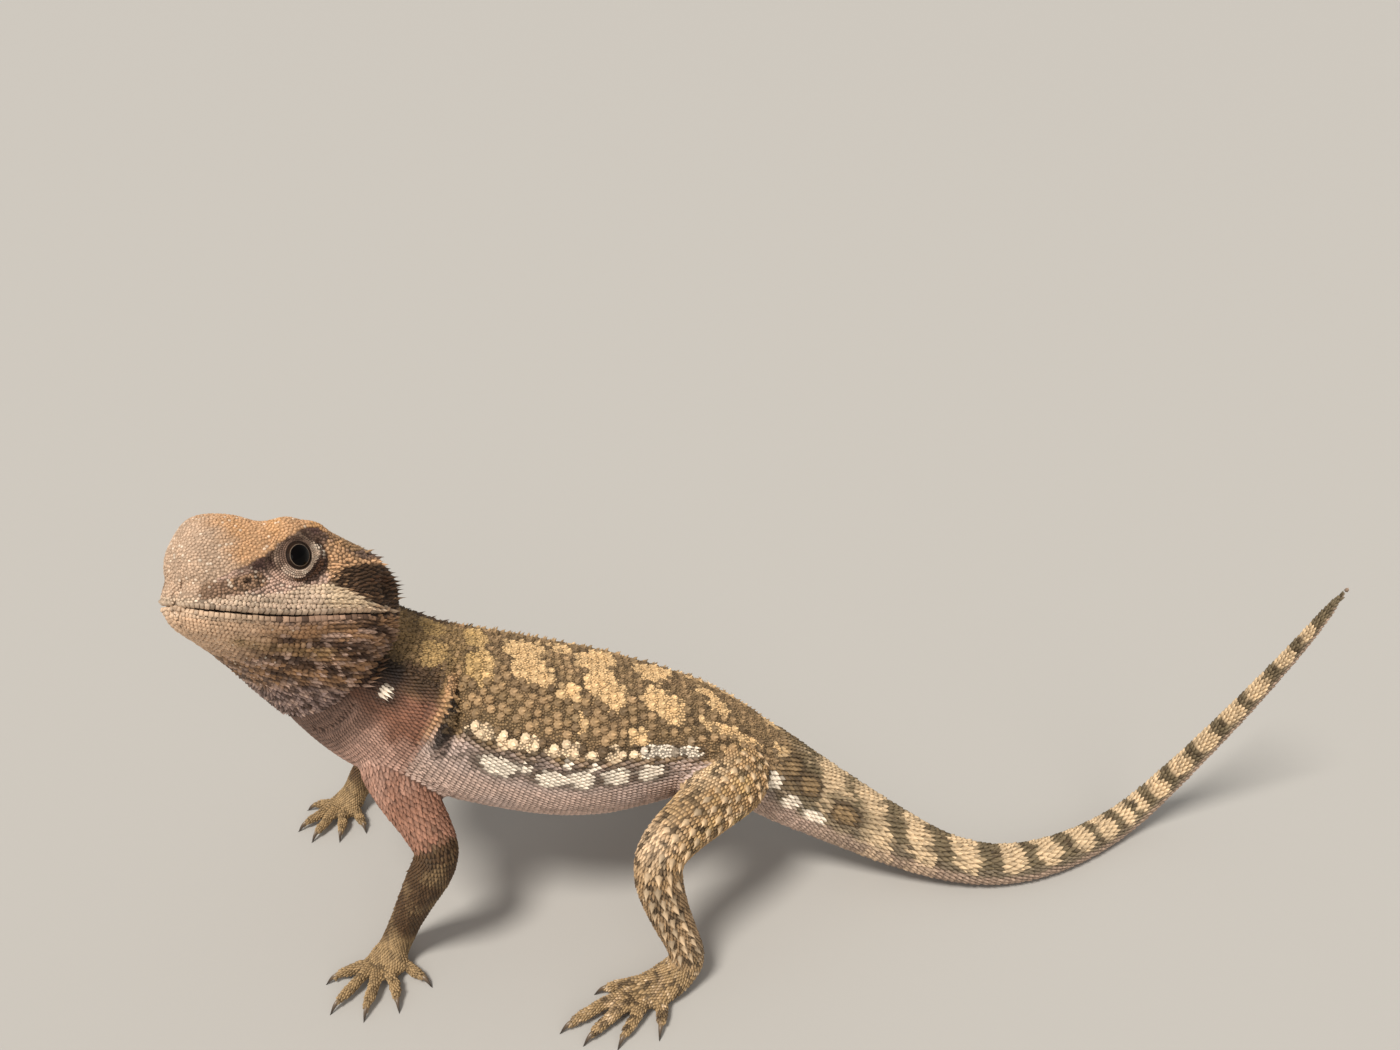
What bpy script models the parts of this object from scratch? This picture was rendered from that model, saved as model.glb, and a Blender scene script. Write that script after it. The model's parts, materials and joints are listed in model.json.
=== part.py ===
"""Rankin's dragon (Pogona henrylawsoni), a still model at life size.

The lizard stands on its four feet with its fore body raised and its head turned to its left.
Head, neck, trunk, tail and limbs are lofts through named rings, parted by thin gaps where a person
would name one part and the next. All sizes below are in millimetres. The head looks along -X and the
tail runs to +X, the animal's left side faces -Y, and the floor is z = 0.
"""
import math
import random
from dataclasses import dataclass, replace

import bmesh
import bpy
import numpy as np
from mathutils import Vector
from mathutils.bvhtree import BVHTree

MM = 0.001
GAP = 0.3
NAME = "rankins_dragon"

# Head pose: where the head joins the neck, and its turn, nod and roll in degrees
HEAD_ORIGIN = (-63.5, -5.0, 64.2)
HEAD_TURN = 66.0
HEAD_NOD = 28.8
HEAD_ROLL = 8.6

# Head proportions in its own frame: x to the snout, y to the left, z up
MOUTH_LEVEL = -4.5
PUPIL = (17.3, 9.5, 3.4)
GAZE = (0.26, 0.95, 0.14)
EYE_RADIUS = 3.3
LID_THICKNESS = 0.65
LID_OPENING = (2.75, 2.35)
NOSTRIL = (23.9, 6.2, -0.6)
EAR = (1.6, 12.6, -0.6)
EAR_SIZE = (1.9, 1.1, 1.5)

HEAD_RINGS = 31
HEAD_SIDES = 34
BODY_SIDES = 28
TAIL_SIDES = 14
LIMB_SIDES = 12
DIGIT_SIDES = 5
SPINE_SIDES = 4
SPINE_TIP = 0.12
LONGEST_SPINE = 2.5
SPINE_SEED = 11

DUST = (0.42, 0.35, 0.26, 1.0)


@dataclass(frozen=True)
class HeadRing:
    """One section of the head: place along it, half width, top, bottom and how square it is."""

    x: float
    half_width: float
    top: float
    bottom: float
    widest: float
    square_top: float
    square_bottom: float


@dataclass(frozen=True)
class Ring:
    """One section of the neck, trunk, tail or a limb round its centre."""

    centre: tuple
    half_width: float
    above: float
    below: float


@dataclass(frozen=True)
class Swell:
    """A soft rise (or, below zero, a hollow) of the head's surface, the same on both sides."""

    centre: tuple
    reach: tuple
    amount: float


@dataclass(frozen=True)
class SpineRow:
    """A row of spines on one node, each with its root on the surface nearest to the row's guide.

    On the head the guide runs through points of the head's own frame, and elsewhere through places
    along the track (in rings) and angles from the top towards the left in degrees. Every row is
    made on both sides. The spines lean back by the angle given, and the last one is the longest.
    """

    node: str
    guide: tuple
    count: int
    length: float
    width: float
    lean: float


HEAD = (
    HeadRing(-3.0, 11.6, 3.6, -21.5, -5.0, 2.6, 2.0),
    HeadRing(0.0, 12.4, 4.8, -20.6, -5.0, 2.8, 2.0),
    HeadRing(3.0, 12.7, 5.8, -19.6, -4.8, 3.0, 2.0),
    HeadRing(6.5, 12.7, 6.8, -18.3, -4.6, 3.3, 2.0),
    HeadRing(10.0, 11.8, 7.4, -16.8, -4.4, 3.8, 2.0),
    HeadRing(14.0, 10.5, 7.7, -15.1, -4.2, 4.2, 2.0),
    HeadRing(17.0, 9.4, 7.6, -13.7, -4.0, 4.2, 2.0),
    HeadRing(20.0, 8.1, 7.9, -12.1, -3.8, 3.4, 2.0),
    HeadRing(22.5, 7.1, 8.4, -10.8, -3.6, 2.8, 2.1),
    HeadRing(25.0, 6.0, 8.1, -9.5, -3.4, 2.6, 2.2),
    HeadRing(26.8, 4.8, 7.5, -8.5, -3.2, 2.5, 2.3),
    HeadRing(28.0, 3.7, 6.3, -7.5, -3.0, 2.4, 2.3),
    HeadRing(28.9, 2.7, 4.8, -6.6, -2.5, 2.2, 2.2),
    HeadRing(29.4, 1.8, 3.0, -5.8, -2.0, 2.1, 2.1),
    HeadRing(29.6, 0.8, 1.0, -4.6, -1.5, 2.0, 2.0),
)

HEAD_SWELLS = (
    Swell((18.2, 7.0, 7.6), (3.2, 1.9, 2.6), 2.20),
    Swell((13.4, 7.8, 7.0), (3.2, 1.7, 2.6), 1.25),
    Swell((16.0, 0.0, 8.0), (5.0, 2.8, 3.0), -0.40),
    Swell((21.4, 6.2, 4.4), (2.4, 1.6, 1.6), 0.45),
    Swell((21.4, 7.6, 0.4), (2.6, 3.0, 1.8), -0.55),
    Swell((16.9, 9.4, 3.0), (4.8, 3.0, 4.2), -0.90),
    Swell((8.5, 11.5, 1.4), (3.2, 3.0, 3.0), -0.90),
    Swell((3.0, 10.5, 3.6), (4.0, 2.6, 2.0), 0.50),
    Swell((12.0, 10.8, -2.2), (7.0, 3.0, 1.5), 0.45),
    Swell((23.0, 6.6, -2.8), (4.0, 3.0, 1.2), 0.25),
    Swell((15.0, 10.4, -6.2), (9.0, 3.0, 1.0), 0.30),
    Swell((29.2, 0.0, -1.2), (2.2, 4.6, 0.9), -0.80),
    Swell((4.0, 12.0, -8.5), (6.0, 4.0, 3.0), 0.60),
)

# Neck, trunk and tail, from the nape inside the head to the tail tip
SPINE = (
    Ring((-66.5, -13.0, 61.0), 9.0, 7.5, 10.0),
    Ring((-64.0, -8.5, 57.5), 10.2, 8.0, 12.5),
    Ring((-60.0, -7.0, 51.5), 11.8, 8.6, 14.6),
    Ring((-54.5, -6.2, 45.8), 13.2, 10.2, 15.4),
    Ring((-48.0, -5.5, 41.0), 14.4, 12.0, 14.0),
    Ring((-39.0, -4.0, 36.5), 16.0, 12.8, 12.6),
    Ring((-30.0, -2.5, 33.4), 16.4, 12.9, 12.3),
    Ring((-22.5, -1.4, 31.6), 15.6, 12.4, 11.8),
    Ring((-15.0, -0.4, 30.6), 13.9, 10.9, 10.4),
    Ring((-9.0, 0.4, 29.8), 12.2, 9.4, 9.0),
    Ring((-3.0, 1.4, 27.2), 10.8, 8.2, 8.0),
    Ring((3.4, 2.0, 23.2), 9.2, 7.2, 7.0),
    Ring((9.6, 2.0, 18.5), 8.0, 6.9, 6.8),
    Ring((18.8, 1.0, 13.2), 6.7, 6.0, 5.9),
    Ring((29.3, -1.2, 8.3), 5.3, 4.9, 4.9),
    Ring((39.5, -3.4, 4.6), 4.1, 3.8, 3.8),
    Ring((49.8, -4.0, 3.1), 3.4, 3.2, 3.2),
    Ring((60.5, -1.0, 2.8), 3.05, 2.9, 2.9),
    Ring((70.0, 4.2, 2.5), 2.75, 2.6, 2.6),
    Ring((77.6, 8.6, 3.7), 2.45, 2.35, 2.35),
    Ring((82.6, 10.0, 8.6), 2.25, 2.15, 2.15),
    Ring((88.6, 10.0, 18.0), 1.9, 1.85, 1.85),
    Ring((95.2, 10.0, 29.2), 1.6, 1.55, 1.55),
    Ring((101.3, 10.0, 40.6), 1.25, 1.2, 1.2),
    Ring((105.0, 10.0, 48.6), 0.9, 0.85, 0.85),
    Ring((107.2, 10.0, 53.6), 0.45, 0.45, 0.45),
)

# Places along SPINE (in rings from its start) where one part ends and the next begins
NECK_TO_TORSO = 3.6
TORSO_MIDDLE = 6.5
TORSO_TO_TAIL = 11.2
TAIL_CUTS = (13.5, 15.7, 18.4, 21.5)


@dataclass(frozen=True)
class Limb:
    """A limb from inside the trunk to the end of its palm, and its digits.

    The middle and end joints are places along the rings. A digit is its root, knuckle and tip.
    """

    rings: tuple
    middle: float
    end: float
    digits: tuple
    digit_radius: float


FORELIMB_LEFT = Limb(
    (
        Ring((-53.0, -6.0, 41.0), 6.0, 6.5, 6.5),
        Ring((-53.8, -13.4, 37.4), 5.8, 6.8, 6.8),
        Ring((-52.2, -17.0, 32.6), 4.6, 5.2, 5.2),
        Ring((-49.0, -20.0, 27.8), 3.5, 3.9, 3.9),
        Ring((-46.8, -22.0, 23.8), 3.3, 3.4, 3.4),
        Ring((-48.4, -22.4, 19.5), 3.3, 3.5, 3.5),
        Ring((-51.6, -21.8, 13.0), 2.8, 3.1, 3.1),
        Ring((-54.3, -21.4, 7.2), 2.4, 2.7, 2.7),
        Ring((-56.0, -22.2, 3.6), 2.3, 2.8, 2.8),
        Ring((-57.2, -24.4, 1.9), 3.5, 1.6, 2.1),
        Ring((-58.2, -26.2, 1.5), 3.0, 1.3, 1.75),
    ),
    4.0,
    7.4,
    (
        ((-56.0, -23.8, 1.4), (-52.6, -26.0, 2.0), (-50.4, -27.4, 0.6)),
        ((-56.8, -25.2, 1.5), (-54.8, -29.2, 2.2), (-53.8, -31.8, 0.6)),
        ((-58.0, -25.6, 1.5), (-58.2, -30.4, 2.4), (-58.4, -33.4, 0.6)),
        ((-59.0, -25.2, 1.5), (-61.8, -29.6, 2.2), (-63.4, -32.2, 0.6)),
        ((-59.0, -24.2, 1.4), (-62.8, -25.8, 2.0), (-65.2, -27.0, 0.6)),
    ),
    0.9,
)
FORELIMB_RIGHT = Limb(
    (
        Ring((-53.0, -4.0, 41.0), 6.0, 6.5, 6.5),
        Ring((-56.0, 3.6, 37.6), 5.5, 6.4, 6.4),
        Ring((-57.5, 9.5, 33.0), 4.3, 4.8, 4.8),
        Ring((-59.0, 15.0, 28.5), 3.6, 3.9, 3.9),
        Ring((-60.5, 19.0, 24.0), 3.3, 3.4, 3.4),
        Ring((-63.4, 19.6, 19.5), 3.2, 3.4, 3.4),
        Ring((-68.0, 18.4, 13.0), 2.8, 2.9, 2.9),
        Ring((-71.8, 17.0, 7.2), 2.3, 2.5, 2.5),
        Ring((-73.2, 16.2, 3.8), 2.2, 2.6, 2.6),
        Ring((-75.0, 14.2, 1.9), 3.4, 1.6, 2.1),
        Ring((-76.0, 12.6, 1.5), 2.9, 1.3, 1.75),
    ),
    4.0,
    7.4,
    (
        ((-73.8, 14.0, 1.4), (-71.6, 10.8, 2.0), (-70.4, 9.0, 0.6)),
        ((-75.0, 13.0, 1.5), (-74.4, 9.2, 2.2), (-74.2, 6.8, 0.6)),
        ((-76.2, 12.8, 1.5), (-77.8, 9.0, 2.3), (-78.8, 6.6, 0.6)),
        ((-77.0, 13.6, 1.5), (-80.0, 10.8, 2.2), (-81.8, 9.2, 0.6)),
        ((-76.6, 15.0, 1.4), (-79.6, 14.6, 2.0), (-81.6, 14.4, 0.6)),
    ),
    0.9,
)
HINDLIMB_LEFT = Limb(
    (
        Ring((0.0, 0.0, 25.5), 6.0, 6.5, 6.5),
        Ring((1.0, -7.0, 25.6), 6.2, 6.6, 6.6),
        Ring((-2.6, -14.0, 26.6), 5.4, 6.0, 6.0),
        Ring((-7.0, -19.5, 26.6), 4.5, 5.0, 5.0),
        Ring((-11.2, -23.8, 25.2), 3.8, 4.1, 4.1),
        Ring((-11.6, -25.2, 20.2), 3.3, 3.7, 3.7),
        Ring((-9.8, -26.0, 14.0), 2.9, 3.2, 3.2),
        Ring((-7.6, -26.4, 8.0), 2.6, 2.8, 2.8),
        Ring((-7.0, -26.8, 4.2), 2.6, 2.8, 2.8),
        Ring((-10.6, -28.8, 2.0), 3.3, 1.8, 2.25),
        Ring((-14.0, -30.6, 1.6), 3.3, 1.4, 1.85),
    ),
    4.2,
    7.3,
    (
        ((-10.8, -30.6, 1.4), (-11.0, -34.4, 2.0), (-11.2, -36.8, 0.6)),
        ((-13.0, -31.6, 1.5), (-15.6, -36.0, 2.2), (-17.0, -38.6, 0.6)),
        ((-14.6, -31.2, 1.5), (-19.6, -35.8, 2.4), (-22.0, -38.2, 0.6)),
        ((-15.0, -30.0, 1.5), (-21.8, -33.8, 2.6), (-25.6, -36.2, 0.6)),
        ((-12.2, -28.0, 1.4), (-17.6, -28.8, 2.0), (-20.6, -29.4, 0.6)),
    ),
    0.95,
)
HINDLIMB_RIGHT = Limb(
    (
        Ring((0.0, 2.0, 24.5), 5.6, 6.0, 6.0),
        Ring((0.0, 8.5, 23.4), 5.6, 6.0, 5.6),
        Ring((-4.0, 14.5, 23.6), 4.9, 5.4, 5.4),
        Ring((-9.0, 19.5, 23.4), 4.2, 4.6, 4.6),
        Ring((-12.8, 23.0, 21.6), 3.7, 3.9, 3.9),
        Ring((-12.8, 24.2, 17.6), 3.3, 3.6, 3.6),
        Ring((-10.6, 24.0, 12.0), 2.9, 3.2, 3.2),
        Ring((-8.0, 23.4, 7.4), 2.6, 2.8, 2.8),
        Ring((-7.2, 23.6, 4.2), 2.5, 2.7, 2.7),
        Ring((-10.6, 25.6, 2.0), 3.3, 1.8, 2.25),
        Ring((-14.0, 27.6, 1.6), 3.3, 1.4, 1.85),
    ),
    4.2,
    7.3,
    (
        ((-10.6, 27.6, 1.4), (-10.8, 31.4, 2.0), (-10.8, 33.8, 0.6)),
        ((-12.8, 28.6, 1.5), (-15.0, 33.4, 2.2), (-16.0, 36.0, 0.6)),
        ((-14.4, 28.2, 1.5), (-19.0, 33.4, 2.4), (-21.2, 36.0, 0.6)),
        ((-15.0, 27.0, 1.5), (-21.6, 31.4, 2.6), (-25.2, 34.0, 0.6)),
        ((-12.2, 24.8, 1.4), (-17.6, 26.2, 2.0), (-20.6, 27.0, 0.6)),
    ),
    0.95,
)

HEAD_SPINES = (
    SpineRow("head", ((1.2, 1.2, 6.0), (0.8, 5.0, 5.6), (0.2, 9.4, 3.8)), 6, 1.5, 1.1, 42.0),
    SpineRow("head", ((0.6, 10.6, 2.6), (-1.2, 11.8, 0.2), (-2.0, 12.2, -2.4)), 5, 2.0, 1.2, 40.0),
    SpineRow("head", ((5.5, 12.4, -3.7), (2.4, 12.9, -3.7), (-0.4, 12.6, -3.6)), 4, 1.5, 1.1, 48.0),
    SpineRow("head", ((4.8, 10.2, 5.4), (4.2, 11.6, 3.6), (3.6, 12.4, 2.0)), 3, 1.1, 1.0, 45.0),
    SpineRow("lower_jaw", ((1.5, 12.7, -6.4), (-0.8, 12.4, -8.6)), 3, 1.8, 1.2, 45.0),
    SpineRow("lower_jaw", ((-0.6, 12.0, -10.4), (1.6, 11.4, -14.6), (5.8, 9.6, -18.0)), 7, 1.9, 1.2, 42.0),
    SpineRow("lower_jaw", ((4.4, 12.4, -9.0), (6.0, 11.4, -12.8), (9.4, 9.2, -16.0)), 5, 1.3, 1.1, 48.0),
    SpineRow("lower_jaw", ((8.8, 11.6, -8.6), (11.0, 9.8, -12.6), (14.4, 6.6, -14.6)), 4, 0.9, 1.0, 52.0),
)

BODY_SPINES = (
    SpineRow("neck", ((2.2, 14.0), (3.2, 12.0)), 3, 1.1, 1.1, 50.0),
    SpineRow("neck", ((2.1, 42.0), (3.2, 38.0)), 3, 1.3, 1.1, 48.0),
    SpineRow("neck", ((2.5, 72.0), (3.2, 66.0)), 2, 1.4, 1.2, 45.0),
    SpineRow("torso_front", ((3.9, 10.0), (6.1, 9.0)), 5, 0.8, 1.1, 55.0),
    SpineRow("torso_front", ((4.1, 32.0), (6.2, 30.0)), 5, 0.9, 1.1, 52.0),
    SpineRow("torso_front", ((3.9, 56.0), (6.1, 56.0)), 5, 0.9, 1.1, 50.0),
    SpineRow("torso_front", ((4.9, 88.0), (6.2, 86.0)), 4, 1.3, 1.2, 45.0),
    SpineRow("torso_rear", ((6.8, 9.0), (10.8, 9.0)), 6, 0.8, 1.1, 55.0),
    SpineRow("torso_rear", ((7.1, 30.0), (10.6, 32.0)), 6, 0.9, 1.1, 52.0),
    SpineRow("torso_rear", ((6.8, 56.0), (9.4, 58.0)), 5, 0.9, 1.1, 50.0),
    SpineRow("torso_rear", ((6.8, 85.0), (8.4, 84.0)), 4, 1.3, 1.2, 45.0),
    SpineRow("tail_1", ((11.5, 12.0), (13.2, 12.0)), 3, 0.8, 1.0, 55.0),
    SpineRow("tail_1", ((11.7, 48.0), (13.2, 46.0)), 3, 0.9, 1.1, 52.0),
    SpineRow("tail_1", ((11.8, 84.0), (13.2, 82.0)), 3, 1.1, 1.1, 48.0),
    SpineRow("tail_2", ((13.8, 24.0), (15.4, 24.0)), 3, 0.7, 0.9, 55.0),
    SpineRow("tail_2", ((14.0, 72.0), (15.4, 70.0)), 3, 0.7, 0.9, 52.0),
)

# Rows on the left and right limbs
LIMB_SPINES = (
    SpineRow("thigh", ((2.2, 70.0), (3.8, 80.0)), 3, 1.1, 1.1, 45.0),
    SpineRow("thigh", ((2.2, 30.0), (3.7, 40.0)), 2, 0.9, 1.0, 50.0),
    SpineRow("shin", ((4.7, 80.0), (6.6, 80.0)), 3, 0.7, 0.9, 50.0),
)


def head_axes():
    """Return the 3 x 3 matrix whose columns are the head's forward, left and up in the model."""
    turn, nod, roll = (math.radians(a) for a in (HEAD_TURN, HEAD_NOD, HEAD_ROLL))
    facing = np.array([[-1.0, 0.0, 0.0], [0.0, -1.0, 0.0], [0.0, 0.0, 1.0]])
    about_z = np.array([
        [math.cos(turn), -math.sin(turn), 0.0],
        [math.sin(turn), math.cos(turn), 0.0],
        [0.0, 0.0, 1.0],
    ])
    about_left = np.array([
        [math.cos(nod), 0.0, -math.sin(nod)],
        [0.0, 1.0, 0.0],
        [math.sin(nod), 0.0, math.cos(nod)],
    ])
    about_axis = np.array([
        [1.0, 0.0, 0.0],
        [0.0, math.cos(roll), -math.sin(roll)],
        [0.0, math.sin(roll), math.cos(roll)],
    ])
    return about_z @ facing @ about_left @ about_axis


HEAD_AXES = head_axes()


def from_head(points):
    """Carry points from the head's own frame to the model's."""
    return np.asarray(points, float) @ HEAD_AXES.T + np.array(HEAD_ORIGIN)


def turn_from_head(direction):
    """Carry a direction from the head's own frame to the model's."""
    return HEAD_AXES @ np.asarray(direction, float)


def smooth_curve(keys, values, at):
    """Read a smooth curve through the values at the keys, with no overshoot between them."""
    keys = np.asarray(keys, float)
    values = np.asarray(values, float).reshape(len(keys), -1)
    step = np.diff(keys)[:, None]
    slope = np.diff(values, axis=0) / step
    tangent = np.zeros_like(values)
    before, after = slope[:-1], slope[1:]
    same_way = before * after > 0.0
    total = np.where(same_way, before + after, 1.0)
    tangent[1:-1] = np.where(same_way, 2.0 * before * after / total, 0.0)
    tangent[0], tangent[-1] = slope[0], slope[-1]
    at = np.clip(np.atleast_1d(np.asarray(at, float)), keys[0], keys[-1])
    i = np.clip(np.searchsorted(keys, at, side="right") - 1, 0, len(keys) - 2)
    h = step[i]
    t = ((at - keys[i]) / h[:, 0])[:, None]
    t2, t3 = t * t, t * t * t
    return (
        (2 * t3 - 3 * t2 + 1) * values[i]
        + (t3 - 2 * t2 + t) * h * tangent[i]
        + (3 * t2 - 2 * t3) * values[i + 1]
        + (t3 - t2) * h * tangent[i + 1]
    )


def path_curve(points, at):
    """Read a rounded path through the points, where at counts points from the start."""
    points = np.asarray(points, float)
    tangent = np.gradient(points, axis=0)
    at = np.clip(np.atleast_1d(np.asarray(at, float)), 0.0, len(points) - 1.0)
    i = np.clip(np.floor(at).astype(int), 0, len(points) - 2)
    t = (at - i)[:, None]
    t2, t3 = t * t, t * t * t
    return (
        (2 * t3 - 3 * t2 + 1) * points[i]
        + (t3 - 2 * t2 + t) * tangent[i]
        + (3 * t2 - 2 * t3) * points[i + 1]
        + (t3 - t2) * tangent[i + 1]
    )


def unit(vectors):
    """Scale vectors to length one."""
    vectors = np.asarray(vectors, float)
    return vectors / np.linalg.norm(vectors, axis=-1, keepdims=True)


class Track:
    """The centre line of a neck, tail or limb, with frames carried along it without twist."""

    FINE = 24
    ROUNDING = 0.4
    CREASE_FROM = 0.5
    CREASE_MOST = 0.88

    def __init__(self, rings, up, up_at=0.0):
        self.rings = rings
        self.last = len(rings) - 1.0
        self.fine = np.linspace(0.0, self.last, int(self.last * self.FINE) + 1)
        self.points = self._rounded(path_curve([r.centre for r in rings], self.fine))
        steps = np.gradient(self.points, axis=0)
        self.tangents = unit(steps)
        pace = np.linalg.norm(steps, axis=1, keepdims=True)
        self.bends = np.gradient(self.tangents, axis=0) / pace
        self.ups = self._carry(np.asarray(up, float), int(round(up_at * self.FINE)))

    def _rounded(self, points):
        """Round the bends of the path without moving its two ends."""
        spread = self.ROUNDING * self.FINE
        reach = int(3 * spread)
        weights = np.exp(-0.5 * (np.arange(-reach, reach + 1) / spread) ** 2)
        weights /= weights.sum()
        before = 2 * points[0] - points[reach:0:-1]
        after = 2 * points[-1] - points[-2:-reach - 2:-1]
        padded = np.vstack([before, points, after])
        return np.stack([np.convolve(padded[:, k], weights, "valid") for k in range(3)], -1)

    def _carry(self, up, start):
        """Carry the up direction both ways from the start by turning it with the path."""
        ups = np.zeros_like(self.points)
        first = up - self.tangents[start] * (up @ self.tangents[start])
        ups[start] = first / np.linalg.norm(first)
        for way in (1, -1):
            i = start
            while 0 <= i + way < len(ups):
                here = ups[i] - self.tangents[i + way] * (ups[i] @ self.tangents[i + way])
                ups[i + way] = here / np.linalg.norm(here)
                i += way
        return ups

    def _read(self, rows, at):
        """Read rows kept along the fine path at places counted in rings."""
        return np.stack([np.interp(at, self.fine, rows[:, k]) for k in range(3)], -1)

    def frame(self, at):
        """Return centres, backward tangents, up and left directions at places along the path."""
        at = np.atleast_1d(np.asarray(at, float))
        tangent = unit(self._read(self.tangents, at))
        up = self._read(self.ups, at)
        up = unit(up - tangent * np.sum(up * tangent, axis=1, keepdims=True))
        return self._read(self.points, at), tangent, up, np.cross(tangent, up)

    def sizes(self, at):
        """Return half width, height above and depth below the centre at places along the path."""
        keys = np.arange(len(self.rings))
        values = [(r.half_width, r.above, r.below) for r in self.rings]
        return smooth_curve(keys, values, at)

    def surface(self, at, angle, grow=0.0, square=2.15):
        """Return the surface points at places along the path and angles from the top to the left.

        The inner side of a sharp bend is drawn in, so that it creases and doesn't cross itself.
        """
        centre, _, up, left = self.frame(at)
        size = self.sizes(at) + grow
        angle = np.asarray(angle, float)
        across = np.sign(np.sin(angle)) * np.abs(np.sin(angle)) ** (2.0 / square)
        upward = np.sign(np.cos(angle)) * np.abs(np.cos(angle)) ** (2.0 / square)
        height = np.where(upward >= 0.0, size[:, 1:2], size[:, 2:3])
        out = left[:, None, :] * (size[:, 0:1] * across)[..., None]
        out = out + up[:, None, :] * (height * upward)[..., None]
        bend = self._read(self.bends, np.atleast_1d(at))[:, None, :]
        sharp = np.maximum(np.sum(bend * bend, axis=-1, keepdims=True), 1e-9)
        inward = np.sum(out * bend, axis=-1, keepdims=True)
        room = self.CREASE_MOST - self.CREASE_FROM
        eased = self.CREASE_FROM + room * np.tanh((inward - self.CREASE_FROM) / room)
        out = out + bend * (np.where(inward > self.CREASE_FROM, eased, inward) - inward) / sharp
        return centre[:, None, :] + out


def even_angles(count):
    """Return angles round a section, counted from the top towards the left."""
    return np.arange(count) * 2.0 * math.pi / count


def loft_mesh(grid):
    """Join a grid of rings into a closed surface, with a fan from a centre point at each end.

    The ring order runs along the part, and the points of a ring run from the top to the left.
    """
    rings, sides = grid.shape[:2]
    points = grid.reshape(-1, 3)
    ends = np.stack([grid[0].mean(axis=0), grid[-1].mean(axis=0)])
    first_centre, last_centre = rings * sides, rings * sides + 1
    faces = []
    for i in range(rings - 1):
        for j in range(sides):
            k = (j + 1) % sides
            faces.append((i * sides + j, i * sides + k, (i + 1) * sides + k, (i + 1) * sides + j))
    for j in range(sides):
        k = (j + 1) % sides
        faces.append((first_centre, k, j))
        faces.append((last_centre, (rings - 1) * sides + j, (rings - 1) * sides + k))
    return np.vstack([points, ends]), faces


def new_material(name, colour, roughness):
    """Make a Principled material of one colour."""
    material = bpy.data.materials.new(name)
    material.use_nodes = True
    shader = material.node_tree.nodes["Principled BSDF"]
    shader.inputs["Base Color"].default_value = colour
    shader.inputs["Roughness"].default_value = roughness
    shader.inputs["Metallic"].default_value = 0.0
    return material


def mesh_object(name, points, faces, collection):
    """Make a mesh object from points in millimetres, with its faces turned outwards."""
    mesh = bpy.data.meshes.new(name)
    mesh.from_pydata([tuple(p) for p in np.asarray(points) * MM], [], faces)
    bm = bmesh.new()
    bm.from_mesh(mesh)
    bmesh.ops.recalc_face_normals(bm, faces=bm.faces)
    bm.to_mesh(mesh)
    bm.free()
    thing = bpy.data.objects.new(name, mesh)
    collection.objects.link(thing)
    return thing


def primitive(name, make, place, axis, scale, collection):
    """Make a bmesh primitive, scaled along its own axes and turned so that its Z is the axis."""
    bm = bmesh.new()
    make(bm)
    turn = Vector((0.0, 0.0, 1.0)).rotation_difference(Vector(axis))
    for vert in bm.verts:
        stretched = Vector((vert.co.x * scale[0], vert.co.y * scale[1], vert.co.z * scale[2]))
        vert.co = (turn @ stretched + Vector(place)) * MM
    mesh = bpy.data.meshes.new(name)
    bm.to_mesh(mesh)
    bm.free()
    thing = bpy.data.objects.new(name, mesh)
    collection.objects.link(thing)
    return thing


def ball(name, place, axis, scale, collection, around=20, rows=12):
    """Make a sphere stretched to three radii."""
    def make(bm):
        bmesh.ops.create_uvsphere(bm, u_segments=around, v_segments=rows, radius=1.0)
    return primitive(name, make, place, axis, scale, collection)


def block(name, low, high, collection):
    """Make a box between two corners."""
    low, high = np.asarray(low, float), np.asarray(high, float)
    def make(bm):
        bmesh.ops.create_cube(bm, size=1.0)
    return primitive(name, make, (low + high) / 2, (0, 0, 1), high - low, collection)


def apply_modifiers(thing):
    """Replace an object's mesh by its evaluated one and drop its modifiers."""
    graph = bpy.context.evaluated_depsgraph_get()
    mesh = bpy.data.meshes.new_from_object(thing.evaluated_get(graph))
    old = thing.data
    thing.modifiers.clear()
    thing.data = mesh
    bpy.data.meshes.remove(old)


def remove(things):
    """Remove objects and their meshes."""
    for thing in list(things):
        mesh = thing.data
        bpy.data.objects.remove(thing)
        bpy.data.meshes.remove(mesh)


def keep_largest(thing):
    """Keep only the closed surface of a mesh that encloses the most."""
    bm = bmesh.new()
    bm.from_mesh(thing.data)
    bm.faces.ensure_lookup_table()
    unseen = set(bm.faces)
    shells = []
    while unseen:
        start = unseen.pop()
        shell, front = [start], [start]
        while front:
            face = front.pop()
            for edge in face.edges:
                for other in edge.link_faces:
                    if other in unseen:
                        unseen.discard(other)
                        shell.append(other)
                        front.append(other)
        shells.append(shell)

    def enclosed(shell):
        volume = 0.0
        for face in shell:
            a = face.verts[0].co
            for b, c in zip(face.verts[1:-1], face.verts[2:]):
                volume += a.dot(b.co.cross(c.co))
        return abs(volume)

    shells.sort(key=enclosed, reverse=True)
    for shell in shells[1:]:
        bmesh.ops.delete(bm, geom=shell, context="FACES")
    loose = [v for v in bm.verts if not v.link_faces]
    bmesh.ops.delete(bm, geom=loose, context="VERTS")
    bm.to_mesh(thing.data)
    bm.free()


def combine(thing, others, operation):
    """Join or cut a mesh with closed meshes in one Boolean step, then remove them."""
    tools = bpy.data.collections.new("tools")
    bpy.context.scene.collection.children.link(tools)
    for other in others:
        for home in other.users_collection:
            home.objects.unlink(other)
        tools.objects.link(other)
    step = thing.modifiers.new("step", "BOOLEAN")
    step.operation = operation
    step.operand_type = "COLLECTION"
    step.collection = tools
    step.solver = "EXACT"
    apply_modifiers(thing)
    remove(tools.objects)
    bpy.data.collections.remove(tools)
    keep_largest(thing)


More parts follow.
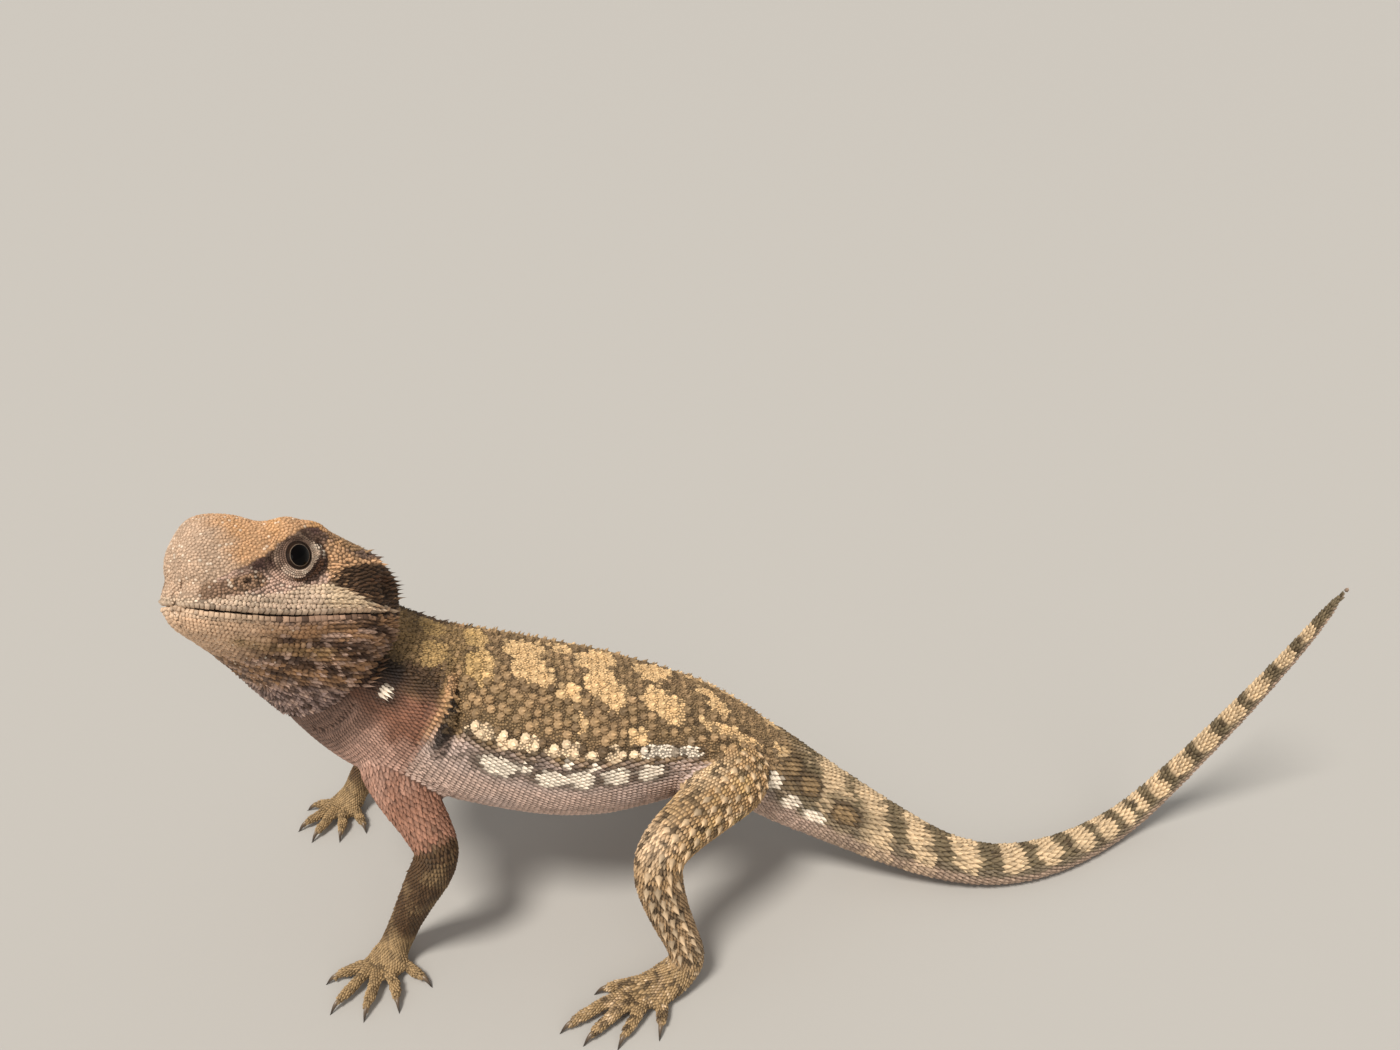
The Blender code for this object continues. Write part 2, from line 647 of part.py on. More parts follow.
def grown_copy(thing, distance, collection):
    """Copy a mesh with its surface moved outwards by a distance in millimetres."""
    mesh = thing.data.copy()
    shift = [v.normal * distance * MM for v in mesh.vertices]
    for vert, move in zip(mesh.vertices, shift):
        vert.co += move
    copy = bpy.data.objects.new(thing.name + "_grown", mesh)
    collection.objects.link(copy)
    return copy


def head_grid(rings, sides):
    """Return the head's surface as rings of points in its own frame, jaw and beard included."""
    keys = [r.x for r in HEAD]
    # More rings towards the snout, where the head closes
    steps = np.linspace(0.0, 1.0, rings)
    along = HEAD[0].x + (HEAD[-1].x - HEAD[0].x) * (1.0 - (1.0 - steps) ** 1.35)
    values = [(r.half_width, r.top, r.bottom, r.widest, r.square_top, r.square_bottom) for r in HEAD]
    read = smooth_curve(keys, values, along)
    angle = even_angles(sides)
    sine, cosine = np.sin(angle), np.cos(angle)
    grid = np.zeros((rings, sides, 3))
    for i, (x, row) in enumerate(zip(along, read)):
        half_width, top, bottom, widest, square_top, square_bottom = row
        power = 2.0 / np.where(cosine >= 0.0, square_top, square_bottom)
        across = np.sign(sine) * np.abs(sine) ** power
        upward = np.sign(cosine) * np.abs(cosine) ** power
        height = np.where(cosine >= 0.0, top - widest, widest - bottom)
        y = half_width * across
        z = widest + height * upward
        # The beard's rear edge slants forward as it goes down
        slant = 0.62 * np.clip((18.0 - x) / 21.0, 0.0, 1.0)
        grid[i] = np.stack([x + slant * np.clip(-8.0 - z, 0.0, None), y, z], -1)
    return swell_head(grid)


def swell_head(grid):
    """Raise and hollow the head's surface by its named swells."""
    along = np.gradient(grid, axis=0)
    around = np.roll(grid, -1, axis=1) - np.roll(grid, 1, axis=1)
    normal = np.cross(along, around)
    normal /= np.maximum(np.linalg.norm(normal, axis=-1, keepdims=True), 1e-9)
    centre = grid.mean(axis=1, keepdims=True)
    facing = np.sum(normal * (grid - centre), axis=-1, keepdims=True)
    normal *= np.where(facing < 0.0, -1.0, 1.0)
    folded = grid * np.array([1.0, 0.0, 1.0]) + np.abs(grid) * np.array([0.0, 1.0, 0.0])
    push = np.zeros(grid.shape[:2])
    for swell in HEAD_SWELLS:
        away = (folded - np.array(swell.centre)) / np.array(swell.reach)
        push += swell.amount * np.exp(-np.sum(away * away, axis=-1))
    return grid + normal * push[..., None]


def track_guide(track, row):
    """Return the points of a row's guide on the surface of a track, on the left side."""
    steps = np.linspace(0.0, 1.0, row.count)
    keys = np.linspace(0.0, 1.0, len(row.guide))
    at = np.interp(steps, keys, [g[0] for g in row.guide])
    angle = np.radians(np.interp(steps, keys, [g[1] for g in row.guide]))
    left = track.surface(at, angle[:, None])[:, 0]
    right = track.surface(at, -angle[:, None])[:, 0]
    back = track.frame(at)[1]
    return np.vstack([left, right]), np.vstack([back, back])


def head_guide(row):
    """Return the points of a row's guide near the head's surface, on both sides."""
    steps = np.linspace(0.0, len(row.guide) - 1.0, row.count)
    left = path_curve(row.guide, steps)
    right = left * np.array([1.0, -1.0, 1.0])
    points = from_head(np.vstack([left, right]))
    back = turn_from_head((-1.0, 0.0, 0.0))
    return points, np.tile(back, (len(points), 1))


def surface_tree(thing):
    """Make a tree for the nearest point on a mesh, in millimetres."""
    points = [v.co / MM for v in thing.data.vertices]
    return BVHTree.FromPolygons(points, [tuple(p.vertices) for p in thing.data.polygons])


def is_clear(point, radius, trees):
    """Tell whether a ball round a point keeps the gap from every other node."""
    for tree in trees:
        near, normal, _, distance = tree.find_nearest(Vector(point))
        inside = (Vector(point) - near).dot(normal) < 0.0
        if distance < radius + GAP or (inside and distance < LONGEST_SPINE):
            return False
    return True


def grow_spines(thing, rows, guides, others, chance, collection):
    """Join rows of tapered spines to a node in one step, leaving out those that reach another."""
    tree = surface_tree(thing)
    trees = [surface_tree(other) for other in others]
    spines = []
    for row, (points, backs) in zip(rows, guides):
        for i, (point, back) in enumerate(zip(points, backs)):
            root, normal, _, distance = tree.find_nearest(Vector(point))
            share = (i % row.count) / max(row.count - 1, 1)
            length = row.length * (0.85 + 0.15 * share) * chance.uniform(0.9, 1.1)
            lean = math.radians(row.lean)
            back = Vector(back)
            back = (back - normal * back.dot(normal)).normalized()
            axis = normal * math.cos(lean) + back * math.sin(lean)
            middle, tip = root + axis * length * 0.6, root + axis * length
            if distance > row.width or not is_clear(middle, row.width / 4, trees):
                continue
            if not is_clear(root, row.width / 2, trees) or not is_clear(tip, SPINE_TIP, trees):
                continue
            if tip.z < GAP + SPINE_TIP:
                continue
            spines.append(spine(root, axis, normal, length, row.width, collection))
    if spines:
        combine(thing, spines, "UNION")


def spine(root, axis, normal, length, width, collection):
    """Make one tapered spine with few sides, its root sunk well into the surface."""
    sunk = width * 0.7
    whole = length + sunk
    spread = width / 2 * whole / length
    def make(bm):
        bmesh.ops.create_cone(
            bm, cap_ends=True, segments=SPINE_SIDES, radius1=1.0, radius2=SPINE_TIP / spread, depth=1.0
        )
    centre = root + axis * (length - sunk) / 2
    return primitive("spine", make, centre, axis, (spread, spread, whole), collection)


def make_head(collection):
    """Make the head whole, then its lids, nostrils and ears, and part the lower jaw from it."""
    points, faces = loft_mesh(head_grid(HEAD_RINGS, HEAD_SIDES))
    head = mesh_object("head", from_head(points), faces, collection)
    neck_cutter = grown_copy(head, GAP, collection)
    lids, cutters, eyes = [], [], []
    for side, sign in (("left", 1.0), ("right", -1.0)):
        mirror = np.array([1.0, sign, 1.0])
        gaze = unit(np.array(GAZE)) * mirror
        centre = np.array(PUPIL) * mirror - gaze * (EYE_RADIUS - 0.1)
        axis = turn_from_head(gaze)
        world = from_head(centre)
        lid = EYE_RADIUS + GAP + LID_THICKNESS
        lids.append(ball("lid", world, axis, (lid, lid, lid), collection, 18, 12))
        hollow = EYE_RADIUS + GAP
        cutters.append(ball("socket", world, axis, (hollow, hollow, hollow), collection, 18, 12))
        cutters.append(opening("lid_opening", world, axis, turn_from_head((1.0, 0.0, 0.0)), collection))
        eyes.append(ball("eye_" + side, world, axis, (EYE_RADIUS,) * 3, collection, 16, 10))
        cutters.append(nostril_cutter(np.array(NOSTRIL) * mirror, sign, collection))
        ear = from_head(np.array(EAR) * mirror)
        outward = turn_from_head(unit(np.array((-0.25, 1.0, 0.15))) * mirror)
        cutters.append(ball("ear", ear, outward, (EAR_SIZE[2], EAR_SIZE[0], EAR_SIZE[1]), collection, 14, 8))
    combine(head, lids, "UNION")
    combine(head, cutters, "DIFFERENCE")
    jaw = part_jaw(head, collection)
    return head, jaw, eyes, neck_cutter


def opening(name, centre, axis, along, collection):
    """Make the oval cone that opens the lids in front of the eye."""
    depth = EYE_RADIUS + 3.0
    wide, high = LID_OPENING
    flare = 1.25
    axis = unit(axis)
    along = unit(along - axis * (along @ axis))
    up = np.cross(axis, along)
    sides = 20
    turn = even_angles(sides)
    ring = np.outer(np.cos(turn), along) * wide + np.outer(np.sin(turn), up) * high
    near = centre + axis * 1.0 + ring * 0.75
    far = centre + axis * depth + ring * flare
    points, faces = loft_mesh(np.stack([near, far]))
    return mesh_object(name, points, faces, collection)


def nostril_cutter(place, sign, collection):
    """Make the small oval that hollows a nostril."""
    inward = turn_from_head(unit(np.array((-0.45, -1.0 * sign, -0.25))))
    centre = from_head(place) + inward * 0.2
    return ball("nostril", centre, inward, (0.62, 0.5, 1.1), collection, 10, 8)


def part_jaw(head, collection):
    """Cut the lower jaw and beard from the head along the line of the mouth."""
    low, high = np.array((-14.0, -22.0, -40.0)), np.array((44.0, 22.0, 24.0))
    jaw = head.copy()
    jaw.data = head.data.copy()
    jaw.name = "lower_jaw"
    collection.objects.link(jaw)
    stations = np.linspace(low[0], high[0], 30)
    # The line of the mouth dips under the eye and lifts at its corner
    line = MOUTH_LEVEL - 0.5 * np.exp(-((stations - 18.0) / 7.0) ** 2) + 0.15 * np.exp(-((stations - 30.0) / 3.0) ** 2)
    for target, edge, limit in ((head, line + GAP / 2, low[2]), (jaw, line - GAP / 2, high[2])):
        rows = []
        for x, z in zip(stations, edge):
            near, far = min(z, limit), max(z, limit)
            rows.append([(x, low[1], near), (x, high[1], near), (x, high[1], far), (x, low[1], far)])
        points, faces = loft_mesh(np.array(rows))
        combine(target, [mesh_object("mouth_cut", from_head(points), faces, collection)], "DIFFERENCE")
    return jaw


def make_length(name, track, start, end, rows, sides, collection):
    """Make one length of a track as a closed solid with flat ends."""
    at = np.linspace(start, end, rows)
    points, faces = loft_mesh(track.surface(at, even_angles(sides)[None, :].repeat(rows, 0)))
    return mesh_object(name, points, faces, collection)


def gap_along(track, at):
    """Return half the gap at a place along a track, counted in rings."""
    near = track.frame([at - 0.02, at + 0.02])[0]
    return GAP / 2 / (np.linalg.norm(near[1] - near[0]) / 0.04)


def make_body(spine, neck_cutter, collection):
    """Make the neck, the two halves of the trunk and the lengths of the tail."""
    cuts = (0.0, NECK_TO_TORSO, TORSO_MIDDLE, TORSO_TO_TAIL) + TAIL_CUTS + (spine.last,)
    names = ["neck", "torso_front", "torso_rear"] + ["tail_%d" % (i + 1) for i in range(len(TAIL_CUTS) + 1)]
    rows = (11, 11, 15, 8, 8, 9, 9, 12)
    parts = {}
    for i, name in enumerate(names):
        start, end = cuts[i], cuts[i + 1]
        start += gap_along(spine, start) if i > 0 else 0.0
        end -= gap_along(spine, end) if i < len(names) - 1 else 0.0
        sides = TAIL_SIDES if name.startswith("tail") else BODY_SIDES
        parts[name] = make_length(name, spine, start, end, rows[i], sides, collection)
    combine(parts["neck"], [neck_cutter], "DIFFERENCE")
    return parts


def make_limb(names, limb, trunk, collection):
    """Make a limb's two lengths and its hand or foot, trimmed to the trunk that it grows from.

    The foot and the limb's track are returned.
    """
    start = len(limb.rings) - 1.0
    track = Track(limb.rings, (0.0, 0.0, 1.0), up_at=start)
    middle, end = limb.middle, limb.end
    at_middle, at_end = gap_along(track, middle), gap_along(track, end)
    upper = make_length(names[0], track, 0.0, middle - at_middle, 11, LIMB_SIDES, collection)
    make_length(names[1], track, middle + at_middle, end - at_end, 9, LIMB_SIDES, collection)
    palm = make_length(names[2], track, end + at_end, track.last, 8, LIMB_SIDES, collection)
    combine(upper, [trunk], "DIFFERENCE")
    digits = [make_digit(*digit, limb.digit_radius, collection) for digit in limb.digits]
    combine(palm, digits, "UNION")
    return palm, track


def make_digit(root, knuckle, tip, radius, collection):
    """Make one toe or finger with its claw, bent over at the knuckle and down to the floor."""
    root, knuckle, tip = np.array(root), np.array(knuckle), np.array(tip)
    claw = unit(tip - knuckle)
    rise = np.array((0.0, 0.0, 1.0))
    rings = (
        Ring(tuple(root - (knuckle - root) * 0.25), radius, radius, radius),
        Ring(tuple((root + knuckle) / 2 + rise * 0.2), radius * 0.95, radius * 0.95, radius * 0.95),
        Ring(tuple(knuckle - rise * 0.9), radius * 0.9, radius * 0.95, radius * 0.95),
        Ring(tuple(tip - claw * 1.2 + rise * 0.25), radius * 0.75, radius * 0.8, radius * 0.8),
        Ring(tuple(tip + claw * 0.4 + rise * 0.5), radius * 0.42, radius * 0.5, radius * 0.5),
        Ring(tuple(tip + claw * 1.9 - rise * 0.1), 0.14, 0.14, 0.14),
    )
    track = Track(rings, rise)
    return make_length("digit", track, 0.0, track.last, 6, DIGIT_SIDES, collection)


def flatten_on_floor(things, collection):
    """Cut what would pass the floor, which leaves small flats at one level."""
    for thing in things:
        floor = block("floor_cut", (-140.0, -90.0, -30.0), (160.0, 90.0, 0.0), collection)
        combine(thing, [floor], "DIFFERENCE")


def add_spines(tracks, collection):
    """Grow the rows of spines on the head, jaw, neck, trunk, tail and limbs."""
    chance = random.Random(SPINE_SEED)
    rows = list(BODY_SPINES)
    for side in ("left", "right"):
        rows += [replace(row, node="%s_%s" % (row.node, side)) for row in LIMB_SPINES]
    nodes = {thing.name: thing for thing in collection.objects}
    for name, thing in nodes.items():
        on_head = [row for row in HEAD_SPINES if row.node == name]
        on_track = [row for row in rows if row.node == name]
        guides = [head_guide(row) for row in on_head]
        guides += [track_guide(tracks[name], row) for row in on_track]
        others = [other for other in nodes.values() if other is not thing]
        if guides:
            grow_spines(thing, on_head + on_track, guides, others, chance, collection)


def build():
    """Make the whole animal and stand it on the origin."""
    for thing in list(bpy.data.objects):
        bpy.data.objects.remove(thing)
    collection = bpy.data.collections.new(NAME)
    bpy.context.scene.collection.children.link(collection)
    head, jaw, eyes, neck_cutter = make_head(collection)
    spine = Track(SPINE, (0.0, 0.0, 1.0), up_at=7.0)
    parts = make_body(spine, neck_cutter, collection)
    fore, hind = (2.0, TORSO_MIDDLE), (TORSO_MIDDLE, 13.0)
    limbs = (
        (("upper_arm_left", "forearm_left", "hand_left"), FORELIMB_LEFT, fore),
        (("upper_arm_right", "forearm_right", "hand_right"), FORELIMB_RIGHT, fore),
        (("thigh_left", "shin_left", "foot_left"), HINDLIMB_LEFT, hind),
        (("thigh_right", "shin_right", "foot_right"), HINDLIMB_RIGHT, hind),
    )
    standing = [parts["tail_2"], parts["tail_3"], parts["tail_4"]]
    tracks = {name: spine for name in parts}
    for names, limb, reach in limbs:
        at = np.linspace(reach[0], reach[1], 20)
        points, faces = loft_mesh(spine.surface(at, even_angles(BODY_SIDES)[None, :].repeat(20, 0), GAP))
        trunk = mesh_object("trunk_cutter", points, faces, collection)
        palm, track = make_limb(names, limb, trunk, collection)
        standing.append(palm)
        tracks.update({name: track for name in names})
    flatten_on_floor(standing, collection)
    add_spines(tracks, collection)
    skin = new_material("skin", DUST, 0.8)
    dark = new_material("eye", (0.02, 0.015, 0.01, 1.0), 0.1)
    for thing in collection.objects:
        thing.data.materials.clear()
        thing.data.materials.append(dark if thing.name.startswith("eye") else skin)
    stand_on_origin(collection)


def stand_on_origin(collection):
    """Parent every part to one empty that puts the middle of the footprint over the origin."""
    corners = [v.co for thing in collection.objects for v in thing.data.vertices]
    low_x, high_x = min(c.x for c in corners), max(c.x for c in corners)
    low_y, high_y = min(c.y for c in corners), max(c.y for c in corners)
    root = bpy.data.objects.new(NAME + "_root", None)
    bpy.context.scene.collection.objects.link(root)
    root.location = (-(low_x + high_x) / 2, -(low_y + high_y) / 2, 0.0)
    for thing in collection.objects:
        thing.parent = root


build()
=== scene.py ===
"""Rankin's dragon, a still model at life size: one skin under a full coat of scales.

The shape repeats the named rings of the part's source. Lengths are in millimetres in the source's
own frame until a mesh is made, where the head looks along -X, the animal's left faces -Y and the
floor is z = 0. Places on the neck, trunk, tail and limbs are given as rings from the start of a
track and an angle from the top towards the left.
"""

import json
import logging
import math
from dataclasses import dataclass, field
from enum import Enum
from typing import ClassVar

import bmesh
import bpy
import numpy as np
from bpy.types import Material, Mesh, Node, NodeSocket, NodeTree, Object
from mathutils import Matrix, Vector
from mathutils.bvhtree import BVHTree
from mathutils.kdtree import KDTree

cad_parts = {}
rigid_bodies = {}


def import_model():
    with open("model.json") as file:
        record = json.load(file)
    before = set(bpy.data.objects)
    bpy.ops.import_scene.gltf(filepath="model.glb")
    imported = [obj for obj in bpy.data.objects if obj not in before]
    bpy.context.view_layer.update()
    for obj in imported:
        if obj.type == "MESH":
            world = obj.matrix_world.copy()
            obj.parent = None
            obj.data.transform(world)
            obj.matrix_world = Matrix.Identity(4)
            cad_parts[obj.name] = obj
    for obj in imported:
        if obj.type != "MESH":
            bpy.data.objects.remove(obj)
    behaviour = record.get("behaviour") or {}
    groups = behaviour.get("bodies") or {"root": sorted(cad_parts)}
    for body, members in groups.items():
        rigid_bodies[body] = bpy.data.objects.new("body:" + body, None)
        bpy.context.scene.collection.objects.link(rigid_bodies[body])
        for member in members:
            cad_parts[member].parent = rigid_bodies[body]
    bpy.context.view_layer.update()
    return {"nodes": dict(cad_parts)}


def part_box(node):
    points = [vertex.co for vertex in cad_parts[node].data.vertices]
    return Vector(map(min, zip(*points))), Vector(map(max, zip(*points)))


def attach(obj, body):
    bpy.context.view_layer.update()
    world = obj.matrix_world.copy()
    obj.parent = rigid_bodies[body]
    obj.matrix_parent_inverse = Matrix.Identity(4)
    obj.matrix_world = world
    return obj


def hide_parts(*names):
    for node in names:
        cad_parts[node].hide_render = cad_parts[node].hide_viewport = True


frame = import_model()

LOG = logging.getLogger("rankins_dragon")
MM = 0.001
SEED = 20
BAKE_MAP = "OFBake"

# How much of the bake map a scale takes, and how uneven scales are in size.
BAKE_PATCH = 0.003
UNEVENNESS = 0.16

# How far the skin stays above the floor in millimetres, and the most triangles of one piece of the coat.
FLOOR_CLEARANCE = 0.05
MOST_TRIANGLES = 190000

# Where on the track of a limb its hand or foot gives way to the digits.
DIGITS_START = 9.6
FULL_TURN = 2.0 * math.pi

# Numbers for many places, points or scales, one row each, and a point or a colour of three numbers.
Rows = np.ndarray
Triple = tuple[float, float, float]


def unit(vectors: Rows) -> Rows:
    """Scale vectors to length one."""
    vectors = np.asarray(vectors, float)
    return vectors / np.maximum(np.linalg.norm(vectors, axis=-1, keepdims=True), 1e-12)


def bell(values: Rows, reach: float) -> Rows:
    """Return a smooth bump of height one at zero."""
    return np.exp(-((np.asarray(values, float) / reach) ** 2))


def step_up(values: Rows, low: float, high: float) -> Rows:
    """Rise smoothly from zero at low to one at high."""
    t = np.clip((np.asarray(values, float) - low) / (high - low), 0.0, 1.0)
    return t * t * (3.0 - 2.0 * t)


def mirrored_to_left(points: Rows) -> Rows:
    """Return points of the head's frame with those of its right side moved over to its left."""
    return np.concatenate([points[..., :1], np.abs(points[..., 1:2]), points[..., 2:]], axis=-1)


def net(first: Rows, second: Rows) -> tuple[Rows, Rows]:
    """Return every pair of two lists of values, as two grids."""
    return tuple(np.meshgrid(first, second, indexing="ij"))


def turns(count: int) -> Rows:
    """Return a number of even angles round a full turn."""
    return np.arange(count) * FULL_TURN / count


def smooth_curve(keys: Rows, values: Rows, at: Rows) -> Rows:
    """Read a smooth curve through the values at the keys, with no overshoot between them.

    Args:
        keys: Rising places of the values.
        values: One row of values for each key.
        at: Places to read.

    Returns:
        One row of values for each place.
    """
    keys = np.asarray(keys, float)
    values = np.asarray(values, float).reshape(len(keys), -1)
    gap = np.diff(keys)[:, None]
    slope = np.diff(values, axis=0) / gap
    tangent = np.zeros_like(values)
    before, after = slope[:-1], slope[1:]
    same_way = before * after > 0.0
    total = np.where(same_way, before + after, 1.0)
    tangent[1:-1] = np.where(same_way, 2.0 * before * after / total, 0.0)
    tangent[0], tangent[-1] = slope[0], slope[-1]
    at = np.clip(np.atleast_1d(np.asarray(at, float)), keys[0], keys[-1])
    i = np.clip(np.searchsorted(keys, at, side="right") - 1, 0, len(keys) - 2)
    h = gap[i]
    t = ((at - keys[i]) / h[:, 0])[:, None]
    t2, t3 = t * t, t * t * t
    return (
        (2 * t3 - 3 * t2 + 1) * values[i]
        + (t3 - 2 * t2 + t) * h * tangent[i]
        + (3 * t2 - 2 * t3) * values[i + 1]
        + (t3 - t2) * h * tangent[i + 1]
    )


def path_curve(points: Rows, at: Rows) -> Rows:
    """Read a rounded path through points, where at counts points from the start.

    Args:
        points: The points of the path.
        at: Places on it, counted in points from the start.

    Returns:
        The path's points at those places.
    """
    points = np.asarray(points, float)
    tangent = np.gradient(points, axis=0)
    at = np.clip(np.atleast_1d(np.asarray(at, float)), 0.0, len(points) - 1.0)
    i = np.clip(np.floor(at).astype(int), 0, len(points) - 2)
    t = (at - i)[:, None]
    t2, t3 = t * t, t * t * t
    return (
        (2 * t3 - 3 * t2 + 1) * points[i]
        + (t3 - 2 * t2 + t) * tangent[i]
        + (3 * t2 - 2 * t3) * points[i + 1]
        + (t3 - t2) * tangent[i + 1]
    )


def distance_to_path(points: Rows, path: Rows) -> tuple[Rows, Rows]:
    """Measure how far points are from a path.

    Args:
        points: The points to measure, one a row.
        path: The corners of the path, one a row.

    Returns:
        The distances, and how far along the path the nearest places are, from 0 to 1.
    """
    path = np.asarray(path, float)
    best = np.full(len(points), 1e9)
    share = np.zeros(len(points))
    count = len(path) - 1
    for i in range(count):
        leg = path[i + 1] - path[i]
        t = np.clip((points - path[i]) @ leg / max(leg @ leg, 1e-12), 0.0, 1.0)
        away = np.linalg.norm(points - path[i] - t[:, None] * leg, axis=1)
        closer = away < best
        best = np.where(closer, away, best)
        share = np.where(closer, (i + t) / count, share)
    return best, share


def soft_noise(points: Rows, size: float, seed: int) -> Rows:
    """Return smooth noise from -1 to 1 made of a few turned waves.

    Args:
        points: Places in millimetres.
        size: The width of its patches in millimetres.
        seed: Which pattern.

    Returns:
        One value for each point.
    """
    chance = np.random.default_rng(seed)
    total = np.zeros(len(points))
    waves = 9
    for _ in range(waves):
        way = unit(chance.normal(size=3)) * FULL_TURN / size * chance.uniform(0.45, 1.1)
        total += np.sin(points @ way + chance.uniform(0.0, FULL_TURN))
    return np.clip(total / math.sqrt(waves), -1.6, 1.6) / 1.6


@dataclass(frozen=True)
class HeadRing:
    """One section of the head: place along it, half width, top, bottom and how square it is."""

    x: float
    half_width: float
    top: float
    bottom: float
    widest: float
    square_top: float
    square_bottom: float


@dataclass(frozen=True)
class Ring:
    """One section of the neck, trunk, tail or a limb round its centre."""

    centre: Triple
    half_width: float
    above: float
    below: float


@dataclass(frozen=True)
class Swell:
    """A soft rise (or, below zero, a hollow) of the head's surface, the same on both sides."""

    centre: Triple
    reach: Triple
    amount: float


@dataclass(frozen=True)
class Fold:
    """A ridge (or, below zero, a crease) of the skin along a path.

    A path in the head's frame is made on both sides, and one in the model's frame only where it is.
    """

    path: tuple
    reach: float
    amount: float
    on_head: bool = True


@dataclass
class Cells:
    """The points and faces of a mesh being made."""

    points: Rows
    faces: list[tuple]

    def joined(self, other: "Cells") -> "Cells":
        """Return this mesh and another as one."""
        moved = [tuple(i + len(self.points) for i in face) for face in other.faces]
        return Cells(np.vstack([self.points, other.points]), self.faces + moved)


def all_joined(parts: list[Cells]) -> Cells:
    """Return several meshes as one.

    Args:
        parts: The meshes.

    Returns:
        One mesh with all their points and faces.
    """
    made = parts[0]
    for part in parts[1:]:
        made = made.joined(part)
    return made


def side_faces(rings: int, sides: int, first: int = 0) -> list[tuple]:
    """Return the four-cornered faces between closed rings of points, counted from the first.

    Args:
        rings: How many rings there are.
        sides: How many points each ring has.
        first: The number of the first ring's first point.

    Returns:
        The faces as numbers of points.
    """
    faces = []
    for low in range(first, first + (rings - 1) * sides, sides):
        for j in range(sides):
            k = (j + 1) % sides
            faces.append((low + j, low + k, low + sides + k, low + sides + j))
    return faces


def loft(grid: Rows) -> Cells:
    """Join a grid of rings into a closed surface, with a fan from a centre point at each end.

    Args:
        grid: The rings, each a row of points.

    Returns:
        The closed mesh.
    """
    rings, sides = grid.shape[:2]
    ends = np.stack([grid[0].mean(axis=0), grid[-1].mean(axis=0)])
    first, last = rings * sides, rings * sides + 1
    faces = side_faces(rings, sides)
    for j in range(sides):
        k = (j + 1) % sides
        faces.append((first, k, j))
        faces.append((last, (rings - 1) * sides + j, (rings - 1) * sides + k))
    return Cells(np.vstack([grid.reshape(-1, 3), ends]), faces)


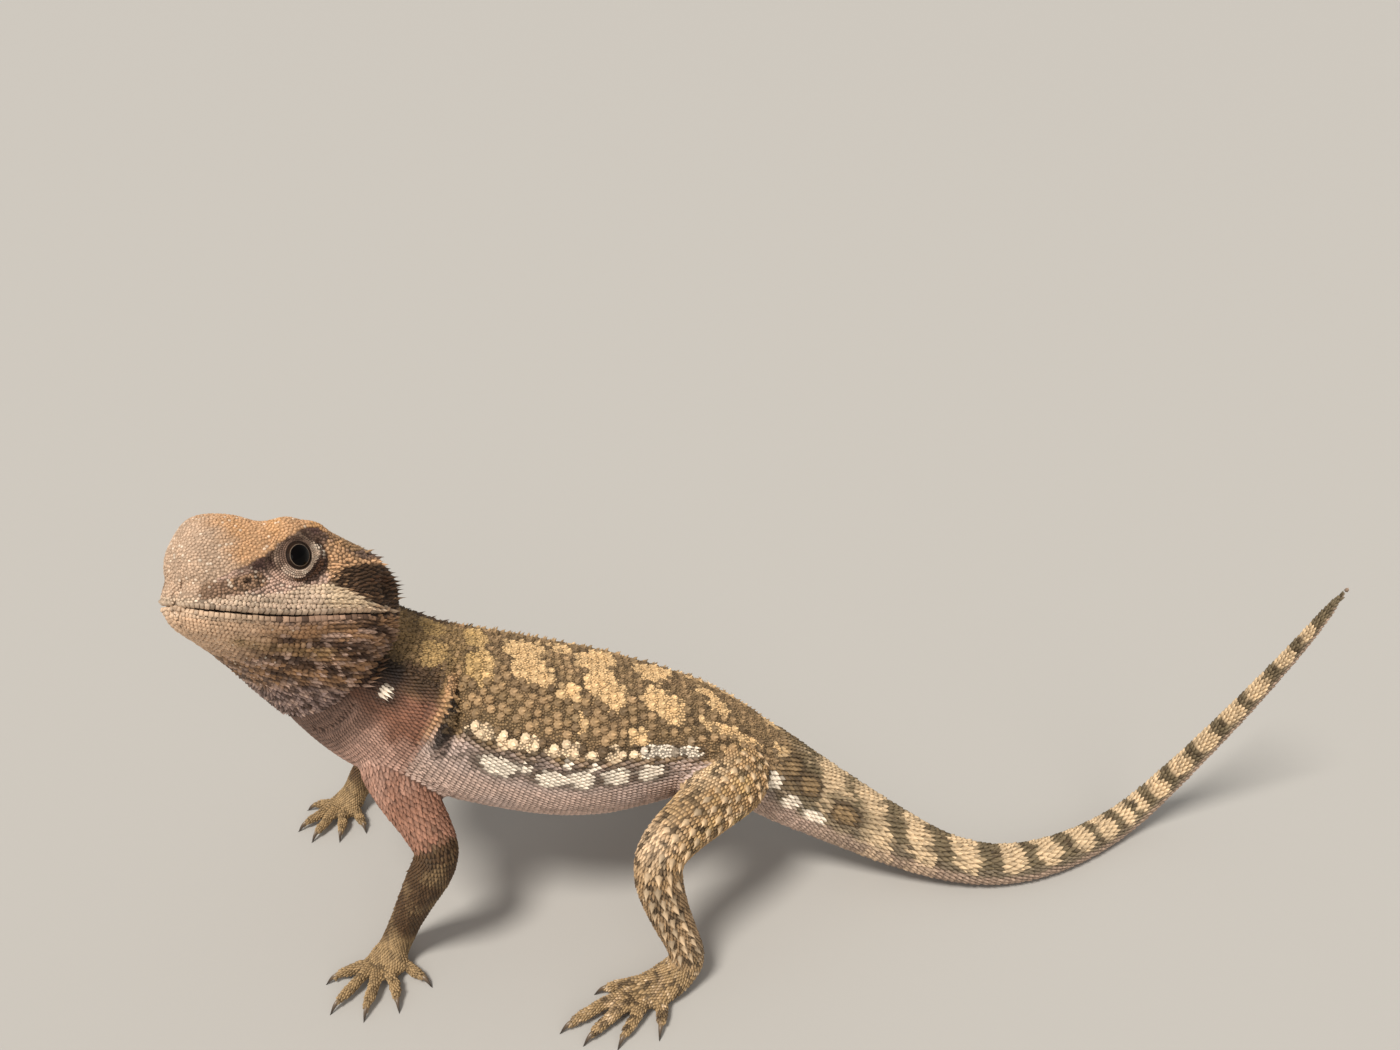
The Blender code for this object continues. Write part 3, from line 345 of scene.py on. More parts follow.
class Track:
    """The centre line of a neck, tail or limb, with frames carried along it without twist."""

    FINE = 24
    ROUNDING = 0.4
    CREASE_FROM = 0.5
    CREASE_MOST = 0.88
    SQUARE = 2.15

    def __init__(self, name: str, rings: tuple, up: Triple = (0.0, 0.0, 1.0), up_at: float = 0.0) -> None:
        """Round the path through the rings and carry the up direction along it.

        Args:
            name: What the track runs along.
            rings: Its sections.
            up: The up direction at one ring.
            up_at: The number of that ring.
        """
        self.name = name
        self.rings = rings
        self.last = len(rings) - 1.0
        self.fine = np.linspace(0.0, self.last, int(self.last * self.FINE) + 1)
        self.points = self._rounded(path_curve([r.centre for r in rings], self.fine))
        steps = np.gradient(self.points, axis=0)
        self.tangents = unit(steps)
        self.pace = np.linalg.norm(steps, axis=1, keepdims=True)
        self.bends = np.gradient(self.tangents, axis=0) / self.pace
        self.ups = self._carried(np.asarray(up, float), int(round(up_at * self.FINE)))
        legs = np.linalg.norm(np.diff(self.points, axis=0), axis=1)
        self.lengths = np.concatenate([[0.0], np.cumsum(legs)])

    def _rounded(self, points: Rows) -> Rows:
        """Round the bends of the path without moving its two ends.

        Args:
            points: The path's points.

        Returns:
            The rounded points.
        """
        spread = self.ROUNDING * self.FINE
        reach = int(3 * spread)
        weights = np.exp(-0.5 * (np.arange(-reach, reach + 1) / spread) ** 2)
        weights /= weights.sum()
        before = 2 * points[0] - points[reach:0:-1]
        after = 2 * points[-1] - points[-2:-reach - 2:-1]
        padded = np.vstack([before, points, after])
        return np.stack([np.convolve(padded[:, k], weights, "valid") for k in range(3)], -1)

    def _carried(self, up: Rows, start: int) -> Rows:
        """Carry the up direction both ways from the start by turning it with the path.

        Args:
            up: The up direction at the start.
            start: The number of the fine point it is given at.

        Returns:
            The up directions along the fine path.
        """
        ups = np.zeros_like(self.points)
        ups[start] = unit(up - self.tangents[start] * (up @ self.tangents[start]))
        for way in (1, -1):
            i = start
            while 0 <= i + way < len(ups):
                tangent = self.tangents[i + way]
                ups[i + way] = unit(ups[i] - tangent * (ups[i] @ tangent))
                i += way
        return ups

    def _read(self, rows: Rows, at: Rows) -> Rows:
        """Read rows kept along the fine path at places counted in rings."""
        return np.stack([np.interp(at, self.fine, rows[:, k]) for k in range(3)], -1)

    def frame(self, at: Rows) -> tuple[Rows, Rows, Rows, Rows]:
        """Return centres, backward tangents, up and left directions at places along the path.

        Args:
            at: Places counted in rings.

        Returns:
            Centres, tangents, up and left directions.
        """
        at = np.atleast_1d(np.asarray(at, float))
        tangent = unit(self._read(self.tangents, at))
        up = self._read(self.ups, at)
        up = unit(up - tangent * np.sum(up * tangent, axis=1, keepdims=True))
        return self._read(self.points, at), tangent, up, np.cross(tangent, up)

    def along(self, at: Rows) -> Rows:
        """Return lengths along the path in millimetres at places counted in rings."""
        return np.interp(at, self.fine, self.lengths)

    def places(self, lengths: Rows) -> Rows:
        """Return places counted in rings at lengths along the path."""
        return np.interp(lengths, self.lengths, self.fine)

    def sizes(self, at: Rows) -> Rows:
        """Return half width, height above and depth below the centre at places along the path."""
        values = [(r.half_width, r.above, r.below) for r in self.rings]
        return smooth_curve(np.arange(len(self.rings)), values, at)

    def surface(self, at: Rows, angle: Rows, grow: float = 0.0) -> Rows:
        """Find the points of the surface.

        The inner side of a sharp bend is drawn in, so that it creases and doesn't cross itself.

        Args:
            at: Places along the path, counted in rings.
            angle: A row of angles from the top to the left for each place, in radians.
            grow: How far outside the surface to stand.

        Returns:
            A row of points for each place.
        """
        centre, _, up, left = self.frame(at)
        size = self.sizes(at) + grow
        angle = np.asarray(angle, float)
        across = np.sign(np.sin(angle)) * np.abs(np.sin(angle)) ** (2.0 / self.SQUARE)
        upward = np.sign(np.cos(angle)) * np.abs(np.cos(angle)) ** (2.0 / self.SQUARE)
        height = np.where(upward >= 0.0, size[:, 1:2], size[:, 2:3])
        out = left[:, None, :] * (size[:, 0:1] * across)[..., None]
        out = out + up[:, None, :] * (height * upward)[..., None]
        bend = self._read(self.bends, np.atleast_1d(at))[:, None, :]
        sharp = np.maximum(np.sum(bend * bend, axis=-1, keepdims=True), 1e-9)
        inward = np.sum(out * bend, axis=-1, keepdims=True)
        room = self.CREASE_MOST - self.CREASE_FROM
        eased = self.CREASE_FROM + room * np.tanh((inward - self.CREASE_FROM) / room)
        out = out + bend * (np.where(inward > self.CREASE_FROM, eased, inward) - inward) / sharp
        return centre[:, None, :] + out

    def cells(self, gap: float, sides: int, grow: float) -> Cells:
        """Make the track as a closed mesh.

        Args:
            gap: About how far apart its rings stand.
            sides: How many points a ring has.
            grow: How far outside the surface they stand.

        Returns:
            The mesh.
        """
        reach = self.lengths[-1]
        rows = max(int(reach / gap), 4)
        at = self.places(np.linspace(0.0, reach, rows))
        return loft(self.surface(at, turns(sides)[None, :].repeat(rows, 0), grow))


HEAD = (
    HeadRing(-3.0, 11.6, 3.6, -21.0, -5.0, 2.6, 2.0),
    HeadRing(0.0, 12.4, 4.8, -20.0, -5.0, 2.8, 2.0),
    HeadRing(3.0, 12.7, 5.8, -18.9, -4.8, 3.0, 2.0),
    HeadRing(6.5, 12.7, 6.8, -17.5, -4.6, 3.3, 2.0),
    HeadRing(10.0, 11.8, 7.4, -15.9, -4.4, 3.8, 2.0),
    HeadRing(14.0, 10.5, 7.7, -14.1, -4.2, 4.2, 2.0),
    HeadRing(17.0, 9.4, 7.6, -12.7, -4.0, 4.2, 2.0),
    HeadRing(20.0, 8.1, 7.9, -11.2, -3.8, 3.4, 2.0),
    HeadRing(22.5, 7.1, 8.4, -9.9, -3.6, 2.8, 2.1),
    HeadRing(25.0, 6.0, 8.1, -8.7, -3.4, 2.6, 2.2),
    HeadRing(26.8, 4.8, 7.5, -7.8, -3.2, 2.5, 2.3),
    HeadRing(28.0, 3.8, 6.5, -6.9, -3.0, 2.4, 2.3),
    HeadRing(28.9, 2.8, 5.1, -6.2, -2.5, 2.2, 2.2),
    HeadRing(29.4, 1.9, 3.4, -5.5, -2.0, 2.1, 2.1),
    HeadRing(29.6, 0.8, 1.0, -4.6, -1.5, 2.0, 2.0),
)

HEAD_SWELLS = (
    Swell((18.2, 7.0, 7.6), (3.2, 1.9, 2.6), 2.20),
    Swell((13.4, 7.8, 7.0), (3.2, 1.7, 2.6), 1.25),
    Swell((16.0, 0.0, 8.0), (5.0, 2.8, 3.0), -0.40),
    Swell((21.4, 6.2, 4.4), (2.4, 1.6, 1.6), 0.45),
    Swell((21.4, 7.6, 0.4), (2.6, 3.0, 1.8), -0.55),
    Swell((16.9, 9.4, 3.0), (4.8, 3.0, 4.2), -0.90),
    Swell((8.5, 11.5, 1.4), (3.2, 3.0, 3.0), -0.90),
    Swell((3.0, 10.5, 3.6), (4.0, 2.6, 2.0), 0.50),
    Swell((12.0, 10.8, -2.2), (7.0, 3.0, 1.5), 0.45),
    Swell((23.0, 6.6, -2.8), (4.0, 3.0, 1.2), 0.25),
    Swell((15.0, 10.4, -6.2), (9.0, 3.0, 1.0), 0.30),
    Swell((29.2, 0.0, -1.2), (2.2, 4.6, 0.9), -0.70),
    Swell((28.9, 0.0, 2.2), (2.4, 4.6, 2.2), 0.45),
    Swell((29.6, 0.0, -4.6), (1.8, 4.2, 1.1), -0.50),
    Swell((4.0, 12.0, -8.5), (6.0, 4.0, 3.0), 0.60),
)

SPINE = (
    Ring((-66.5, -13.0, 61.0), 9.0, 7.5, 10.0),
    Ring((-64.0, -8.5, 57.5), 10.2, 8.0, 12.5),
    Ring((-60.0, -7.0, 51.5), 11.8, 8.6, 14.6),
    Ring((-54.5, -6.2, 45.8), 13.2, 10.2, 15.4),
    Ring((-48.0, -5.5, 41.0), 14.4, 12.0, 14.0),
    Ring((-39.0, -4.0, 36.5), 16.0, 12.8, 12.6),
    Ring((-30.0, -2.5, 33.4), 16.4, 12.9, 12.3),
    Ring((-22.5, -1.4, 31.6), 15.6, 12.4, 11.8),
    Ring((-15.0, -0.4, 30.6), 13.9, 10.9, 10.4),
    Ring((-9.0, 0.4, 29.8), 12.2, 9.4, 9.0),
    Ring((-3.0, 1.4, 27.2), 10.8, 8.2, 8.0),
    Ring((3.4, 2.0, 23.2), 9.2, 7.2, 7.0),
    Ring((9.6, 2.0, 18.5), 8.0, 6.9, 6.8),
    Ring((18.8, 1.0, 13.2), 6.7, 6.0, 5.9),
    Ring((29.3, -1.2, 8.3), 5.3, 4.9, 4.9),
    Ring((39.5, -3.4, 4.6), 4.1, 3.8, 3.8),
    Ring((49.8, -4.0, 3.1), 3.4, 3.2, 3.2),
    Ring((60.5, -1.0, 2.8), 3.05, 2.9, 2.9),
    Ring((70.0, 4.2, 2.5), 2.75, 2.6, 2.6),
    Ring((77.6, 8.6, 3.7), 2.45, 2.35, 2.35),
    Ring((82.6, 10.0, 8.6), 2.25, 2.15, 2.15),
    Ring((88.6, 10.0, 18.0), 1.9, 1.85, 1.85),
    Ring((95.2, 10.0, 29.2), 1.6, 1.55, 1.55),
    Ring((101.3, 10.0, 40.6), 1.25, 1.2, 1.2),
    Ring((105.0, 10.0, 48.6), 0.9, 0.85, 0.85),
    Ring((107.2, 10.0, 53.6), 0.45, 0.45, 0.45),
)

FORELIMB_LEFT = (
    (
        Ring((-53.0, -6.0, 41.0), 6.0, 6.5, 6.5),
        Ring((-53.8, -13.4, 37.4), 5.8, 6.8, 6.8),
        Ring((-52.2, -17.0, 32.6), 4.6, 5.2, 5.2),
        Ring((-49.0, -20.0, 27.8), 3.5, 3.9, 3.9),
        Ring((-46.8, -22.0, 23.8), 3.3, 3.4, 3.4),
        Ring((-48.4, -22.4, 19.5), 3.3, 3.5, 3.5),
        Ring((-51.6, -21.8, 13.0), 2.8, 3.1, 3.1),
        Ring((-54.3, -21.4, 7.2), 2.4, 2.7, 2.7),
        Ring((-56.0, -22.2, 3.6), 2.3, 2.8, 2.8),
        Ring((-57.2, -24.4, 1.9), 3.5, 1.6, 2.1),
        Ring((-58.2, -26.2, 1.5), 3.0, 1.3, 1.75),
    ),
    (
        ((-56.0, -23.8, 1.4), (-52.6, -26.0, 2.0), (-50.4, -27.4, 0.6)),
        ((-56.8, -25.2, 1.5), (-54.8, -29.2, 2.2), (-53.8, -31.8, 0.6)),
        ((-58.0, -25.6, 1.5), (-58.2, -30.4, 2.4), (-58.4, -33.4, 0.6)),
        ((-59.0, -25.2, 1.5), (-61.8, -29.6, 2.2), (-63.4, -32.2, 0.6)),
        ((-59.0, -24.2, 1.4), (-62.8, -25.8, 2.0), (-65.2, -27.0, 0.6)),
    ),
    0.9,
)

FORELIMB_RIGHT = (
    (
        Ring((-53.0, -4.0, 41.0), 6.0, 6.5, 6.5),
        Ring((-56.0, 3.6, 37.6), 5.5, 6.4, 6.4),
        Ring((-57.5, 9.5, 33.0), 4.3, 4.8, 4.8),
        Ring((-59.0, 15.0, 28.5), 3.6, 3.9, 3.9),
        Ring((-60.5, 19.0, 24.0), 3.3, 3.4, 3.4),
        Ring((-63.4, 19.6, 19.5), 3.2, 3.4, 3.4),
        Ring((-68.0, 18.4, 13.0), 2.8, 2.9, 2.9),
        Ring((-71.8, 17.0, 7.2), 2.3, 2.5, 2.5),
        Ring((-73.2, 16.2, 3.8), 2.2, 2.6, 2.6),
        Ring((-75.0, 14.2, 1.9), 3.4, 1.6, 2.1),
        Ring((-76.0, 12.6, 1.5), 2.9, 1.3, 1.75),
    ),
    (
        ((-73.8, 14.0, 1.4), (-71.6, 10.8, 2.0), (-70.4, 9.0, 0.6)),
        ((-75.0, 13.0, 1.5), (-74.4, 9.2, 2.2), (-74.2, 6.8, 0.6)),
        ((-76.2, 12.8, 1.5), (-77.8, 9.0, 2.3), (-78.8, 6.6, 0.6)),
        ((-77.0, 13.6, 1.5), (-80.0, 10.8, 2.2), (-81.8, 9.2, 0.6)),
        ((-76.6, 15.0, 1.4), (-79.6, 14.6, 2.0), (-81.6, 14.4, 0.6)),
    ),
    0.9,
)

HINDLIMB_LEFT = (
    (
        Ring((0.0, 0.0, 25.5), 6.0, 6.5, 6.5),
        Ring((1.0, -7.0, 25.6), 6.2, 6.4, 5.4),
        Ring((-2.6, -14.0, 26.6), 5.2, 5.8, 4.2),
        Ring((-7.0, -19.5, 26.6), 4.3, 4.9, 3.7),
        Ring((-11.2, -23.8, 25.2), 3.8, 4.1, 3.6),
        Ring((-11.6, -25.2, 20.2), 3.3, 3.7, 3.7),
        Ring((-9.8, -26.0, 14.0), 2.9, 3.2, 3.2),
        Ring((-7.6, -26.4, 8.0), 2.6, 2.8, 2.8),
        Ring((-7.0, -26.8, 4.2), 2.6, 2.8, 2.8),
        Ring((-10.6, -28.8, 2.0), 3.3, 1.8, 2.25),
        Ring((-14.0, -30.6, 1.6), 3.3, 1.4, 1.85),
    ),
    (
        ((-10.8, -30.6, 1.4), (-11.0, -34.4, 2.0), (-11.2, -36.8, 0.6)),
        ((-13.0, -31.6, 1.5), (-15.6, -36.0, 2.2), (-17.0, -38.6, 0.6)),
        ((-14.6, -31.2, 1.5), (-19.6, -35.8, 2.4), (-22.0, -38.2, 0.6)),
        ((-15.0, -30.0, 1.5), (-21.8, -33.8, 2.6), (-25.6, -36.2, 0.6)),
        ((-12.2, -28.0, 1.4), (-17.6, -28.8, 2.0), (-20.6, -29.4, 0.6)),
    ),
    0.95,
)

HINDLIMB_RIGHT = (
    (
        Ring((0.0, 2.0, 24.5), 5.6, 6.0, 6.0),
        Ring((0.0, 8.5, 23.4), 5.6, 6.0, 5.6),
        Ring((-4.0, 14.5, 23.6), 4.9, 5.4, 5.4),
        Ring((-9.0, 19.5, 23.4), 4.2, 4.6, 4.6),
        Ring((-12.8, 23.0, 21.6), 3.7, 3.9, 3.9),
        Ring((-12.8, 24.2, 17.6), 3.3, 3.6, 3.6),
        Ring((-10.6, 24.0, 12.0), 2.9, 3.2, 3.2),
        Ring((-8.0, 23.4, 7.4), 2.6, 2.8, 2.8),
        Ring((-7.2, 23.6, 4.2), 2.5, 2.7, 2.7),
        Ring((-10.6, 25.6, 2.0), 3.3, 1.8, 2.25),
        Ring((-14.0, 27.6, 1.6), 3.3, 1.4, 1.85),
    ),
    (
        ((-10.6, 27.6, 1.4), (-10.8, 31.4, 2.0), (-10.8, 33.8, 0.6)),
        ((-12.8, 28.6, 1.5), (-15.0, 33.4, 2.2), (-16.0, 36.0, 0.6)),
        ((-14.4, 28.2, 1.5), (-19.0, 33.4, 2.4), (-21.2, 36.0, 0.6)),
        ((-15.0, 27.0, 1.5), (-21.6, 31.4, 2.6), (-25.2, 34.0, 0.6)),
        ((-12.2, 24.8, 1.4), (-17.6, 26.2, 2.0), (-20.6, 27.0, 0.6)),
    ),
    0.95,
)

FOLDS = (
    Fold(((26.3, 5.0, 0.5), (24.0, 6.0, 1.9), (22.0, 6.7, 3.0), (20.5, 7.4, 4.2), (19.1, 8.4, 5.8),
          (17.0, 8.4, 7.1), (14.6, 8.5, 7.6), (12.6, 8.9, 7.1), (11.3, 9.5, 6.1)), 0.62, 0.42),
    Fold(((26.2, 5.2, -0.6), (23.6, 6.4, 0.9), (21.8, 7.2, 1.9), (20.6, 8.0, 3.2), (19.4, 8.8, 4.7),
          (17.4, 9.2, 5.7), (15.0, 9.3, 6.1), (13.2, 9.5, 5.4), (12.2, 9.9, 4.0)), 0.55, -0.38),
    Fold(((15.0, 10.0, -0.6), (13.4, 10.4, 0.6), (12.3, 10.4, 2.2), (12.0, 10.2, 4.0)), 0.40, -0.30),
    Fold(((20.6, 7.8, -1.6), (18.4, 9.0, -1.2), (15.6, 10.0, -0.9), (13.0, 10.8, -0.4)), 0.45, -0.22),
    Fold(((14.2, 9.2, 6.0), (12.6, 9.9, 4.6), (11.6, 10.5, 2.6), (11.8, 10.8, 0.8)), 0.6, -0.35),
    Fold(((16.0, 9.4, -2.8), (11.0, 11.6, -2.4), (6.0, 12.9, -3.0), (1.2, 13.0, -4.0)), 0.8, 0.30),
    Fold(((10.0, 11.6, -3.6), (6.0, 12.9, -3.9), (1.5, 13.0, -4.7)), 0.35, -0.22),
    Fold(((23.2, 5.5, -7.9), (15.6, 9.0, -8.7), (8.9, 12.2, -8.7), (2.6, 12.8, -8.9)), 0.5, -0.34),
    Fold(((20.0, 4.4, -10.8), (13.6, 7.6, -12.2), (6.1, 10.4, -13.1)), 0.5, -0.30),
    Fold(((15.1, 2.0, -14.8), (10.6, 5.4, -16.2), (5.4, 8.3, -16.3)), 0.5, -0.28),
    Fold(((8.0, 12.4, -6.4), (4.0, 12.9, -7.0), (0.0, 12.9, -8.0)), 0.5, -0.28),
    Fold(((9.0, 11.2, -10.8), (4.5, 11.9, -11.2), (0.8, 11.6, -12.6)), 0.5, -0.26),
    Fold(((-46.5, -8.6, 53.2), (-44.4, -11.1, 51.6), (-43.6, -14.6, 49.6), (-43.7, -17.4, 46.7),
          (-45.3, -19.2, 43.3), (-47.7, -19.6, 40.9)), 0.75, 1.05, False),
    Fold(((-44.8, -9.6, 52.4), (-43.3, -12.3, 50.4), (-42.5, -15.3, 48.4), (-42.6, -17.6, 45.6),
          (-44.1, -19.2, 42.3), (-46.3, -19.6, 39.8)), 0.65, -0.95, False),
    Fold(((-47.1, -16.5, 49.6), (-48.0, -18.4, 44.2), (-49.3, -19.6, 41.5)), 0.7, -0.55, False),
    Fold(((-65.6, -17.0, 44.4), (-63.0, -17.9, 44.4), (-59.7, -18.9, 47.2), (-57.2, -18.7, 50.8)),
         0.7, -0.6, False),
)

# Rows of spiky scales: region, guide, how many, length and width. On the neck and trunk a guide is
# places along the spine and degrees from the top; elsewhere it is points in the head's frame.
FRINGES = (
    ("temples", ((1.2, 1.2, 6.0), (0.8, 5.0, 5.6), (0.2, 9.4, 3.8)), 11, 1.5, 0.62),
    ("temples", ((0.6, 10.6, 2.6), (-1.2, 11.8, 0.2), (-2.0, 12.2, -2.4)), 9, 2.0, 0.70),
    ("temples", ((2.6, 11.4, 3.0), (0.6, 12.2, 0.8), (-0.4, 12.5, -1.8)), 7, 1.5, 0.62),
    ("temples", ((4.8, 10.2, 5.4), (4.2, 11.6, 3.6), (3.6, 12.4, 2.0)), 6, 1.1, 0.60),
    ("temples", ((9.5, 9.6, 5.6), (7.4, 10.2, 5.4), (5.2, 10.0, 5.8)), 6, 0.8, 0.58),
    ("lips", ((6.5, 12.6, -3.5), (2.6, 13.0, -4.0), (-0.6, 12.8, -4.4)), 8, 1.5, 0.66),
    ("lips", ((4.5, 12.8, -5.4), (1.8, 12.9, -5.8), (-0.8, 12.6, -6.4)), 5, 1.3, 0.64),
    ("beard", ((1.5, 12.7, -6.4), (-0.8, 12.4, -8.6)), 5, 1.8, 0.66),
    ("beard", ((-0.6, 12.0, -10.4), (1.6, 11.4, -14.6), (5.8, 9.6, -18.0)), 13, 1.9, 0.70),
    ("beard", ((4.4, 12.4, -9.0), (6.0, 11.4, -12.8), (9.4, 9.2, -16.0)), 9, 1.2, 0.66),
    ("beard", ((8.8, 11.6, -8.6), (11.0, 9.8, -12.6), (14.4, 6.6, -14.6)), 7, 0.8, 0.62),
    ("neck", ((2.2, 14.0), (3.3, 12.0)), 5, 1.1, 0.66),
    ("neck", ((2.1, 42.0), (3.3, 38.0)), 5, 1.3, 0.70),
    ("neck", ((2.42, 60.0), (2.50, 65.0), (2.46, 70.0)), 4, 2.0, 0.80),
    ("trunk", ((4.1, 56.0), (6.2, 56.0), (8.4, 57.0), (9.4, 58.0)), 16, 0.95, 0.78),
    ("trunk", ((4.9, 75.0), (6.2, 74.0), (8.4, 74.0)), 13, 1.0, 0.74),
)


@dataclass
class Head:
    """The head's surface in its own frame: x to the snout, y to the left, z up."""

    origin: Triple = (-63.5, -5.0, 64.2)
    turn: float = 66.0
    nod: float = 28.8
    roll: float = 8.6
    rings: int = 112
    sides_over: int = 92
    sides_under: int = 92
    slant: float = 0.62
    lip_groove: float = 0.55
    lip_bulge: float = 0.20
    nostril: Triple = (23.5, 6.1, -0.6)
    nostril_size: tuple[float, float] = (0.80, 0.55)
    ear: Triple = (1.6, 12.6, -0.6)
    ear_size: float = 1.2
    axes: Rows = field(init=False)

    def __post_init__(self) -> None:
        """Work out the axes of the turned head."""
        turn, nod, roll = (math.radians(a) for a in (self.turn, self.nod, self.roll))
        facing = np.array([[-1.0, 0.0, 0.0], [0.0, -1.0, 0.0], [0.0, 0.0, 1.0]])
        about_z = np.array(Matrix.Rotation(turn, 3, "Z"))
        about_left = np.array(Matrix.Rotation(-nod, 3, "Y"))
        about_axis = np.array(Matrix.Rotation(roll, 3, "X"))
        self.axes = about_z @ facing @ about_left @ about_axis

    def out(self, points: Rows) -> Rows:
        """Carry points from the head's own frame to the model's."""
        return np.asarray(points, float) @ self.axes.T + np.array(self.origin)

    def into(self, points: Rows) -> Rows:
        """Carry points from the model's frame to the head's own."""
        return (np.asarray(points, float) - np.array(self.origin)) @ self.axes

    def turned(self, directions: Rows) -> Rows:
        """Carry directions from the head's own frame to the model's."""
        return np.asarray(directions, float) @ self.axes.T

    def mouth_level(self, x: Rows) -> Rows:
        """Return the height of the line of the mouth, which dips under the eye."""
        x = np.asarray(x, float)
        return -4.5 - 0.5 * bell(x - 18.0, 7.0) + 0.15 * bell(x - 30.0, 3.0)

    def section(self, x: float, row: Rows, angle: Rows) -> Rows:
        """Return the points of one section of the head.

        Args:
            x: Where along the head it lies.
            row: Its half width, top, bottom, widest height and squareness over and under that.
            angle: Angles from its top towards the left.

        Returns:
            One point for each angle.
        """
        half_width, top, bottom, widest, square_top, square_bottom = row
        sine, cosine = np.sin(angle), np.cos(angle)
        power = 2.0 / np.where(cosine >= 0.0, square_top, square_bottom)
        across = np.sign(sine) * np.abs(sine) ** power
        upward = np.sign(cosine) * np.abs(cosine) ** power
        z = widest + np.where(cosine >= 0.0, top - widest, widest - bottom) * upward
        slant = self.slant * np.clip((18.0 - x) / 21.0, 0.0, 1.0)
        return np.stack([x + slant * np.clip(-8.0 - z, 0.0, None), half_width * across, z], -1)

    def grid(self) -> Rows:
        """Return rings of points with one column along the line of the mouth on each side.

        Returns:
            The rings in the head's frame.
        """
        keys = [r.x for r in HEAD]
        steps = np.linspace(0.0, 1.0, self.rings)
        along = HEAD[0].x + (HEAD[-1].x - HEAD[0].x) * (1.0 - (1.0 - steps) ** 1.35)
        values = [(r.half_width, r.top, r.bottom, r.widest, r.square_top, r.square_bottom) for r in HEAD]
        read = smooth_curve(keys, values, along)
        fine = np.linspace(0.0, math.pi, 721)
        grid = []
        for x, row in zip(along, read):
            half = self.section(x, row, fine)
            legs = np.linalg.norm(np.diff(half, axis=0), axis=1)
            length = np.concatenate([[0.0], np.cumsum(legs)])
            below = half[:, 2] < self.mouth_level(x)
            lip = length[np.argmax(below)] if below.any() else length[-1] * 0.93
            over = lip * (1.0 - np.linspace(1.0, 0.0, self.sides_over) ** 1.35)
            under = lip + (length[-1] - lip) * np.linspace(0.0, 1.0, self.sides_under + 1)[1:] ** 1.25
            left = np.interp(np.concatenate([over, under]), length, fine)
            angle = np.concatenate([left, FULL_TURN - left[-2:0:-1]])
            grid.append(self.section(x, row, angle))
        return np.array(grid)

    def normals(self, grid: Rows) -> Rows:
        """Return the outward directions of a grid.

        Args:
            grid: Rings of points of the head.

        Returns:
            One direction for each point.
        """
        along = np.gradient(grid, axis=0)
        around = np.roll(grid, -1, axis=1) - np.roll(grid, 1, axis=1)
        normal = unit(np.cross(along, around))
        facing = np.sum(normal * (grid - grid.mean(axis=1, keepdims=True)), axis=-1, keepdims=True)
        return normal * np.where(facing < 0.0, -1.0, 1.0)

    def shaped(self, grid: Rows) -> Rows:
        """Raise and hollow a grid by the named swells, the lips, the nostrils and the ears.

        Args:
            grid: Rings of points of the plain head.

        Returns:
            The shaped rings.
        """
        folded = mirrored_to_left(grid)
        push = np.zeros(grid.shape[:2])
        for swell in HEAD_SWELLS:
            away = (folded - np.array(swell.centre)) / np.array(swell.reach)
            push += swell.amount * np.exp(-np.sum(away * away, axis=-1))
        grid = grid + self.normals(grid) * push[..., None]
        rise = grid[..., 2] - self.mouth_level(grid[..., 0])
        open_here = step_up(grid[..., 0], -0.5, 2.5)
        push = -self.lip_groove * bell(rise, 0.26) * open_here
        push += self.lip_bulge * (bell(rise - 0.75, 0.55) + 0.8 * bell(rise + 0.7, 0.5)) * open_here
        folded = mirrored_to_left(grid)
        away = folded - np.array(self.nostril)
        around = np.hypot(away[..., 0] / self.nostril_size[0], away[..., 2] / self.nostril_size[1])
        around = np.where(away[..., 1] < -2.5, 9.0, around)
        push += 0.12 * bell(around - 1.35, 0.45) + 0.08 * bell(around - 2.5, 0.5) - 0.5 * bell(around, 0.62)
        away = np.linalg.norm((folded - np.array(self.ear)) / np.array([1.0, 1.6, 1.25]), axis=-1)
        push += -1.3 * bell(away, self.ear_size) + 0.15 * bell(away - 1.9, 0.7)
        return grid + self.normals(grid) * push[..., None]

    def cells(self) -> Cells:
        """Make the head as a closed mesh in the model's frame."""
        made = loft(self.shaped(self.grid()))
        return Cells(self.out(made.points), made.faces)


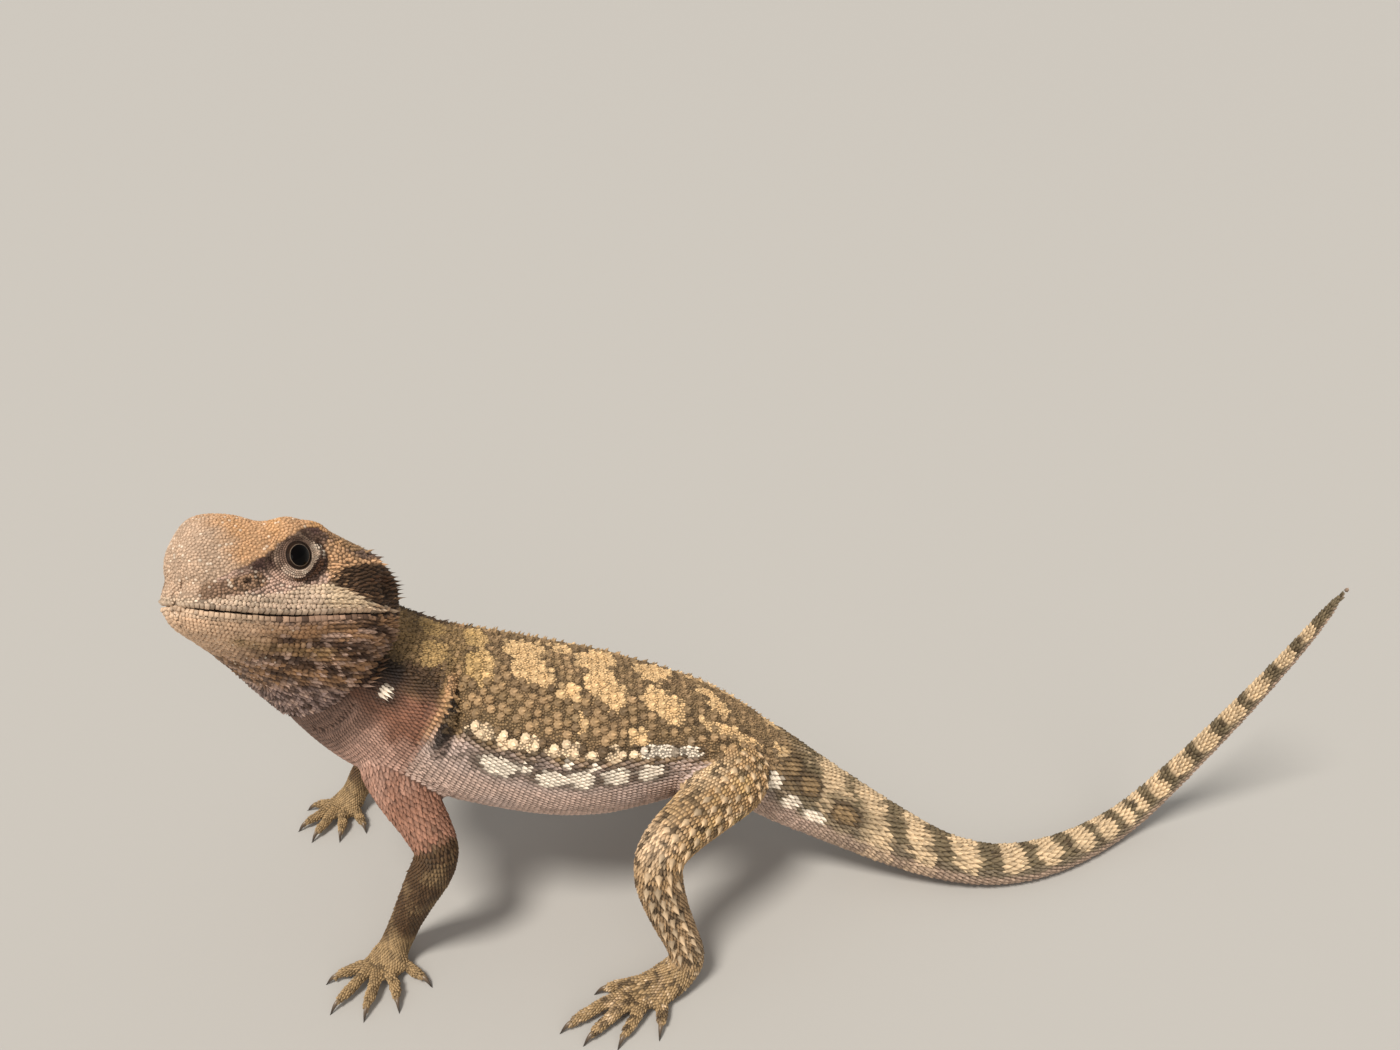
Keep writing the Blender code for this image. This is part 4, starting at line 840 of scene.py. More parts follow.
@dataclass
class Eye:
    """One eye in its lids. Its centre lies behind the pupil along the gaze."""

    head: Head
    sign: float
    pupil: Triple = (17.3, 9.5, 3.4)
    gaze: Triple = (0.26, 0.95, 0.14)
    radius: float = 3.3
    sunk: float = 0.1
    lid_rim: float = 1.88
    lid_thickness: float = 0.24
    lid_dome: float = 0.75
    cornea: float = 0.16
    sides: int = 96
    rows: int = 40

    def __post_init__(self) -> None:
        """Place the eye on its side of the head."""
        mirror = np.array([1.0, self.sign, 1.0])
        aim = unit(np.array(self.gaze)) * mirror
        self.centre = self.head.out(np.array(self.pupil) * mirror - aim * (self.radius - self.sunk))
        self.axis = self.head.turned(aim)
        front = self.head.turned(np.array([1.0, 0.0, 0.0]))
        self.front = unit(front - self.axis * (front @ self.axis))
        self.up = unit(self.head.turned(np.array([0.0, 0.0, 1.0])))
        self.up = unit(self.up - self.axis * (self.up @ self.axis) - self.front * (self.up @ self.front))

    def polar(self, tilt: Rows, turn: Rows, reach: Rows) -> Rows:
        """Find points round the eye.

        Args:
            tilt: Angles from the gaze.
            turn: Angles round the gaze, from the snout upwards.
            reach: Distances from the eye's centre.

        Returns:
            One point for each.
        """
        way = np.cos(turn)[..., None] * self.front + np.sin(turn)[..., None] * self.up
        ray = np.cos(tilt)[..., None] * self.axis + np.sin(tilt)[..., None] * way
        return self.centre + ray * np.asarray(reach)[..., None]

    def angles(self, points: Rows) -> tuple[Rows, Rows, Rows]:
        """Return the tilt, turn and distance of points seen from the eye's centre.

        Args:
            points: Points in the model's frame.

        Returns:
            Tilts from the gaze, turns round it and distances.
        """
        away = points - self.centre
        reach = np.linalg.norm(away, axis=-1)
        tilt = np.arccos(np.clip(away @ self.axis / np.maximum(reach, 1e-9), -1.0, 1.0))
        return tilt, np.arctan2(away @ self.up, away @ self.front), reach

    def opening(self, points: Rows, size: float) -> Rows:
        """Tell which points lie in a round opening of a size before the eye."""
        tilt, _, reach = self.angles(points)
        return (reach * np.sin(tilt) < size) & (tilt < 1.2) & (reach < 5.5)

    def ball(self) -> Cells:
        """Make the eyeball, its clear front a little raised."""
        tilt, turn = net(np.linspace(0.02, math.pi - 0.02, self.rows), turns(self.sides))
        return loft(self.polar(tilt, turn, self.radius + self.cornea * bell(tilt, 0.42)))

    def socket(self) -> Cells:
        """Make the ball that clears the head for the lids."""
        tilt, turn = net(np.linspace(0.03, math.pi - 0.03, 30), turns(self.sides // 2))
        return loft(self.polar(tilt, turn, np.full(tilt.shape, self.radius + self.lid_thickness * 0.5)))

    def lids(self) -> Cells:
        """Make both lids as one bowl with a round opening and soft folds round it.

        Returns:
            The closed bowl.
        """
        rim = math.asin(self.lid_rim / self.radius)
        depth = math.pi - 0.04 - rim
        tilt, turn = net(rim + depth * np.linspace(0.0, 1.0, 58) ** 1.9, turns(self.sides))
        rise = step_up(tilt, rim, rim + 0.75)
        folds = 0.055 * np.sin((tilt - rim) * 21.0) * step_up(tilt, rim + 0.12, rim + 0.3)
        folds *= 1.0 - step_up(tilt, 1.35, 1.7)
        thick = self.lid_thickness * 0.35 + self.lid_thickness * 0.65 * step_up(tilt, rim, rim + 0.07)
        shell = self.polar(tilt, turn, self.radius + thick + self.lid_dome * rise + folds)
        tilt, turn = net(rim + depth * np.linspace(0.0, 1.0, 10) ** 1.5, turns(self.sides))
        hollow = self.polar(tilt, turn, np.full(tilt.shape, self.radius + 0.03))
        return loft(np.concatenate([hollow[::-1], shell]))


@dataclass
class Limb:
    """A limb from inside the trunk to the end of its palm, and its digits.

    A digit is its root, knuckle and tip. The sole lies on the floor.
    """

    name: str
    rings: tuple
    digits: tuple
    digit_radius: float
    nail: float = 1.9
    nail_rows: int = 12
    nail_sides: int = 12

    def __post_init__(self) -> None:
        """Lay the tracks of the limb and of its digits."""
        self.track = Track(self.name, self.rings, up_at=len(self.rings) - 1.0)
        self.toes = [self._digit(i, *digit) for i, digit in enumerate(self.digits)]

    def _digit(self, number: int, root: Triple, knuckle: Triple, tip: Triple) -> Track:
        """Bend one digit over at the knuckle and down to the floor.

        Args:
            number: Which digit, from 0.
            root: Where it leaves the palm.
            knuckle: Its highest place.
            tip: Its end at the claw.

        Returns:
            The digit's track.
        """
        root, knuckle, tip = np.array(root), np.array(knuckle), np.array(tip)
        claw = unit(tip - knuckle)
        rise = np.array((0.0, 0.0, 1.0))
        r = self.digit_radius
        rings = (
            Ring(tuple(root - (knuckle - root) * 0.25), r, r, r),
            Ring(tuple((root + knuckle) / 2 + rise * 0.2), r * 0.95, r * 0.95, r * 0.95),
            Ring(tuple(knuckle - rise * 0.9), r * 0.92, r * 1.0, r * 0.95),
            Ring(tuple(tip - claw * 1.2 + rise * 0.25), r * 0.78, r * 0.85, r * 0.8),
            Ring(tuple(tip - claw * 0.1 + rise * 0.35), r * 0.6, r * 0.62, r * 0.6),
            Ring(tuple(tip + claw * 0.3 + rise * 0.3), r * 0.4, r * 0.4, r * 0.4),
        )
        return Track("%s_digit_%d" % (self.name, number + 1), rings)

    def claws(self) -> tuple[Cells, Rows]:
        """Make the claws as curved horn tapers.

        Returns:
            The claws, and how near each point is to its tip, from 0 to 1.
        """
        share, angle = np.linspace(0.0, 1.0, self.nail_rows), turns(self.nail_sides)
        arch = 0.42 + 0.28 * np.sin(share * math.pi) - 0.30 * share ** 2
        size = self.digit_radius * (0.52 * (1.0 - share ** 1.6) + 0.05)
        made = []
        for _, knuckle, tip in self.digits:
            tip = np.array(tip)
            claw = unit(tip - np.array(knuckle))
            side = unit(np.cross(claw, (0.0, 0.0, 1.0)))
            centre = tip - claw * 0.5 + claw * (self.nail + 0.5) * share[:, None]
            centre[:, 2] += arch
            ring = side * np.cos(angle)[:, None] * 0.72 + np.cross(side, claw) * np.sin(angle)[:, None]
            grid = centre[:, None, :] + ring[None] * size[:, None, None]
            grid[..., 2] = np.maximum(grid[..., 2], FLOOR_CLEARANCE)
            made.append(loft(grid))
        shares = np.concatenate([np.repeat(share, self.nail_sides), [0.0, 1.0]])
        return all_joined(made), np.tile(shares, len(made))


def outward_mesh(name: str, points: list, faces: list[tuple]) -> Mesh:
    """Make a smooth mesh with its faces turned outwards.

    Args:
        name: The mesh's name.
        points: Its points in metres.
        faces: Its faces.

    Returns:
        The mesh.
    """
    mesh = bpy.data.meshes.new(name)
    mesh.from_pydata(points, [], faces)
    bm = bmesh.new()
    bm.from_mesh(mesh)
    bmesh.ops.recalc_face_normals(bm, faces=bm.faces)
    bm.to_mesh(mesh)
    bm.free()
    mesh.shade_smooth()
    return mesh


def linked(name: str, data: Mesh | bpy.types.Camera | bpy.types.Light) -> Object:
    """Make an object of a mesh, a camera or a light and link it to the scene.

    Args:
        name: The object's name.
        data: What it shows.

    Returns:
        The object.
    """
    thing = bpy.data.objects.new(name, data)
    bpy.context.scene.collection.objects.link(thing)
    return thing


def keep_on_points(mesh: Mesh, key: str, kind: str, slot: str, values: Rows) -> None:
    """Keep values on the points of a mesh.

    Args:
        mesh: The mesh.
        key: The attribute's name.
        kind: The attribute's type.
        slot: The name of what it holds.
        values: One value or row for each point.
    """
    layer = mesh.attributes.new(key, kind, "POINT")
    layer.data.foreach_set(slot, np.asarray(values, np.float32).ravel())


def mesh_from(name: str, cells: Cells, scale: float = MM, shift: Triple = (0.0, 0.0, 0.0)) -> Object:
    """Make a mesh object with its faces turned outwards.

    Args:
        name: The object's name.
        cells: Its points and faces.
        scale: The factor from the points' unit to the mesh's.
        shift: What is added to each point first.

    Returns:
        The object, linked to the scene.
    """
    points = (cells.points + np.array(shift)) * scale
    return linked(name, outward_mesh(name, points.tolist(), cells.faces))


def settle(thing: Object) -> None:
    """Replace an object's mesh by its evaluated one and drop its modifiers.

    Args:
        thing: The object.
    """
    graph = bpy.context.evaluated_depsgraph_get()
    mesh = bpy.data.meshes.new_from_object(thing.evaluated_get(graph))
    old = thing.data
    thing.modifiers.clear()
    thing.data = mesh
    bpy.data.meshes.remove(old)


def discard(thing: Object) -> None:
    """Remove an object and its mesh.

    Args:
        thing: The object.
    """
    mesh = thing.data
    bpy.data.objects.remove(thing)
    bpy.data.meshes.remove(mesh)


def combine(thing: Object, others: list[Object], operation: str) -> None:
    """Join or cut a mesh with closed meshes and remove them.

    Args:
        thing: What is joined to or cut.
        others: The closed meshes.
        operation: Whether they are joined or cut away.
    """
    for other in others:
        step = thing.modifiers.new("step", "BOOLEAN")
        step.operation = operation
        step.object = other
        step.solver = "MANIFOLD"
    settle(thing)
    for other in others:
        discard(other)


def read_vectors(items: bpy.types.bpy_prop_collection, key: str, kind: type = np.float32) -> Rows:
    """Return a property of a mesh's items as rows of numbers.

    Args:
        items: The mesh's vertices or edges.
        key: Their property.
        kind: The numbers' type in the mesh.

    Returns:
        One row an item.
    """
    width = 2 if kind is np.int32 else 3
    flat = np.zeros(len(items) * width, kind)
    items.foreach_get(key, flat)
    return flat.reshape(-1, width)


def read_points(mesh: Mesh) -> Rows:
    """Return the places of a mesh's vertices."""
    return read_vectors(mesh.vertices, "co").astype(float)


def read_normals(mesh: Mesh) -> Rows:
    """Return the outward directions at a mesh's vertices."""
    return read_vectors(mesh.vertices, "normal").astype(float)


def write_points(mesh: Mesh, points: Rows) -> None:
    """Move a mesh's vertices."""
    mesh.vertices.foreach_set("co", points.astype(np.float32).ravel())
    mesh.update()


def smooth(mesh: Mesh, weight: Rows, rounds: int) -> None:
    """Smooth a mesh's vertices over its edges without shrinking it.

    Args:
        mesh: The mesh.
        weight: How much each vertex gives way, from 0 to 1.
        rounds: How many times there and back.
    """
    points, edges = read_points(mesh), read_vectors(mesh.edges, "vertices", np.int32)
    count = len(points)
    degree = np.bincount(edges.ravel(), minlength=count)[:, None].clip(1)
    first, second = edges[:, 0], edges[:, 1]
    for _ in range(rounds):
        for pull in (0.52, -0.54):
            total = np.stack([
                np.bincount(first, points[second, k], count) + np.bincount(second, points[first, k], count)
                for k in range(3)
            ], -1)
            points = points + (total / degree - points) * (pull * weight[:, None])
    write_points(mesh, points)


@dataclass
class Skin:
    """The one closed skin of the animal, from lofts along its tracks and the shaped head."""

    head: Head
    eyes: list[Eye]
    spine: Track
    limbs: list[Limb]
    voxel: float = 0.62
    body_gap: float = 0.8
    body_sides: int = 120
    limb_gap: float = 0.5
    limb_sides: int = 64
    toe_gap: float = 0.3
    toe_sides: int = 24
    sunk: float = 0.12
    smooth_rounds: int = 7

    def build(self) -> Object:
        """Join every loft, smooth the joins and press in the folds.

        Returns:
            The skin in millimetres in the model's frame.
        """
        body = self._body()
        head = self._head()
        combine(body, [head], "UNION")
        near = self.head.into(read_points(body.data))
        off_head = step_up(near[:, 0], 1.0, -5.0) + step_up(near[:, 2], -17.0, -26.0)
        smooth(body.data, np.clip(off_head, 0.0, 1.0), 2)
        self._fold(body)
        points = read_points(body.data)
        points[:, 2] = np.maximum(points[:, 2], FLOOR_CLEARANCE)
        write_points(body.data, points)
        body.name = "skin"
        return body

    def _body(self) -> Object:
        """Join the neck, trunk, tail, limbs and digits in one even mesh.

        Returns:
            The body without its head.
        """
        parts = [self.spine.cells(self.body_gap, self.body_sides, -self.sunk)]
        for limb in self.limbs:
            parts.append(limb.track.cells(self.limb_gap, self.limb_sides, -self.sunk))
            parts += [toe.cells(self.toe_gap, self.toe_sides, -self.sunk * 0.4) for toe in limb.toes]
        body = mesh_from("body", all_joined(parts), 1.0)
        step = body.modifiers.new("even", "REMESH")
        step.mode = "VOXEL"
        step.voxel_size = self.voxel
        step.adaptivity = 0.0
        settle(body)
        smooth(body.data, np.ones(len(body.data.vertices)), self.smooth_rounds)
        return body

    def _head(self) -> Object:
        """Make the head with its lids set in.

        Returns:
            The head in the model's frame.
        """
        head = mesh_from("head_skin", self.head.cells(), 1.0)
        sockets = [mesh_from("socket", eye.socket(), 1.0) for eye in self.eyes]
        combine(head, sockets, "DIFFERENCE")
        lids = [mesh_from("lids", eye.lids(), 1.0) for eye in self.eyes]
        combine(head, lids, "UNION")
        points = read_points(head.data)
        near = np.zeros(len(points))
        for eye in self.eyes:
            tilt, _, reach = eye.angles(points)
            edge = bell(reach - 4.0, 0.8) * step_up(tilt, 0.75, 1.0)
            near = np.maximum(near, np.clip(edge, 0.0, 1.0))
        smooth(head.data, near, 4)
        return head

    def _fold(self, skin: Object) -> None:
        """Move the skin along its own directions by the named folds.

        Args:
            skin: The joined skin.
        """
        points = read_points(skin.data)
        normals = read_normals(skin.data)
        push = np.zeros(len(points))
        local = self.head.into(points)
        mirrored = mirrored_to_left(local)
        for fold in FOLDS:
            path = path_curve(fold.path, np.linspace(0, len(fold.path) - 1, len(fold.path) * 3))
            away, share = distance_to_path(mirrored if fold.on_head else points, path)
            fade = step_up(share, -0.02, 0.15) * step_up(share, 1.02, 0.85)
            push += fold.amount * bell(away, fold.reach) * fade
        write_points(skin.data, points + normals * push[:, None])


@dataclass(frozen=True)
class Pigments:
    """The colours of the hide, as light falls back from it."""

    crown: Triple = (0.67, 0.395, 0.21)
    crown_gold: Triple = (0.69, 0.38, 0.165)
    snout: Triple = (0.61, 0.43, 0.30)
    loreal: Triple = (0.68, 0.46, 0.355)
    nostril_patch: Triple = (0.24, 0.135, 0.07)
    lip: Triple = (0.70, 0.53, 0.38)
    chin: Triple = (0.76, 0.51, 0.33)
    jaw: Triple = (0.38, 0.205, 0.100)
    jaw_pink: Triple = (0.66, 0.45, 0.35)
    jaw_olive: Triple = (0.34, 0.215, 0.085)
    # Dark streaks of the jaw and lips, also laid as painted shade in the nostrils, along the mouth and
    # between the lip plates.
    streak_and_shade: Triple = (0.055, 0.026, 0.014)
    throat: Triple = (0.40, 0.285, 0.26)
    temple: Triple = (0.050, 0.024, 0.011)
    temple_tan: Triple = (0.84, 0.50, 0.27)
    lid_cream: Triple = (0.76, 0.57, 0.43)
    lid_plum: Triple = (0.16, 0.085, 0.075)
    # Brown of the upper lids and below the brow, partly painted shade under the brow and under the ridge of
    # the snout.
    lid_brown: Triple = (0.22, 0.135, 0.095)
    lid_grey: Triple = (0.42, 0.29, 0.21)
    chestnut: Triple = (0.15, 0.065, 0.028)
    lid_dark: Triple = (0.045, 0.018, 0.010)
    nape: Triple = (0.30, 0.19, 0.08)
    nape_yellow: Triple = (0.54, 0.35, 0.13)
    # Painted shade on the side of the neck and behind the beard.
    recess_shade: Triple = (0.06, 0.030, 0.017)
    # Painted shadow in the dark gaps behind the beard and behind the rim of the fold before the shoulder.
    gap: Triple = (0.014, 0.008, 0.006)
    rim: Triple = (0.66, 0.38, 0.20)
    shoulder: Triple = (0.27, 0.12, 0.072)
    shoulder_pale: Triple = (0.56, 0.34, 0.26)
    olive: Triple = (0.33, 0.215, 0.105)
    brown: Triple = (0.40, 0.255, 0.13)
    tan: Triple = (0.56, 0.365, 0.195)
    dark: Triple = (0.085, 0.055, 0.030)
    blotch: Triple = (0.85, 0.575, 0.295)
    blotch_heart: Triple = (0.76, 0.49, 0.235)
    cream: Triple = (0.92, 0.70, 0.46)
    white: Triple = (0.98, 0.85, 0.69)
    lilac: Triple = (0.64, 0.485, 0.42)
    belly: Triple = (0.66, 0.47, 0.38)
    arm: Triple = (0.38, 0.190, 0.125)
    forearm: Triple = (0.105, 0.056, 0.024)
    hand: Triple = (0.43, 0.29, 0.145)
    thigh: Triple = (0.52, 0.33, 0.16)
    thigh_yellow: Triple = (0.88, 0.60, 0.265)
    knee: Triple = (0.76, 0.54, 0.34)
    shin: Triple = (0.40, 0.26, 0.14)
    tail_cream: Triple = (0.78, 0.575, 0.355)
    tail_dark: Triple = (0.175, 0.135, 0.078)
    tail_under: Triple = (0.50, 0.35, 0.26)


@dataclass(frozen=True)
class Blotch:
    """An oval mark on a track: its place, its half length in rings and half width in degrees."""

    at: float
    angle: float
    long: float
    wide: float
    white: bool = False


# How far the marks of the right side lie behind those of the left, in rings.
FAR_SIDE_SHIFT = 0.17
DORSAL_BLOTCHES = (
    Blotch(3.10, 15.0, 0.32, 13.0), Blotch(4.18, 14.0, 0.30, 14.0), Blotch(5.12, 6.0, 0.34, 14.0),
    Blotch(5.42, 13.0, 0.26, 8.0), Blotch(6.00, 21.0, 0.25, 6.5), Blotch(6.74, 9.0, 0.40, 13.0),
    Blotch(7.05, 17.0, 0.36, 13.0), Blotch(8.22, 15.0, 0.42, 12.0), Blotch(8.52, 23.0, 0.34, 13.0),
    Blotch(9.25, 31.0, 0.20, 6.5), Blotch(9.76, 31.0, 0.36, 6.5), Blotch(10.35, 31.0, 0.42, 6.5),
    Blotch(6.28, 41.0, 0.13, 8.0), Blotch(7.70, 48.0, 0.26, 7.0), Blotch(9.60, 6.0, 0.30, 7.0),
    Blotch(11.3, 22.0, 0.26, 8.0),
)
FLANK_BLOTCHES = (
    Blotch(4.47, 61.0, 0.20, 5.5), Blotch(4.93, 63.0, 0.17, 5.0), Blotch(5.32, 60.0, 0.18, 6.5),
    Blotch(5.72, 63.0, 0.13, 4.0), Blotch(6.10, 60.0, 0.19, 6.5), Blotch(6.60, 63.0, 0.13, 4.0),
    Blotch(7.12, 62.0, 0.24, 5.5), Blotch(7.66, 61.0, 0.15, 4.0), Blotch(8.22, 60.0, 0.42, 5.0, True),
    Blotch(8.95, 60.0, 0.26, 6.0, True), Blotch(4.90, 81.0, 0.30, 6.5, True),
    Blotch(5.36, 78.0, 0.10, 4.0, True), Blotch(5.83, 83.0, 0.30, 5.5, True),
    Blotch(6.42, 82.0, 0.27, 6.5, True), Blotch(7.20, 80.0, 0.34, 6.0, True),
    Blotch(8.05, 79.0, 0.34, 6.5, True), Blotch(6.12, 71.5, 0.10, 3.0, True),
    Blotch(6.70, 72.0, 0.10, 3.0, True), Blotch(11.32, 68.0, 0.24, 12.0, True),
    Blotch(12.05, 84.0, 0.22, 9.0, True), Blotch(12.62, 88.0, 0.2, 9.0),
)
TAIL_BANDS = (
    12.72, 13.50, 14.32, 15.22, 16.05, 16.72, 17.45, 18.08, 18.75, 19.38, 20.00, 20.60, 21.15, 21.70,
    22.20, 22.80, 23.35,
)

# Marks of the head as paths in its frame. A streak of the jaw starts with its reach.
NOSTRIL_PATH = ((27.6, 3.8, -2.2), (24.6, 6.1, -1.1), (22.2, 6.9, -0.3))
JAW_BAND = ((22.6, 4.3, -9.3), (18.6, 6.6, -9.9), (14.9, 8.5, -10.3), (11.0, 10.2, -10.6))
JAW_STREAKS = (
    (0.55, (20.4, 6.8, -8.2), (16.8, 8.3, -8.7), (12.7, 10.1, -9.0), (8.4, 11.9, -9.3), (3.3, 12.3, -10.0)),
    (0.85, (21.5, 3.9, -10.4), (18.1, 5.2, -11.4), (13.7, 7.7, -12.1), (8.9, 9.8, -13.0), (5.4, 9.9, -14.1)),
    (0.8, (18.8, 3.0, -12.2), (15.5, 4.1, -13.7), (12.0, 5.3, -15.2), (8.0, 6.8, -16.6)),
    (0.75, (9.0, 12.0, -6.0), (4.0, 12.8, -6.6), (0.0, 12.9, -8.0)),
    (0.75, (9.0, 11.2, -10.8), (4.5, 11.9, -11.2), (0.8, 11.6, -12.6)),
)

# The line of the brow, and how far the pale lips reach over the mouth: places and heights.
BROW_LINE = (
    (10.5, 11.3, 12.1, 13.0, 14.1, 15.4, 16.8, 17.8, 19.1, 20.0, 20.8, 22.2, 23.6, 25.4, 26.8, 28.0),
    (4.6, 5.9, 6.7, 7.2, 7.5, 7.4, 7.0, 6.5, 5.6, 4.7, 3.8, 2.8, 1.9, 1.0, 0.0, -1.7),
)
LIP_LINE = (
    (0.0, 3.6, 5.2, 7.0, 8.3, 9.5, 10.4, 12.0, 15.9, 17.4, 18.9, 20.9, 22.9, 24.7, 26.0, 28.4),
    (0.2, 0.9, 1.3, 1.95, 2.55, 3.15, 3.55, 4.15, 4.2, 3.6, 2.95, 2.75, 2.5, 2.2, 1.8, 1.1),
)


class Tone:
    """Colours of many places, laid over one another in layers."""

    def __init__(self, ground: Triple, count: int) -> None:
        """Start with one colour for a number of places."""
        self.rgb = np.tile(np.array(ground), (count, 1))

    def lay(self, colour: Triple, mask: Rows) -> None:
        """Lay a colour over the tone where a mask says."""
        mask = np.clip(mask, 0.0, 1.0)[:, None]
        self.rgb = self.rgb * (1.0 - mask) + np.array(colour) * mask


# The top of the dark patch behind the eye and of the tan cobbles over it: places and heights.
TEMPLE_TOP = ((-2.0, 1.0, 4.1, 6.2, 8.4, 9.9, 11.6, 12.8), (2.5, 2.7, 2.9, 2.8, 2.4, 1.8, 0.8, -0.3))
TEMPLE_CREST = ((1.0, 4.7, 7.6, 10.2, 12.0), (3.4, 3.3, 3.9, 4.8, 5.6))

# The edges of the cream crescent and of the dark one round it, seen from the pupil: degrees from the
# snout downwards, and distances.
LID_EDGES = (
    ((0, 39, 81, 118, 157, 185, 217, 270, 360), (2.3, 2.4, 1.9, 1.8, 2.1, 2.3, 2.4, 2.0, 2.3)),
    ((30, 48, 68, 87, 106, 125, 155, 180, 188, 215), (2.7, 3.1, 3.1, 3.2, 3.2, 2.9, 3.0, 3.9, 4.2, 3.4)),
    ((41, 56, 84, 104, 118, 131, 145, 163, 175, 187, 203, 225),
     (3.2, 3.2, 3.5, 4.1, 4.4, 4.6, 4.7, 5.0, 5.2, 5.1, 4.9, 4.3)),
)


@dataclass
class Hide:
    """The colour of the hide at any place, by named marks and soft noise."""

    head: Head
    paint: Pigments = field(default_factory=Pigments)

    def _blotched(self, at: Rows, side: Rows, marks: tuple, ragged: Rows) -> tuple[Rows, Rows]:
        """Measure how far places lie from the hearts of the blotches, one at their edges.

        Args:
            at: Places along the track, in rings.
            side: Degrees from the top.
            marks: The blotches.
            ragged: What is added at each place, for uneven edges.

        Returns:
            The distances from the nearest tan blotch and from the nearest white one.
        """
        nearest = np.full((2, len(at)), 9.0)
        for mark in marks:
            away = np.hypot((at - mark.at) / mark.long, (side - mark.angle) / mark.wide) + ragged
            nearest[int(mark.white)] = np.minimum(nearest[int(mark.white)], away)
        return nearest[0], nearest[1]

    def paleness(self, points: Rows, at: Rows, angle: Rows) -> Rows:
        """Tell from 0 to 1 how far places lie in a pale blotch of the back.

        Args:
            points: The places.
            at: Their places along the spine.
            angle: Their angles round it from its top.

        Returns:
            One value for each place.
        """
        fine = soft_noise(points, 2.2, 3)
        shifted = np.where(angle < 0.0, at + FAR_SIDE_SHIFT, at)
        deep, _ = self._blotched(shifted, np.degrees(np.abs(angle)), DORSAL_BLOTCHES, 0.16 * fine)
        return step_up(deep, 1.2, 0.9)

    def trunk(self, points: Rows, at: Rows, angle: Rows, raised: float = 0.0) -> Rows:
        """Colour places on the neck, trunk and tail.

        Args:
            points: Places in millimetres.
            at: Places along the spine, in rings.
            angle: Angles from the top to the left, in radians from -pi to pi.
            raised: Above 0 on the cones, which are tanner, and below 0 on the darker scales between.

        Returns:
            One colour a row.
        """
        p = self.paint
        side = np.degrees(np.abs(angle))
        shifted = np.where(angle < 0.0, at + FAR_SIDE_SHIFT, at)
        fine = soft_noise(points, 2.2, 3)
        broad = soft_noise(points, 6.5, 4)
        grain = soft_noise(points, 1.1, 5)
        tone = Tone(p.olive, len(points))
        tone.lay(p.brown, step_up(broad + 0.5 * fine, -0.3, 0.8) * 0.9)
        tone.lay(p.dark, step_up(fine + 0.4 * grain, 0.35, 1.0) * 0.55 * step_up(side, 8, 30))
        tone.lay(p.nape, step_up(at, 4.6, 3.4))
        if raised > 0.0:
            tone.lay(p.tan, 0.26 + 0.4 * grain)
        if raised < 0.0:
            tone.lay(p.dark, 0.22 + 0.3 * grain)
        deep, _ = self._blotched(shifted, side, DORSAL_BLOTCHES, 0.12 * fine + 0.08 * grain)
        tone.lay(p.dark, 0.55 * step_up(deep, 1.6, 1.15))
        tone.lay(p.blotch, step_up(deep, 1.14, 0.92))
        tone.lay(p.blotch_heart, 0.7 * step_up(deep, 0.55, 0.2))
        tone.lay(p.nape_yellow, step_up(deep, 1.2, 0.9) * step_up(at, 5.0, 3.8) * 0.8)
        net = step_up(side + 5 * fine, 50, 62)
        tone.lay(p.dark, 0.62 * net * step_up(fine - grain, -0.5, 0.5))
        low = step_up(side + 2.5 * fine, 66, 76)
        tone.lay(p.lilac, low * 0.9)
        tone.lay(p.dark, 0.55 * low * step_up(grain + fine, 0.0, 0.9) * step_up(side, 96, 88))
        deep, white = self._blotched(shifted, side, FLANK_BLOTCHES, 0.14 * fine + 0.2 * grain)
        edge = np.minimum(deep, white)
        tone.lay(p.dark, 0.8 * step_up(edge, 1.8, 1.2) * step_up(side, 52, 58) * step_up(side, 94, 86))
        tone.lay(p.cream, step_up(deep, 1.14, 0.9))
        tone.lay(p.white, step_up(white, 1.14, 0.9))
        under = step_up(side + 3 * fine, 88, 97)
        tone.lay(p.belly, under * 0.85)
        tone.lay(p.lilac, under * 0.6 * step_up(broad, 0.0, 0.8))
        self._neck(tone, at, side, fine)
        self._tail(tone, at, side, fine, grain)
        return tone.rgb

    def _neck(self, tone: Tone, at: Rows, side: Rows, fine: Rows) -> None:
        """Colour the rosy shoulders, with painted shade on the side of the neck and behind the beard and
        painted shadow in the gap behind the fold's rim.

        Args:
            tone: The colours so far.
            at: Places along the spine, in rings.
            side: Degrees from the top.
            fine: Fine noise.
        """
        p = self.paint
        front = step_up(at, 3.82, 3.60) * step_up(side + 4 * fine, 44, 58)
        tone.lay(p.shoulder, front)
        tone.lay(p.shoulder_pale, front * step_up(side + 8 * fine, 82, 108))
        # Painted shade on the side of the neck near the head.
        tone.lay(p.recess_shade, front * 0.8 * step_up(side, 84, 68) * step_up(at, 3.15, 2.7))
        olive = step_up(at, 3.9, 3.7) * step_up(side + 4 * fine, 62, 48)
        tone.lay(p.nape, olive * 0.35)
        rim = bell(at - 3.70, 0.09) * step_up(side, 20, 34) * step_up(side, 88, 76)
        tone.lay(p.rim, 0.8 * rim)
        # Painted shadow in the gap behind the rim of the fold.
        behind = step_up(at, 3.80, 3.86) * step_up(at + 0.1 * fine - 0.1 * step_up(side, 62, 80), 3.97, 3.89)
        behind = behind * step_up(side, 26, 36) * step_up(side, 88, 76)
        tone.lay(p.gap, 0.94 * behind)
        # Painted shade behind the beard and along the upper side of the neck.
        tone.lay(p.recess_shade, 0.6 * step_up(at, 2.9, 2.5) * step_up(side, 30, 50))
        shaded = step_up(at, 2.3, 2.7) * step_up(at, 3.64, 3.46) * step_up(side + 5 * fine, 22, 34)
        tone.lay(p.recess_shade, 0.85 * (shaded * step_up(side, 62, 50)))
        # Painted shadow right behind the beard.
        tone.lay(p.gap, 0.95 * step_up(at, 2.75, 2.5) * bell(side - 45.0, 17.0))
        tone.lay(p.white, 0.9 * step_up(np.hypot((at - 2.50) / 0.13, (side - 65.0) / 5.5), 1.2, 0.9))

